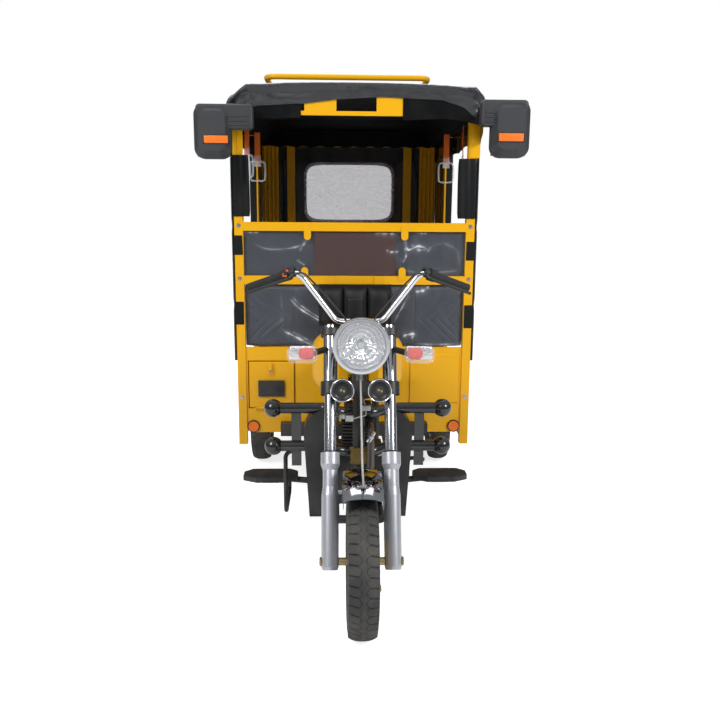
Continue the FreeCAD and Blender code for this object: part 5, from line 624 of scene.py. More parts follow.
PLATE = checker_plate()
CABLE_BLACK = cable_sleeve()
GLASS = clear_lens("lamp_glass", (0.80, 0.82, 0.84), 0.12, flutes=1.0)
SIGNAL_SHELL = clear_lens("signal_cover", (0.92, 0.86, 0.86), 0.17)
CLEAR_LOOP = clear_lens("clear_handle", (0.86, 0.90, 0.94), 0.34)
# Its last argument sets how strongly the painted highlights show on the film's folds.
WINDOW_FILM = clear_film("window_film", (0.66, 0.62, 0.80), 0.36, 0.05)
BULKHEAD_FILM = creased_film()
SIGNAL_RED = signal_plastic("signal_red", (0.55, 0.030, 0.020))
SIGNAL_ORANGE = signal_plastic("reflector_orange", (0.86, 0.135, 0.002))
TYRE = tyre_rubber()

NODE_FINISH = {
    "frame": BLACK_SATIN, "crash_bars": BLACK_GLOSS, "rear_axle": BLACK_SATIN, "leaf_springs": BLACK_SATIN,
    "propeller_shaft": BLACK_SATIN, "engine": ENGINE_BLACK, "exhaust": STEEL_DARK, "fuel_tank": YELLOW,
    "cabin_frame": YELLOW, "bulkhead_sheet": YELLOW, "toolbox_door": YELLOW, "side_panel_left": YELLOW,
    "side_panel_right": YELLOW, "rear_panel": YELLOW, "roof_rack": YELLOW, "bench_box": YELLOW,
    "driver_seat": VINYL_SEAT, "driver_backrest": VINYL_SEAT, "bulkhead_cushion": VINYL_PANEL,
    "screen_panel": VINYL_PANEL, "canopy": VINYL_CANOPY, "curtains": VINYL_CANOPY, "bench_cushions": VINYL_BENCH,
    "centre_panel": BROWN_BOARD, "leg_shields": PLASTIC_BLACK, "foot_controls": BLACK_SATIN,
    "mirrors": PLASTIC_DARK, "cabin_floor": PLATE, "rear_window": WINDOW_FILM, "hand_straps": ORANGE_WEB,
    "lamps": SIGNAL_ORANGE, "fork_legs": CAST_SILVER, "fork_tubes": SHADED_FORK_PLATING, "headlight": CHROME,
    "front_mudguard": SHADED_GUARD_PLATING, "fork_clamps": BLACK_SATIN, "handlebar": CHROME, "front_axle": ZINC,
    "grips": RUBBER_GRIP, "levers": BLACK_SATIN, "horns": BLACK_GLOSS, "speedometer": PLASTIC_BLACK,
    "headlight_lens": GLASS, "indicators": SIGNAL_SHELL, "front_tyre": TYRE, "rear_tyre_left": TYRE,
    "rear_tyre_right": TYRE, "front_rim": RIM_GREY, "rear_rim_left": RIM_GREY, "rear_rim_right": RIM_GREY,
    "control_cables": CABLE_BLACK, "down_tube_plate": BRASS,
}


def finish_nodes():
    for name, part in frame["nodes"].items():
        part.data.materials.clear()
        part.data.materials.append(NODE_FINISH[name])


# Floor, light and camera

FLOOR_SIZE = 40.0
AIM = np.array([0.0, 0.0, 0.9])

# Name, place, side in metres and power in watts of each lamp
LAMPS = (
    ("key_left", (-3.4, -4.2, 4.4), 2.0, 165.0),
    ("key_right", (3.6, -3.8, 3.6), 1.6, 135.0),
    ("top_rear", (0.0, 2.2, 5.2), 3.2, 120.0),
)
WORLD_LEVEL = 0.42


def seen_directly(tree, rays):
    """1 for what the camera sees, also through glass."""
    return calculate(tree, "MAXIMUM", rays["Is Camera Ray"], rays["Is Transmission Ray"])


def white_backdrop(name):
    """Pale matt floor; to the camera, in gloss and through glass it also glows, so that only shadow greys it."""
    material, tree, shader = blank(name)
    rays = add(tree, "ShaderNodeLightPath").outputs
    direct = seen_directly(tree, rays)
    seen = calculate(tree, "MAXIMUM", direct, rays["Is Glossy Ray"])
    glow = plus(tree, times(tree, direct, 0.63), times(tree, seen, 0.12))
    connect(tree, shader, [("Base Color", shade((0.80, 0.80, 0.80))), ("Roughness", 0.9),
                           ("Specular IOR Level", 0.0), ("Emission Color", shade((1.0, 1.0, 1.0))),
                           ("Emission Strength", glow)])
    return material


def put_floor():
    """Wide pale plane that the vehicle stands on."""
    bpy.ops.mesh.primitive_plane_add(size=FLOOR_SIZE, location=(0.0, 0.0, 0.0))
    floor = bpy.context.object
    floor.name = "studio_floor"
    floor.data.materials.append(white_backdrop("pale_floor"))


def light_world():
    """White world to the camera; for light an even one, and in gloss a room that pales towards its ceiling."""
    world = bpy.data.worlds.new("studio_world")
    bpy.context.scene.world = world
    world.use_nodes = True
    tree = world.node_tree
    tree.nodes.clear()
    rays = add(tree, "ShaderNodeLightPath").outputs
    direct = seen_directly(tree, rays)
    height = coordinate(tree, add(tree, "ShaderNodeTexCoord").outputs["Generated"], "Z")
    ceiling = spread(tree, height, -0.05, 0.9, 0.07, 0.70)
    gloss = times(tree, rays["Is Glossy Ray"], calculate(tree, "SUBTRACT", ceiling, WORLD_LEVEL))
    indirect = plus(tree, gloss, WORLD_LEVEL)
    strength = plus(tree, direct, times(tree, indirect, calculate(tree, "SUBTRACT", 1.0, direct)))
    tint = blend_colour(tree, direct, shade((0.93, 0.97, 1.0)), shade((1.0, 1.0, 1.0)))
    light = add(tree, "ShaderNodeBackground", [("Color", tint), ("Strength", strength)])
    add(tree, "ShaderNodeOutputWorld", [("Surface", light.outputs[0])])


def hang_lamps():
    """Large square lamps, each turned to the middle of the vehicle."""
    for name, place, size, power in LAMPS:
        lamp = bpy.data.lights.new(name, "AREA")
        lamp.shape = "SQUARE"
        lamp.size = size
        lamp.energy = power
        holder = bpy.data.objects.new(name, lamp)
        holder.location = place
        east, north, up = AIM - np.array(place)
        pitch = math.atan2(up, math.hypot(east, north))
        holder.rotation_euler = (math.pi / 2 + pitch, 0.0, -math.atan2(east, north))
        bpy.context.scene.collection.objects.link(holder)


def place_camera():
    """Camera at the photograph's place: turned, tipped down and rolled by the fitted angles."""
    yaw, pitch, roll = (math.radians(angle) for angle in (CAMERA_YAW, CAMERA_PITCH, CAMERA_ROLL))
    level = np.array([-math.sin(yaw), math.cos(yaw), 0.0])
    across = np.array([math.cos(yaw), math.sin(yaw), 0.0])
    ahead = level * math.cos(pitch) - UPWARDS * math.sin(pitch)
    above = UPWARDS * math.cos(pitch) + level * math.sin(pitch)
    right = across * math.cos(roll) + above * math.sin(roll)
    top = above * math.cos(roll) - across * math.sin(roll)
    camera = bpy.data.cameras.new("photo_camera")
    camera.sensor_width = CAMERA_SENSOR
    camera.lens = CAMERA_LENS
    holder = bpy.data.objects.new("photo_camera", camera)
    rows = np.eye(4)
    rows[:3, :3] = np.stack([right, top, -ahead], axis=1)
    rows[:3, 3] = CAMERA_PLACE
    bpy.context.scene.collection.objects.link(holder)
    holder.matrix_world = Matrix(rows.tolist())
    bpy.context.scene.camera = holder


# Tyres: round-shouldered carcass with a zigzag centre rib and a row of blocks each side; sizes in metres

TREAD_BLOCKS = 48
BLOCK_PITCH = 0.035
TREAD_HALF = 0.0535
GROOVE_DEPTH, GROOVE_WIDTH = 0.0062, 0.0024
LINE_DEPTH, LINE_WIDTH = 0.0030, 0.0013
ZIGZAG_NEAR, ZIGZAG_SWING = 0.0075, 0.0115
GROOVE_SLANT = 4.0
SIDE_SHIFT = 0.16
# Depth of cut at which the painted shade in the tyre's cuts is darkest
FULL_CUT = 0.006
SHOULDER = 0.0065
CROWN_ROUND = 0.0125
SIDE_START = 0.013
SIDE_TUCK = 0.022
RING_HEIGHT = 0.0009
BEAD_RADIUS = 0.1405

# Rings on the side wall: place down it from 0 to 1, and width
SIDE_RINGS = ((0.20, 0.02), (0.33, 0.02), (0.86, 0.03))


def tread_cut(around, across):
    """How deep the tread is cut, from the place around in blocks and across in metres.

    Cross grooves part the blocks outside the zigzag line; the line itself is a shallow narrow cut.
    """
    side = np.sign(across)
    reach = np.abs(across)
    phase = around + np.where(side > 0, SIDE_SHIFT, 0.0) + side * (reach - 0.030) * GROOVE_SLANT
    to_groove = np.abs(phase - np.round(phase))
    zigzag = ZIGZAG_NEAR + ZIGZAG_SWING * (1.0 - 2.0 * to_groove) ** 1.4
    outside = np.clip((reach - zigzag) / 0.002, 0.0, 1.0)
    fade = np.clip((TREAD_HALF - reach) / 0.004, 0.0, 1.0)
    groove = GROOVE_DEPTH * ridge(to_groove * BLOCK_PITCH, GROOVE_WIDTH) * outside
    line = LINE_DEPTH * ridge(reach - zigzag, LINE_WIDTH)
    return np.maximum(groove, line) * fade


def tyre_section(half, outer):
    """Section from bead to bead: across and radius, a flattened oval with moulded rings on its sides."""
    crown = np.linspace(-1, 1, 61)
    crown_x = crown * (half - SHOULDER)
    crown_r = outer - 0.0005 - CROWN_ROUND * np.abs(crown) ** 2.6
    side = np.linspace(0, 1, 15)[1:]
    bulge = SHOULDER * np.sin(side * np.pi * 0.55)
    side_x = half - SHOULDER + bulge - SIDE_TUCK * np.clip(side - 0.45, 0, 1) ** 1.3
    side_r = outer - SIDE_START - side * (outer - SIDE_START - BEAD_RADIUS)
    rings = RING_HEIGHT * sum(ridge(side - place, width) for place, width in SIDE_RINGS)
    side_x = np.minimum(side_x + rings, half - 0.0002)
    return (np.concatenate([-side_x[::-1], crown_x, side_x]),
            np.concatenate([side_r[::-1], crown_r, side_r]))


def tread_tyre(name, node, samples):
    """Tyre's section carried round its axle, lowered by the tread's cuts, with samples rows to a block."""
    centre = middle(node)
    outer = high(node)[2] - centre[2]
    across, radius = tyre_section((high(node)[0] - low(node)[0]) / 2, outer)
    turn = circle(TREAD_BLOCKS * samples)
    cut = tread_cut((turn / (2 * np.pi) * TREAD_BLOCKS)[:, None], across[None, :])
    cut *= np.clip((radius - outer + 0.034) / 0.012, 0.0, 1.0)[None, :]
    reach = radius[None, :] - cut
    points = centre + np.stack([np.broadcast_to(across, reach.shape), reach * np.sin(turn)[:, None],
                                reach * np.cos(turn)[:, None]], axis=-1)
    piece = build(name, grid(points, wrap_u=True), NODE_BODY[node], TYRE, "tyre", [node], smooth=50.0, merge=0.0)
    # The attribute cut also darkens the cuts in the tyre's material, as painted shade.
    mark(piece, "cut", cut / FULL_CUT)


# Canopy: one sheet over the hoops, round at its edges, with an uneven hem; sizes and places in metres

CANOPY_EDGE = 0.012
CANOPY_SIDE_ROUND = 0.062
CANOPY_HALF = 0.5735
CANOPY_CORNER = 0.06
CANOPY_FRONT, CANOPY_REAR = low("canopy")[1], high("canopy")[1]
ROOF_TOP, ROOF_CAMBER, ROOF_HALF = 2.0397, 0.014, 0.575
HOOP_STEP = 0.535
SIDE_HEM = 1.807
TOP_SAG, TOP_CRINKLE = 0.006, 0.006
DROP_INSET, DROP_TAPER, DROP_WAVE, DROP_CRINKLE = 0.0055, 0.010, 0.0022, 0.0060
DEEPEST_TUCK = 0.0138

# Height of the front hem over x, and how far the top falls at its two loose front corners
FRONT_HEM = ((-0.575, -0.50, -0.433, -0.2286, -0.0965, 0.108, 0.3756, 0.47, 0.51, 0.575),
             (1.902, 1.926, 1.936, 1.947, 1.965, 1.979, 1.968, 1.938, 1.905, 1.872))
CORNER_FALL = ((-0.575, -0.557, -0.53, -0.505, -0.48, -0.44, 0.52, 0.557, 0.575),
               (0.030, 0.050, 0.042, 0.017, 0.002, 0.0, 0.0, 0.016, 0.004))


def ease(share):
    """Share from 0 to 1 that starts and ends gently."""
    return share * share * (3 - 2 * share)


def perimeter(count):
    """Points and outward directions round the canopy's plan: four sides of count points and round corners."""
    front, rear = CANOPY_FRONT + 0.001, CANOPY_REAR - 0.001
    half, corner = CANOPY_HALF, CANOPY_CORNER
    runs = (((-half + corner, front), (half - corner, front), -90.0),
            ((half, front + corner), (half, rear - corner), 0.0),
            ((half - corner, rear), (-half + corner, rear), 90.0),
            ((-half, rear - corner), (-half, front + corner), 180.0))
    places, ways = [], []
    for start, end, angle in runs:
        share = np.linspace(0, 1, count, endpoint=False)[:, None]
        places.append(np.array(start) + share * (np.array(end) - np.array(start)))
        way = np.array([math.cos(math.radians(angle)), math.sin(math.radians(angle))])
        ways.append(np.tile(way, (count, 1)))
        bend = np.radians(angle + np.linspace(0, 90, count // 4, endpoint=False))
        out = np.stack([np.cos(bend), np.sin(bend)], axis=1)
        places.append(np.array(end) - corner * way + corner * out)
        ways.append(out)
    return np.concatenate(places), np.concatenate(ways)


def roof_height(x):
    return ROOF_TOP - ROOF_CAMBER * (np.abs(x) / ROOF_HALF) ** 2


def corner_fall(x, y):
    """How far the cover falls below a round shoulder near its front corners."""
    away = np.clip(1.0 - (y - CANOPY_FRONT) / 0.52, 0.0, 1.0)
    return np.interp(x, *CORNER_FALL) * ease(away)


def canopy_hem(x, y):
    """Height of the hem: short in front, lower towards its corners, longer at the sides and rear."""
    share = ease(np.clip((y - CANOPY_FRONT) / 0.10, 0.0, 1.0))
    side = SIDE_HEM + 0.008 * np.sin(y * 9.0) + 0.004 * np.sin(y * 23.0 + 1.0)
    return np.interp(x, *FRONT_HEM) * (1 - share) + side * share


def drop_depth(place, way, along, level, w):
    """How far a hanging row stands in from the plan, below 0: waves, and crinkles on the front band."""
    facing = way[:, 1] < -0.5
    corner = np.clip((np.abs(place[:, 0]) - 0.22) / 0.3, 0, 1)
    wave = np.sin(along * 31.0 + 1.3) + 0.7 * np.sin(along * 53.0 + 0.4) + 0.5 * np.sin(along * 87.0)
    crinkle = DROP_CRINKLE * crumple(place[:, 0], level, 52.0) * (1 + corner) * facing
    taper = DROP_TAPER * w * (1 - way[:, 0] ** 2)
    out = DROP_WAVE * wave * w - DROP_INSET - taper - crinkle * min(1.0, 5 * w)
    return np.minimum(np.where(facing, -DEEPEST_TUCK * np.tanh(-out / DEEPEST_TUCK), out), 0.0)


def roof_relief(points):
    """How far the top is lowered: sag between the hoops, and crinkles along the front edge."""
    x, y, z = points[..., 0], points[..., 1], points[..., 2]
    on_top = np.clip((z - 1.955) / 0.03, 0, 1)
    sag = TOP_SAG * np.sin(np.pi * (y - CANOPY_FRONT - 0.03) / HOOP_STEP) ** 2 * on_top
    near = np.clip(1 - (y - CANOPY_FRONT) / 0.16, 0, 1) * np.clip((z - 1.99) / 0.02, 0, 1)
    side = np.clip((np.abs(x) - 0.25) / 0.2, 0.15, 1)
    return sag + TOP_CRINKLE * crumple(x, y * 1.6, 46.0) * near * side + 0.001 * on_top


def canopy_sheet():
    """Rings that grow from the line along the middle over the top, then round the edge, then down the drop."""
    place, way = perimeter(110)
    turn_in = CANOPY_SIDE_ROUND * way[:, :1] ** 2 + CANOPY_EDGE * way[:, 1:] ** 2
    inset = place - way * turn_in
    spine = np.stack([np.zeros(len(place)), np.clip(inset[:, 1], CANOPY_FRONT + 0.5, CANOPY_REAR - 0.5)], axis=1)
    rows = []
    for w in 1 - (1 - np.linspace(0, 1, 40)) ** 1.5:
        flat = spine + (inset - spine) * w
        rows.append(np.column_stack([flat, roof_height(flat[:, 0]) - corner_fall(*flat.T)]))
    edge_z = roof_height(inset[:, 0]) - corner_fall(*place.T)
    for w in np.linspace(0, 1, 10)[1:]:
        swing = w * np.pi / 2
        flat = inset + way * turn_in * math.sin(swing)
        rows.append(np.column_stack([flat, edge_z - turn_in[:, 0] * (1 - math.cos(swing))]))
    drop_top = edge_z - turn_in[:, 0]
    drop = np.minimum(canopy_hem(*place.T), drop_top - 0.004) - drop_top
    along = np.concatenate([[0], np.cumsum(np.linalg.norm(np.diff(place, axis=0), axis=1))])
    for w in np.linspace(0, 1, 26)[1:]:
        level = drop_top + drop * w
        flat = place + way * drop_depth(place, way, along, level, w)[:, None] * min(1.0, 3 * w)
        rows.append(np.column_stack([flat, level]))
    points = np.stack(rows)
    points[..., 2] -= roof_relief(points)
    piece = vinyl_piece("canopy_cover", grid(points, wrap_v=True), VINYL_CANOPY, ["canopy"], merge=0.0)


# Curtains; places and sizes in metres

CURTAIN_WALL = 0.0016
CURTAIN_FOOT = 1.0415
REAR_CURTAIN_Y = 1.3885
REAR_CURTAIN_HALF = 0.5655
REAR_CURTAIN_TOP = 1.926
WINDOW_HALF = 0.277
WINDOW_FOOT, WINDOW_TOP = 1.438, 1.787
SIDE_CURTAIN_X = 0.5645
SIDE_CURTAIN_FRONT, SIDE_CURTAIN_REAR = 0.6445, 1.384
SIDE_CURTAIN_TOP = 1.826
ROLL_X, ROLL_Y = 0.5683, -0.096
ROLL_FOOT, ROLL_TOP = 0.782, 1.7985
ROLL_RADIUS = 0.0065

# How many times wider than thick a roll is, and its ties: height, share that they pinch, and reach
ROLL_FLATNESS = 2.4
ROLL_TIES = ((1.42, 0.35, 0.02), (1.05, 0.35, 0.02), (ROLL_TOP, 0.2, 0.03))


def rear_curtain():
    """Patch between the window's outline and the curtain's rectangle, with soft upright folds."""
    angle = circle(240)

    def outline(power, half, foot, top):
        return np.stack(squarish(angle, power), axis=1) * (half, (top - foot) / 2) + (0, (foot + top) / 2)

    inner = outline(7.0, WINDOW_HALF, WINDOW_FOOT, WINDOW_TOP)
    outer = outline(40.0, REAR_CURTAIN_HALF, CURTAIN_FOOT, REAR_CURTAIN_TOP)
    rows = []
    for share in np.linspace(0, 1, 26):
        x, z = (inner + (outer - inner) * share).T
        fold = 0.0035 * np.sin(x * 44.0 + 0.8 * np.sin(z * 7.0)) + 0.0015 * np.sin(x * 91.0)
        rows.append(np.column_stack([x, REAR_CURTAIN_Y + np.abs(fold) * np.sin(np.pi * share), z]))
    piece = vinyl_piece("rear_curtain", grid(np.stack(rows), wrap_v=True), VINYL_CANOPY, ["curtains"])
    thicken(piece, CURTAIN_WALL, 0.0)


def side_curtain(name, side):
    """Upright sheet with folds that die out at its foot and top."""
    y, z = lattice((SIDE_CURTAIN_FRONT, SIDE_CURTAIN_REAR, 90), (CURTAIN_FOOT, SIDE_CURTAIN_TOP, 50))
    loose = np.clip((z - 1.04) / 0.25, 0, 1) * np.clip((1.93 - z) / 0.15, 0, 1)
    fold = 0.0030 * np.sin(y * 38.0 + 0.9 * np.sin(z * 5.0)) + 0.0014 * np.sin(y * 81.0 + z * 6.0)
    points = np.stack([side * (SIDE_CURTAIN_X + fold * loose), y, z], axis=-1)
    piece = vinyl_piece(name, grid(points), VINYL_CANOPY)
    thicken(piece, CURTAIN_WALL, 0.0)


def rolled_curtain(name, side):
    """Furled curtain outside the front post: a flattened fluted roll, pinched by two ties and at its top."""
    height = np.linspace(ROLL_FOOT, ROLL_TOP, 120)[:, None]
    angle = circle(64)[None, :]
    pinch = 1.0 - sum(share * ridge(height - place, width) for place, share, width in ROLL_TIES)
    flute = 1.0 + 0.10 * np.sin(5 * angle + height * 3.0) + 0.05 * np.sin(11 * angle + height * 5.0)
    radius = ROLL_RADIUS * pinch * flute
    sway = 0.0015 * np.sin(height * 9.0)
    across = side * (ROLL_X + sway * 0.3) + radius * np.cos(angle)
    along = ROLL_Y + ROLL_FLATNESS * radius * np.sin(angle) + sway
    points = np.stack([across, along, np.broadcast_to(height, radius.shape)], axis=-1)
    piece = vinyl_piece(name, capped(points), VINYL_CANOPY)


# Padded pieces; places and sizes in metres

QUILT_HALF_X, QUILT_HALF_Z = 0.5207, 0.150
QUILT_CENTRE_PLAIN = 0.285

# Sewn channels of the quilt: distance from the middle, and strength
QUILT_CHANNELS = ((0.312, 0.7), (0.356, 1.0), (0.400, 1.0), (0.444, 0.8), (0.488, 0.6))
QUILT_DEEPEST = 0.044
ROLLS_HALF_X, ROLLS_HALF_Z, ROLLS_PITCH = 0.170, 0.0985, 0.113
ROLLS_BACK, ROLLS_SWELL = 0.058, 0.056
PATCH_HALF, PATCH_TOP, PATCH_LIFT = 0.040, 0.035, 0.003
SADDLE_POWER = 4.2
SADDLE_WELT = 0.0032
CHANNELS_PER_METRE = 8.0
BENCH_SEAT_TOP, BENCH_BACK_DEPTH = 0.880, 0.090


def pad(name, node, material, front, counts):
    """Padded board seen from -Y: a front height field, side walls and a flat back.

    front(u, w) gives how far the face stands back from the node's front, with u and w from -1 to 1.
    """
    centre, half = middle(node), (high(node) - low(node)) / 2 - 0.001
    u, w = lattice((-1, 1, counts[0]), (-1, 1, counts[1]))
    face = np.stack([centre[0] + u * half[0], low(node)[1] + front(u, w), centre[2] + w * half[2]], axis=-1)
    back = face.copy()
    back[..., 1] = high(node)[1] - 0.001
    wall = np.stack([np.concatenate([sheet[:, 0], sheet[-1, :], sheet[::-1, -1], sheet[0, ::-1]])
                     for sheet in (face, back)])
    shape = combined(grid(face), grid(back), grid(wall))
    piece = build(name, shape, "chassis", material, "black_vinyl", [node], 50.0)


def quilted_front(u, w):
    """Arrow-shaped channels nested on each side, pointing to the middle, and edges pulled in."""
    x, z = u * QUILT_HALF_X, w * QUILT_HALF_Z
    reach = np.abs(x)
    slant = reach - 1.05 * np.abs(z + 0.013)
    depth = 0.0016 * ridge(reach - QUILT_CENTRE_PLAIN, 0.004)
    for place, strength in QUILT_CHANNELS:
        depth += 0.0032 * strength * ridge(slant - place, 0.0045) * (reach > QUILT_CENTRE_PLAIN)
    swell = 0.008 * (1 - u ** 8) * (1 - w ** 6)
    rim = 0.020 * (np.abs(u) ** 40 + np.abs(w) ** 24)
    sag = 0.0012 * np.sin(x * 19.0 + z * 13.0) + 0.0008 * np.sin(x * 43.0 - z * 31.0)
    return np.clip(0.010 - swell + depth + rim + sag, 0.0002, QUILT_DEEPEST)


def three_rolls(u, w):
    """Three upright rolls with deep valleys, tapering to rounded ends; a stitched patch on the middle one."""
    x, z = u * ROLLS_HALF_X, w * ROLLS_HALF_Z
    place = (x + ROLLS_PITCH / 2) / ROLLS_PITCH
    within = place - np.floor(place) - 0.5
    roll = np.sqrt(np.clip(1 - (within * 2) ** 2, 0.0, 1.0))
    ends = np.sqrt(np.clip(1 - np.abs(w) ** 3.2, 0.0, 1.0))
    below = z < PATCH_TOP
    patch = (np.abs(x) < PATCH_HALF + 0.002 - 0.035 * (z + ROLLS_HALF_Z)) & below
    seam = (ridge(np.abs(x) - PATCH_HALF, 0.002) * below
            + ridge(z - PATCH_TOP, 0.002) * (np.abs(x) < PATCH_HALF))
    side = np.clip((1 - np.abs(u)) / 0.06, 0, 1) ** 0.5
    corner = np.hypot(np.maximum(np.abs(u) - 0.72, 0) / 0.28, np.maximum(np.abs(w) - 0.45, 0) / 0.55)
    side = side * np.sqrt(np.clip(1 - np.clip(corner, 0, 1) ** 6, 0, 1))
    swell = ROLLS_SWELL * (0.35 + 0.65 * roll) * ends * side
    return ROLLS_BACK - swell - PATCH_LIFT * patch * roll + 0.002 * seam


def saddle():
    """Seat pad of rings from its top to its foot: a squarish plan, narrower in front, with a welt round it."""
    centre, half = middle("driver_seat"), (high("driver_seat") - low("driver_seat")) / 2
    plan_x, plan_y = squarish(circle(160), SADDLE_POWER)
    plan_x = plan_x * (1.0 - 0.16 * np.clip(-plan_y, 0, 1) ** 2)
    rows = []
    for turn in np.linspace(0, np.pi, 26):
        spread_out = np.sin(turn) ** 0.42 if 0 < turn < np.pi else 0.0
        level = centre[2] + (half[2] - 0.001) * np.sign(np.cos(turn)) * abs(np.cos(turn)) ** 0.62
        pull = 1.0 - 0.03 * ridge(turn - np.pi * 0.62, 0.25)
        x = centre[0] + plan_x * (half[0] - 0.001) * spread_out * pull
        y = centre[1] + plan_y * (half[1] - 0.001) * spread_out * pull
        dip = 0.010 * ridge((y - centre[1]) / half[1], 0.6) * (turn < np.pi / 2) * (1 - spread_out ** 8)
        rows.append(np.column_stack([x, y, level - dip]))
    piece = vinyl_piece("saddle_pad", grid(np.stack(rows), wrap_v=True), VINYL_SEAT, ["driver_seat"])
    welt = np.column_stack([centre[0] + plan_x * (half[0] - 0.004), centre[1] + plan_y * (half[1] - 0.004),
                            np.full(len(plan_x), centre[2] + 0.004)])
    loop = np.vstack([welt, welt[:1]])
    build("saddle_welt", tube(loop, SADDLE_WELT, 8), "chassis", VINYL_SEAT, "black_vinyl")


def bench_pad(name, corner_low, corner_high, upright):
    """Bench cushion: rounded block, crowned on its face, with channels pressed across it."""
    centre, half = (corner_low + corner_high) / 2, (corner_high - corner_low) / 2
    axis, other, outwards = (1, 2, -1) if upright else (2, 1, 1)
    block = rounded_block(half - 0.004, 0.028, centre, steps=8)
    piece = subdivide(build(name, block, "chassis", VINYL_BENCH, "bench_vinyl", (), 60.0), 2)
    bpy.context.view_layer.update()
    graph = bpy.context.evaluated_depsgraph_get()
    mesh = bpy.data.meshes.new_from_object(piece.evaluated_get(graph))
    piece.modifiers.clear()
    piece.data = mesh
    points = np.empty(len(mesh.vertices) * 3)
    mesh.vertices.foreach_get("co", points)
    points = points.reshape(-1, 3)
    local = (points - centre) / half
    crown = (1 - np.clip(np.abs(local[:, 0]), 0, 1) ** 4) * (1 - np.clip(np.abs(local[:, other]), 0, 1) ** 2)
    face = np.clip(local[:, axis] * outwards, 0, 1) ** 3
    place = points[:, 0] * CHANNELS_PER_METRE
    channel = np.abs(place - np.round(place)) / CHANNELS_PER_METRE
    press = 0.011 * ridge(channel, 0.007) * (np.abs(local[:, other]) < 0.72) + 0.004
    points[:, axis] += outwards * face * (0.007 * crown - press * face)
    mesh.vertices.foreach_set("co", points.ravel())
    mesh.update()
    mesh.shade_smooth()
    return piece


def bench():
    """Seat and back, which together stand for the part's one bench node."""
    corner_low, corner_high = low("bench_cushions"), high("bench_cushions")
    bench_pad("bench_seat", corner_low, np.array([*corner_high[:2], BENCH_SEAT_TOP]), False)
    back_low = np.array([corner_low[0], corner_high[1] - BENCH_BACK_DEPTH, BENCH_SEAT_TOP + 0.0003])
    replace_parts(bench_pad("bench_back", back_low, corner_high, True), "bench_cushions")


# Straps, mirrors and lamps; places and sizes in metres

# Name, X, Y and turn about Z in radians of each strap
STRAPS = (("left_front", -0.5150, 0.0640, -0.7), ("left_rear", -0.5080, 0.5140, 0.0),
          ("right_front", 0.5230, 0.0640, 1.45), ("right_rear", 0.5080, 0.5140, 0.0))
STRAP_TOP, STRAP_FOOT = 1.899, 1.752
STRAP_HALF, STRAP_HALF_THICK = 0.0150, 0.0014
KEEPER_HALF, LOOP_RADIUS = (0.0185, 0.0032, 0.030), 0.0048

# Outlines and profiles: the loop handle across and up, the bulb cap and rim along and out from their axis
LOOP_OUTLINE = ((0.0, 1.752), (0.020, 1.750), (0.0385, 1.735), (0.0385, 1.665), (0.031, 1.650), (0.0, 1.6475),
                (-0.031, 1.650), (-0.0385, 1.665), (-0.0385, 1.735), (-0.020, 1.750), (0.0, 1.752))
MIRROR_BACK = {1: -0.487, -1: -0.272}
MIRROR_SLOT = {1: 0.618, -1: -0.602}
MIRROR_DEPTH, SLOT_Z = 0.062, 1.786
SLOT_LENS, SLOT_BEZEL = (0.051, 0.0034, 0.0160), (0.0545, 0.0016, 0.0195)
GLASS_HALF, GLASS_X, GLASS_Z = (0.072, 0.0016, 0.105), 0.620, 1.821
BOWL_RADIUS, BOWL_DEPTH = 0.0865, 0.060
BOWL_FANS, BOWL_RINGS = 24, 62.0
BULB_CAP = ((0.062, 0.0), (0.062, 0.010), (0.030, 0.011), (0.020, 0.0125), (0.012, 0.0125), (0.010, 0.010),
            (0.0095, 0.0))
LAMP_RIM = ((-0.0006, 0.0932), (-0.0045, 0.0945), (-0.0055, 0.0985), (-0.004, 0.1015), (0.0, 0.1028), (0.010, 0.1030))
SIGNAL_X, SIGNAL_Y, SIGNAL_Z = 0.214, -1.011, 0.977
SIGNAL_INNER, SIGNAL_BOWL = (0.029, 0.018, 0.0215), (0.050, 0.010, 0.026)
STALK = ((0.1780, -0.9860), (0.1765, -0.9840), (0.1290, -0.9012))


def hand_strap(name, x, y, turn):
    """Orange webbing hanging from the rail, a clear keeper at its foot and a clear loop handle, turned about Z."""
    way = np.array([math.cos(turn), math.sin(turn), 0.0])
    thick = np.array([-way[1], way[0], 0.0])
    z = np.linspace(STRAP_TOP, STRAP_FOOT, 30)[:, None]
    lean = 0.002 * np.sin((STRAP_TOP - z) * 30.0)
    path = np.array([[x, y, 0.0]]) + lean * thick + z * UPWARDS
    ring = np.array([(-1, -1), (-1, 1), (1, 1), (1, -1)])
    points = path[:, None, :] + (ring[:, :1] * STRAP_HALF_THICK * thick + ring[:, 1:] * STRAP_HALF * way)[None]
    build(name + "_webbing", capped(points), "chassis", ORANGE_WEB, "strap_orange", ["hand_straps"], 30.0)
    keeper, faces = rounded_block(KEEPER_HALF, 0.003)
    keeper = keeper[:, :1] * way + keeper[:, 1:2] * thick + keeper[:, 2:] * UPWARDS + (x, y, STRAP_FOOT)
    build(name + "_keeper", (keeper, faces), "chassis", CLEAR_LOOP)
    outline = np.array(LOOP_OUTLINE)
    loop = smooth_path(np.array([x, y, 0.0]) + outline[:, :1] * way + outline[:, 1:] * UPWARDS, 96)
    build(name + "_loop", tube(loop, LOOP_RADIUS, 12), "chassis", CLEAR_LOOP, None, (), 60.0)


def mirror_dressing(name, side):
    """An orange slot reflector in front and the looking glass behind one mirror's hanging part."""
    back_y, slot_x = MIRROR_BACK[side], MIRROR_SLOT[side]
    face_y = back_y - MIRROR_DEPTH
    lens = rounded_block(SLOT_LENS, 0.0032, (slot_x, face_y - 0.0012, SLOT_Z))
    build(name + "_reflector", lens, "chassis", SIGNAL_ORANGE)
    bezel = rounded_block(SLOT_BEZEL, 0.0015, (slot_x, face_y - 0.0006, SLOT_Z))
    build(name + "_bezel", bezel, "chassis", PLASTIC_BLACK)
    glass = rounded_block(GLASS_HALF, 0.0014, (side * GLASS_X, back_y + 0.0008, GLASS_Z))
    build(name + "_glass", glass, "chassis", MIRROR_GLASS)


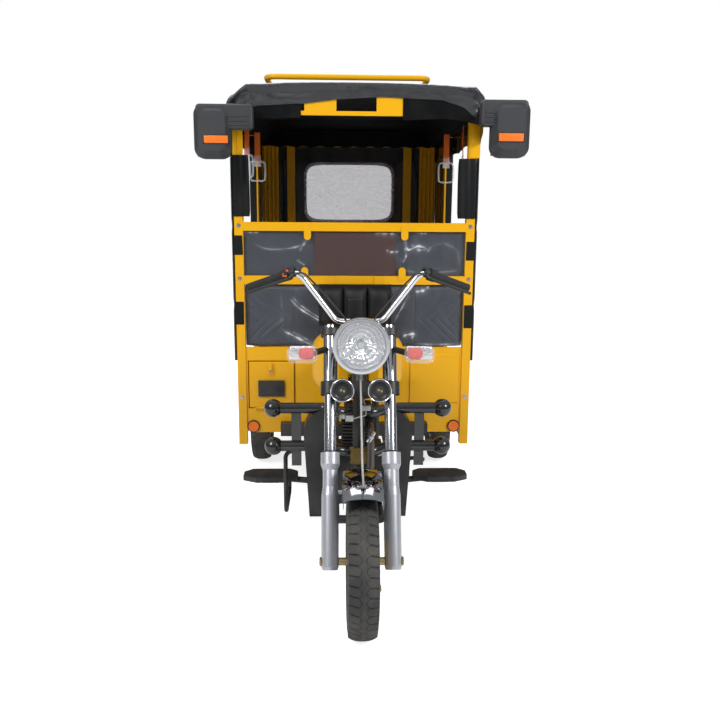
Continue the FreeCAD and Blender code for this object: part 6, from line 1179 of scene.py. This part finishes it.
def headlight_bowl():
    """Parabola behind the lens, broken into fans and rings, with a bulb cap, and the plated rim in front."""
    centre = np.array([middle("headlight_lens")[0], high("headlight_lens")[1], middle("headlight_lens")[2]])
    r, a = np.meshgrid(np.linspace(0.0, BOWL_RADIUS, 60)[1:], circle(288), indexing="ij")
    depth = BOWL_DEPTH * (1 - (r / BOWL_RADIUS) ** 2)
    fans = np.abs((a * BOWL_FANS / (2 * np.pi)) % 1.0 - 0.5)
    rings = np.abs((r * BOWL_RINGS) % 1.0 - 0.5)
    bowl = np.stack([r * np.cos(a), 0.004 + depth - 0.0042 * fans - 0.0030 * rings, r * np.sin(a)], axis=-1)
    rim_place = (centre[0], low("headlight")[1] + 0.0052, centre[2])
    for name, shape, material, smooth in (
            ("reflector", grid(centre + bowl, wrap_v=True), REFLECTOR_BOWL, 20.0),
            ("bulb_cap", lathe(BULB_CAP, centre, 40), CHROME, 30.0),
            ("rim", lathe(LAMP_RIM, rim_place, 96), CHROME, 50.0)):
        build("headlight_" + name, shape, "steering", material, "chrome", (), smooth)


def signal_dressing(name, side):
    """Faceted red inner lens near the stalk, a bright bowl behind the clear cover, and the stalk's sleeve."""
    x = side * SIGNAL_X
    inner, faces = rounded_block(SIGNAL_INNER, 0.0175, (x - side * 0.016, SIGNAL_Y + 0.022, SIGNAL_Z), 9)
    inner = inner + 0.0009 * np.sin(inner[:, :1] * 900.0) * np.sin(inner[:, 2:] * 900.0) * (0, 1, 0)
    build(name + "_inner", (inner, faces), "steering", SIGNAL_RED)
    bowl = rounded_block(SIGNAL_BOWL, 0.0095, (x, SIGNAL_Y + 0.036, SIGNAL_Z))
    build(name + "_bowl", bowl, "steering", REFLECTOR_BOWL)
    stalk = tube([(side * out, back, SIGNAL_Z) for out, back in STALK], (0.0085, 0.0115, 0.0115), 24)
    build(name + "_stalk", stalk, "steering", RUBBER_GRIP)


# Lining, flaps, sleeves and wraps of the cabin; places and sizes in metres

LINING_HALF = ((0.5605, 1.8985), (0.5300, 1.8985), (0.5290, 1.9120), (0.5160, 1.9290), (0.4930, 1.9660),
               (0.4700, 1.9990), (0.4400, 2.0050), (0.2200, 2.0085), (0.0, 2.0105))
LINING_FRONT, LINING_REAR = -0.222, 1.343
FRONT_HOOP, HOOP_GAP = -0.236, 0.533
REAR_FLAP_Y, REAR_FLAP_HALF, REAR_FLAP_TOP, REAR_FLAP_FOOT = 1.3425, 0.527, 1.998, 1.897

# Hand, inner and outer end in X of each front flap
FRONT_FLAPS = (("left", -0.243, -0.545), ("right", 0.203, 0.545))
FRONT_FLAP_Y, FRONT_FLAP_TOP, FRONT_FLAP_FOOT = -0.2487, 1.985, 1.886

# Hand, side, middle in X, half width, foot and top of each sleeve
SLEEVES = (("left", -1, 0.5270, 0.0365, 1.462, 1.738), ("right", 1, 0.5220, 0.0415, 1.458, 1.730))
SLEEVE_Y, SLEEVE_HALF_DEPTH = -0.1000, 0.0215

# Foot and top of the two short wraps on each side
FRONT_WRAPS = {-1: ((1.2855, 1.3756), (0.9565, 1.066)), 1: ((1.264, 1.352), (0.941, 1.052))}
WRAP_HALF_X, WRAP_HALF_Y, LONG_WRAP_HALF = 0.0210, 0.0185, (0.0170, 0.0175, 0.4250)
FRONT_POST, DOOR_POST = (0.5445, -0.1010), (0.5455, 0.6580, 1.4690)
CORNER_PLATES = (("right", (0.0235, 0.0014, 0.086), (0.5505, -0.1182, 1.819)),
                 ("left", (0.0135, 0.0014, 0.057), (-0.5270, -0.1182, 1.800)))
POST_BOLT_X, POST_BOLT_Y, POST_BOLTS_Z = 0.541, -0.1160, (1.4216, 1.1748, 0.6024)
BOLT_RADIUS = 0.0065


def roof_lining():
    """Dark lining under the rails and hoops: a section in x and z carried rearwards, hanging between the hoops."""
    section = np.vstack([np.array(LINING_HALF) * (-1, 1), LINING_HALF[-2::-1]])
    share = np.linspace(0, len(section) - 1, 120)
    x, z = (np.interp(share, np.arange(len(section)), values) for values in section.T)
    y = np.linspace(LINING_FRONT, LINING_REAR, 90)[:, None]
    top = np.clip((z - 1.98) / 0.02, 0, 1)
    drop = 0.010 * top * (0.3 + np.abs(np.sin((y - FRONT_HOOP) * np.pi / HOOP_GAP)))
    drop = drop + 0.002 * crumple(x[None, :], y, 30.0) * top
    points = np.stack([np.broadcast_to(x, drop.shape), np.broadcast_to(y, drop.shape), z - drop], axis=-1)
    piece = vinyl_piece("roof_lining", grid(points), VINYL_LINING)


def rear_flap():
    """Strip inside the rear wall, from the lining down to the window curtain, with a wavy foot."""
    u, w = lattice((-1, 1, 160), (0, 1, 24))
    top = REAR_FLAP_TOP - 0.05 * np.clip((np.abs(u) - 0.9) / 0.1, 0, 1)
    foot = REAR_FLAP_FOOT + 0.003 * np.sin(u * 31.0)
    y = REAR_FLAP_Y - 0.002 * w * np.abs(np.sin(u * 40.0))
    piece = vinyl_piece("rear_flap", grid(np.stack([u * REAR_FLAP_HALF, y, top + (foot - top) * w], axis=-1)),
                        VINYL_LINING)


def front_flap(hand, inner, outer):
    """Strip that hangs behind the front hem from inner to outer; its foot falls towards the side."""
    x, w = lattice((inner, outer, 160), (0, 1, 24))
    foot = FRONT_FLAP_FOOT + 0.003 * np.sin(x * 21.0) - 0.020 * np.clip((np.abs(x) - 0.40) / 0.145, 0, 1) ** 2
    top = FRONT_FLAP_TOP - 0.055 * np.clip((np.abs(x) - 0.47) / 0.075, 0, 1)
    folds = 0.0008 * np.sin(x * 34.0 + w * 1.5) * w + 0.0004 * np.sin(x * 90.0) * w
    face = np.stack([x, FRONT_FLAP_Y + folds, top + (foot - top) * w], axis=-1)
    piece = vinyl_piece("front_flap_" + hand, grid(face), VINYL_LINING)


def post_sleeve(hand, side, centre, half, foot, top):
    """Loose vinyl sleeve round a front post: a flattened loop with slanting folds, open at both ends."""
    angle = circle(120)[None, :]
    z = np.linspace(foot, top, 60)[:, None]
    across, along = squarish(angle, 8)
    loose = 0.0014 * np.sin(9 * angle + 6 * z) + 0.0016 * np.sin(4 * angle - 13 * z)
    ends = 1.0 - 0.05 * ridge(z - top, 0.02) - 0.06 * ridge(z - foot, 0.015)
    x = side * centre + (half * ends + loose * 0.5) * across
    y = SLEEVE_Y + (SLEEVE_HALF_DEPTH * ends + loose * 0.6) * along
    points = np.stack([x, y, np.broadcast_to(z, x.shape)], axis=-1)
    piece = vinyl_piece("post_sleeve_" + hand, grid(points, wrap_v=True), WRAP_BLACK)


def post_wraps(side, hand):
    """Tight, slightly rippled black wraps: two on the front post and a long one on the door post."""
    for number, (foot, top) in enumerate(FRONT_WRAPS[side]):
        half = np.array((WRAP_HALF_X, WRAP_HALF_Y, (top - foot) / 2))
        centre = np.array((side * FRONT_POST[0], FRONT_POST[1], (foot + top) / 2))
        points, faces = rounded_block(half, 0.004, centre, 10)
        points = points + 0.0007 * np.sin(points[:, 2:] * 260.0) * (points - centre) / half * (1, 1, 0)
        vinyl_piece(f"post_wrap_{hand}_{number}", (points, faces), WRAP_BLACK)
    points, faces = rounded_block(LONG_WRAP_HALF, 0.0045, (side * DOOR_POST[0], *DOOR_POST[1:]), 12)
    points = points + 0.0006 * np.sin(points[:, 2:] * 190.0 + 2 * np.sin(points[:, 2:] * 37.0)) * (1, 1, 0)
    vinyl_piece("door_wrap_" + hand, (points, faces), WRAP_BLACK)


def bolt_heads(name, places, way, radius, body):
    """Washers under six-sided heads, at each place along one direction."""
    washer = [(0.0, 0.0), (0.0, 1.55 * radius), (0.0014, 1.5 * radius), (0.0016, radius)]
    top = 0.7 * radius + 0.0016
    head = [(0.0014, radius), (0.55 * radius + 0.0014, radius), (top, 0.86 * radius), (top, 0.0)]
    shapes = []
    for place in places:
        shapes += [turned(washer, place, way, 24), turned(head, place, way, 6)]
    build(name, combined(*shapes), body, STEEL_BRIGHT, None, (), 25.0)


def post_fittings():
    """Yellow corner plates at the tops of the front posts, and the bolts down their faces."""
    for hand, half, place in CORNER_PLATES:
        build("corner_plate_" + hand, rounded_block(half, 0.0012, place), "chassis", YELLOW)
    places = [(side * POST_BOLT_X, POST_BOLT_Y, z) for side, _ in HANDS for z in POST_BOLTS_Z]
    bolt_heads("post_bolts", places, FORWARDS, BOLT_RADIUS, "chassis")


def film(name, foot, top, back, folds):
    """Clear film stretched over a panel: fine crinkles and listed folds that catch the light."""
    x, z = lattice((-FILM_HALF, FILM_HALF, 270), (foot, top, 76))
    fold = fold_field(x, z, folds)
    y = back - 0.0010 * crumple(x, z, 34.0) - 0.0030 * fold
    shape = grid(np.stack([x, y, z], axis=-1))
    piece = build(name, shape, "chassis", BULKHEAD_FILM, None, (), 60.0, merge=0.0)
    # The attribute fold also tells the film's material where to paint its white highlights.
    mark(piece, "fold", fold)


# Small pieces: a profile is (along, radius) rows; a block is its half sizes, round and place; all in metres

FORK_WAY = (0, 0.4226, 0.9063)
HORN_X, HORN_Y, HORN_Z = 0.068, -1.041, 0.850
HORN_RING = ((0.004, 0.0385), (-0.0015, 0.0395), (-0.0026, 0.0415), (-0.0012, 0.0438), (0.006, 0.0444),
             (0.010, 0.0440))
HORN_STEPS = ((0.0030, 0.0), (0.0030, 0.006), (0.0072, 0.011), (0.0058, 0.020), (0.0080, 0.027), (0.0045, 0.0325))
HORN_STUD = ((0.0032, 0.004), (0.0008, 0.004), (0.0002, 0.003), (0.0002, 0.0))
FORK_SEAL_X, FORK_SEAL_Y, FORK_SEAL_Z = 0.112, -1.0443, 0.6171
FORK_SEAL = ((-0.0012, 0.0228), (-0.0012, 0.0310), (0.0035, 0.0315), (0.0065, 0.0270), (0.0075, 0.0229))
PLUGS = (((0.0195, 0.007, 0.010), 0.0025, (0.020, -0.958, 0.764)),
         ((0.0150, 0.007, 0.011), 0.0025, (-0.040, -0.952, 0.722)),
         ((0.0110, 0.006, 0.008), 0.0020, (-0.068, -0.952, 0.729)))
LEADS = (((0.020, -0.952, 0.771), (0.012, -0.935, 0.790), (0.004, -0.930, 0.812)),
         ((-0.026, -0.950, 0.720), (0.000, -0.946, 0.727), (0.022, -0.944, 0.735), (0.016, -0.940, 0.770)),
         ((-0.078, -0.950, 0.732), (-0.086, -0.944, 0.760), (-0.060, -0.934, 0.800)))
LEAD_RADIUS = 0.0022
CAN_PLACE, CAN_WAY = (0.034, -0.872, 0.606), (0.55, -0.05, 0.83)
BUTTON_PLACE, BUTTON_WAY = (-0.277, -0.8055, 1.2625), (0, -0.6, 0.8)
CAP_PLACE = (0.086, -0.722, 0.520)
RIM_X, RIM_Y, RIM_Z = 0.490, -0.1160, 0.455
SWITCH_CAN = ((0.0, 0.0), (0.0, 0.0085), (0.004, 0.0105), (0.030, 0.0105), (0.033, 0.0075), (0.046, 0.0075),
              (0.046, 0.0))
BUTTON = ((0.0, 0.0), (0.0, 0.0062), (0.0035, 0.0058), (0.0050, 0.0040), (0.0050, 0.0))
SLIDE = (((0.0065, 0.0020, 0.0030), 0.0014, (-0.284, -0.8155, 1.2440)),
         ((0.0020, 0.0020, 0.0070), 0.0014, (-0.292, -0.8125, 1.2470)))
ENGINE_CAP = ((0.0, 0.0), (0.0, 0.019), (0.010, 0.019), (0.013, 0.015), (0.020, 0.015), (0.022, 0.012), (0.022, 0.0))
REFLECTOR_RIM = ((0.0005, 0.0255), (-0.0018, 0.0268), (-0.0020, 0.0290), (0.0, 0.0302), (0.0078, 0.0304))
HASP = (((0.0075, 0.0012, 0.017), 0.0010, (-0.402, -0.1262, 0.7560)),
        ((0.0110, 0.0012, 0.006), 0.0010, (-0.402, -0.1262, 0.7260)))
STAPLE_X, STAPLE_Y, STAPLE_Z = -0.402, -0.1285, 0.7330
STAPLE_HALF, STAPLE_HALF_HEIGHT, STAPLE_RADIUS = 0.0055, 0.0085, 0.0014
BARE_PLATE = ((0.063, 0.0005, 0.040), 0.0005, (-0.400, -0.1253, 0.647), 3)


def blocks(rows):
    """Rounded blocks as one shape."""
    return combined(*[rounded_block(*row) for row in rows])


def horn_dressing(side, hand):
    """Plated ring, stepped diaphragm and two studs of one horn."""
    face = (side * HORN_X, HORN_Y, HORN_Z)
    build("horn_ring_" + hand, turned(HORN_RING, face, REARWARDS, 72), "steering", CHROME, "chrome", (), 60.0)
    build("horn_diaphragm_" + hand, turned(HORN_STEPS, face, REARWARDS, 64), "steering", PLASTIC_BLACK, None, (), 30.0)
    places = [(face[0] - 0.004, HORN_Y, 0.851), (face[0] + 0.006, HORN_Y, 0.848)]
    studs = [turned(HORN_STUD, place, REARWARDS, 16) for place in places]
    build("horn_studs_" + hand, combined(*studs), "steering", ZINC)


def fork_and_wiring():
    """Seals over the fork legs, and the plugs with their short leads under the headlight."""
    seals = [turned(FORK_SEAL, (side * FORK_SEAL_X, FORK_SEAL_Y, FORK_SEAL_Z), FORK_WAY, 56) for side, _ in HANDS]
    build("fork_seals", combined(*seals), "steering", RUBBER_GRIP)
    build("wiring_plugs", blocks(PLUGS), "steering", PLUG_GREY)
    leads = [tube(smooth_path(lead, 30), LEAD_RADIUS, 8) for lead in LEADS]
    build("wiring", combined(*leads), "steering", CABLE_BLACK)


def switches():
    """Plated switch can on the frame; a red button and an orange slide on the left grip."""
    can = turned(SWITCH_CAN, CAN_PLACE, CAN_WAY, 36)
    build("switch_can", can, "chassis", CHROME, "chrome")
    button = turned(BUTTON, BUTTON_PLACE, BUTTON_WAY, 24)
    build("switch_button", button, "steering", SIGNAL_RED)
    build("switch_slide", blocks(SLIDE), "steering", ORANGE_WEB)


def engine_and_reflectors():
    """Round cap on the engine's front, and the rims of the two reflectors on the lower sheet."""
    build("engine_cap", turned(ENGINE_CAP, CAP_PLACE, FORWARDS, 40), "chassis", STEEL_BRIGHT)
    rims = [turned(REFLECTOR_RIM, (side * RIM_X, RIM_Y, RIM_Z), REARWARDS, 56) for side, _ in HANDS]
    build("reflector_rims", combined(*rims), "chassis", RUBBER_GRIP)


def box_door_dressing():
    """Hasp and staple of the toolbox door, and a bare plate where the real one has its notice."""
    build("box_hasp", blocks(HASP), "toolbox_lid", YELLOW)
    turn = np.linspace(0, 6.2, 24)
    loop = np.column_stack([STAPLE_X + STAPLE_HALF * np.sin(turn), np.full(len(turn), STAPLE_Y),
                            STAPLE_Z + STAPLE_HALF_HEIGHT * np.cos(turn)])
    build("box_staple", tube(loop, STAPLE_RADIUS, 8), "toolbox_lid", STEEL_BRIGHT)
    build("bare_plate", rounded_block(*BARE_PLATE), "toolbox_lid", BLACK_SATIN)


def foot_rubber(name, side):
    """Lattice of low ribs on a foot pad: crossed ridges over a plan that narrows at both ends."""
    inner, length, middle_y, half, surface = 0.266, 0.236, -0.407, 0.058, 0.3183
    ribs_per_metre, rib_width, rib_height = 62.0, 0.16, 0.0024
    u, w = lattice((0, 1, 120), (-1, 1, 60))
    x = inner + u * length
    width = half * np.clip(np.minimum(x - 0.262, 0.506 - x) / 0.060 + 0.42, 0, 1)
    y = middle_y + w * width
    first, second = (x + y) * ribs_per_metre, (x - y) * ribs_per_metre
    rib = np.maximum(*[ridge(np.abs(place - np.round(place)), rib_width) for place in (first, second)])
    z = surface + rib_height * np.clip(rib * 1.4, 0, 1) * np.clip((1 - np.abs(w)) * 30, 0, 1)
    build(name, grid(np.stack([side * x, y, z], axis=-1)), "chassis", RUBBER_GRIP, None, (), 50.0)


# Folds of the clear films: strength, width and the points of each, x and z in metres
# Along these folds the films' material paints white highlights.
LOWER_FOLDS = (
    (0.95, 0.0030, ((-0.306, 1.081), (-0.262, 1.036), (-0.200, 0.996), (-0.121, 0.951))),
    (0.80, 0.0024, ((-0.297, 1.091), (-0.252, 1.047), (-0.192, 1.006), (-0.115, 0.962))),
    (0.90, 0.0045, ((-0.342, 0.929), (-0.271, 0.893), (-0.200, 0.856))),
    (0.45, 0.0030, ((-0.300, 0.925), (-0.235, 0.890), (-0.190, 0.862))),
    (0.70, 0.0025, ((0.189, 0.973), (0.215, 1.022), (0.258, 1.102))),
    (0.75, 0.0070, ((0.285, 1.116), (0.318, 1.120), (0.356, 1.142))),
    (0.90, 0.0055, ((0.228, 0.897), (0.250, 0.909), (0.286, 0.911), (0.270, 0.890))),
    (0.55, 0.0030, ((0.281, 0.866), (0.400, 0.862), (0.515, 0.866))),
    (0.40, 0.0040, ((-0.199, 1.142), (0.000, 1.140), (0.153, 1.142))),
    (0.35, 0.0030, ((-0.500, 1.143), (-0.440, 1.141))),
    (0.10, 0.0080, ((-0.350, 1.130), (-0.345, 1.000), (-0.352, 0.900))),
)
UPPER_FOLDS = (
    (0.40, 0.0035, ((-0.476, 1.337), (-0.406, 1.312), (-0.319, 1.316), (-0.258, 1.329), (-0.232, 1.355))),
    (0.60, 0.0028, ((-0.275, 1.264), (-0.236, 1.238))),
    (0.50, 0.0030, ((-0.519, 1.391), (-0.441, 1.388))),
    (0.45, 0.0035, ((-0.262, 1.300), (-0.240, 1.335), (-0.222, 1.372))),
    (0.50, 0.0045, ((0.091, 1.388), (0.204, 1.385))),
    (0.60, 0.0040, ((0.143, 1.312), (0.170, 1.302), (0.208, 1.303))),
    (0.85, 0.0045, ((0.238, 1.355), (0.251, 1.312), (0.299, 1.329), (0.360, 1.312))),
    (0.45, 0.0060, ((0.262, 1.340), (0.300, 1.312), (0.345, 1.318))),
    (0.40, 0.0030, ((0.362, 1.335), (0.335, 1.290))),
    (0.60, 0.0030, ((0.232, 1.330), (0.242, 1.285), (0.225, 1.250))),
    (0.16, 0.0060, ((0.360, 1.329), (0.421, 1.342), (0.482, 1.307), (0.500, 1.230))),
    (0.50, 0.0030, ((0.291, 1.390), (0.343, 1.390))),
    (0.30, 0.0040, ((0.230, 1.215), (0.330, 1.205), (0.500, 1.215))),
)

# Name, foot, top, place in Y and folds of each film
FILM_HALF = 0.5195
FILMS = (("lower_film", 0.852, 1.146, -0.1172, LOWER_FOLDS),
         ("upper_film", 1.191, 1.395, -0.1036, UPPER_FOLDS))

# Put the pieces on the vehicle

tread_tyre("front_tread", "front_tyre", 13)
tread_tyre("rear_left_tread", "rear_tyre_left", 8)
tread_tyre("rear_right_tread", "rear_tyre_right", 8)
canopy_sheet()
roof_lining()
rear_flap()
for flap in FRONT_FLAPS:
    front_flap(*flap)
rear_curtain()
for side, hand in HANDS:
    side_curtain("side_curtain_" + hand, side)
    rolled_curtain("rolled_curtain_" + hand, side)
for sleeve in SLEEVES:
    post_sleeve(*sleeve)
for side, hand in HANDS:
    post_wraps(side, hand)
post_fittings()
pad("bulkhead_quilt", "bulkhead_cushion", VINYL_PANEL, quilted_front, (280, 84))
for sheet in FILMS:
    film(*sheet)
pad("backrest_rolls", "driver_backrest", VINYL_SEAT, three_rolls, (130, 72))
saddle()
bench()
for place, x, y, turn in STRAPS:
    hand_strap("strap_" + place, x, y, turn)
for side, hand in HANDS:
    mirror_dressing("mirror_" + hand, side)
    signal_dressing("signal_" + hand, side)
    horn_dressing(side, hand)
    foot_rubber("foot_rubber_" + hand, side)
headlight_bowl()
fork_and_wiring()
switches()
engine_and_reflectors()
box_door_dressing()
finish_nodes()
put_floor()
light_world()
hang_lamps()
place_camera()
bpy.context.scene.view_settings.view_transform = "Standard"
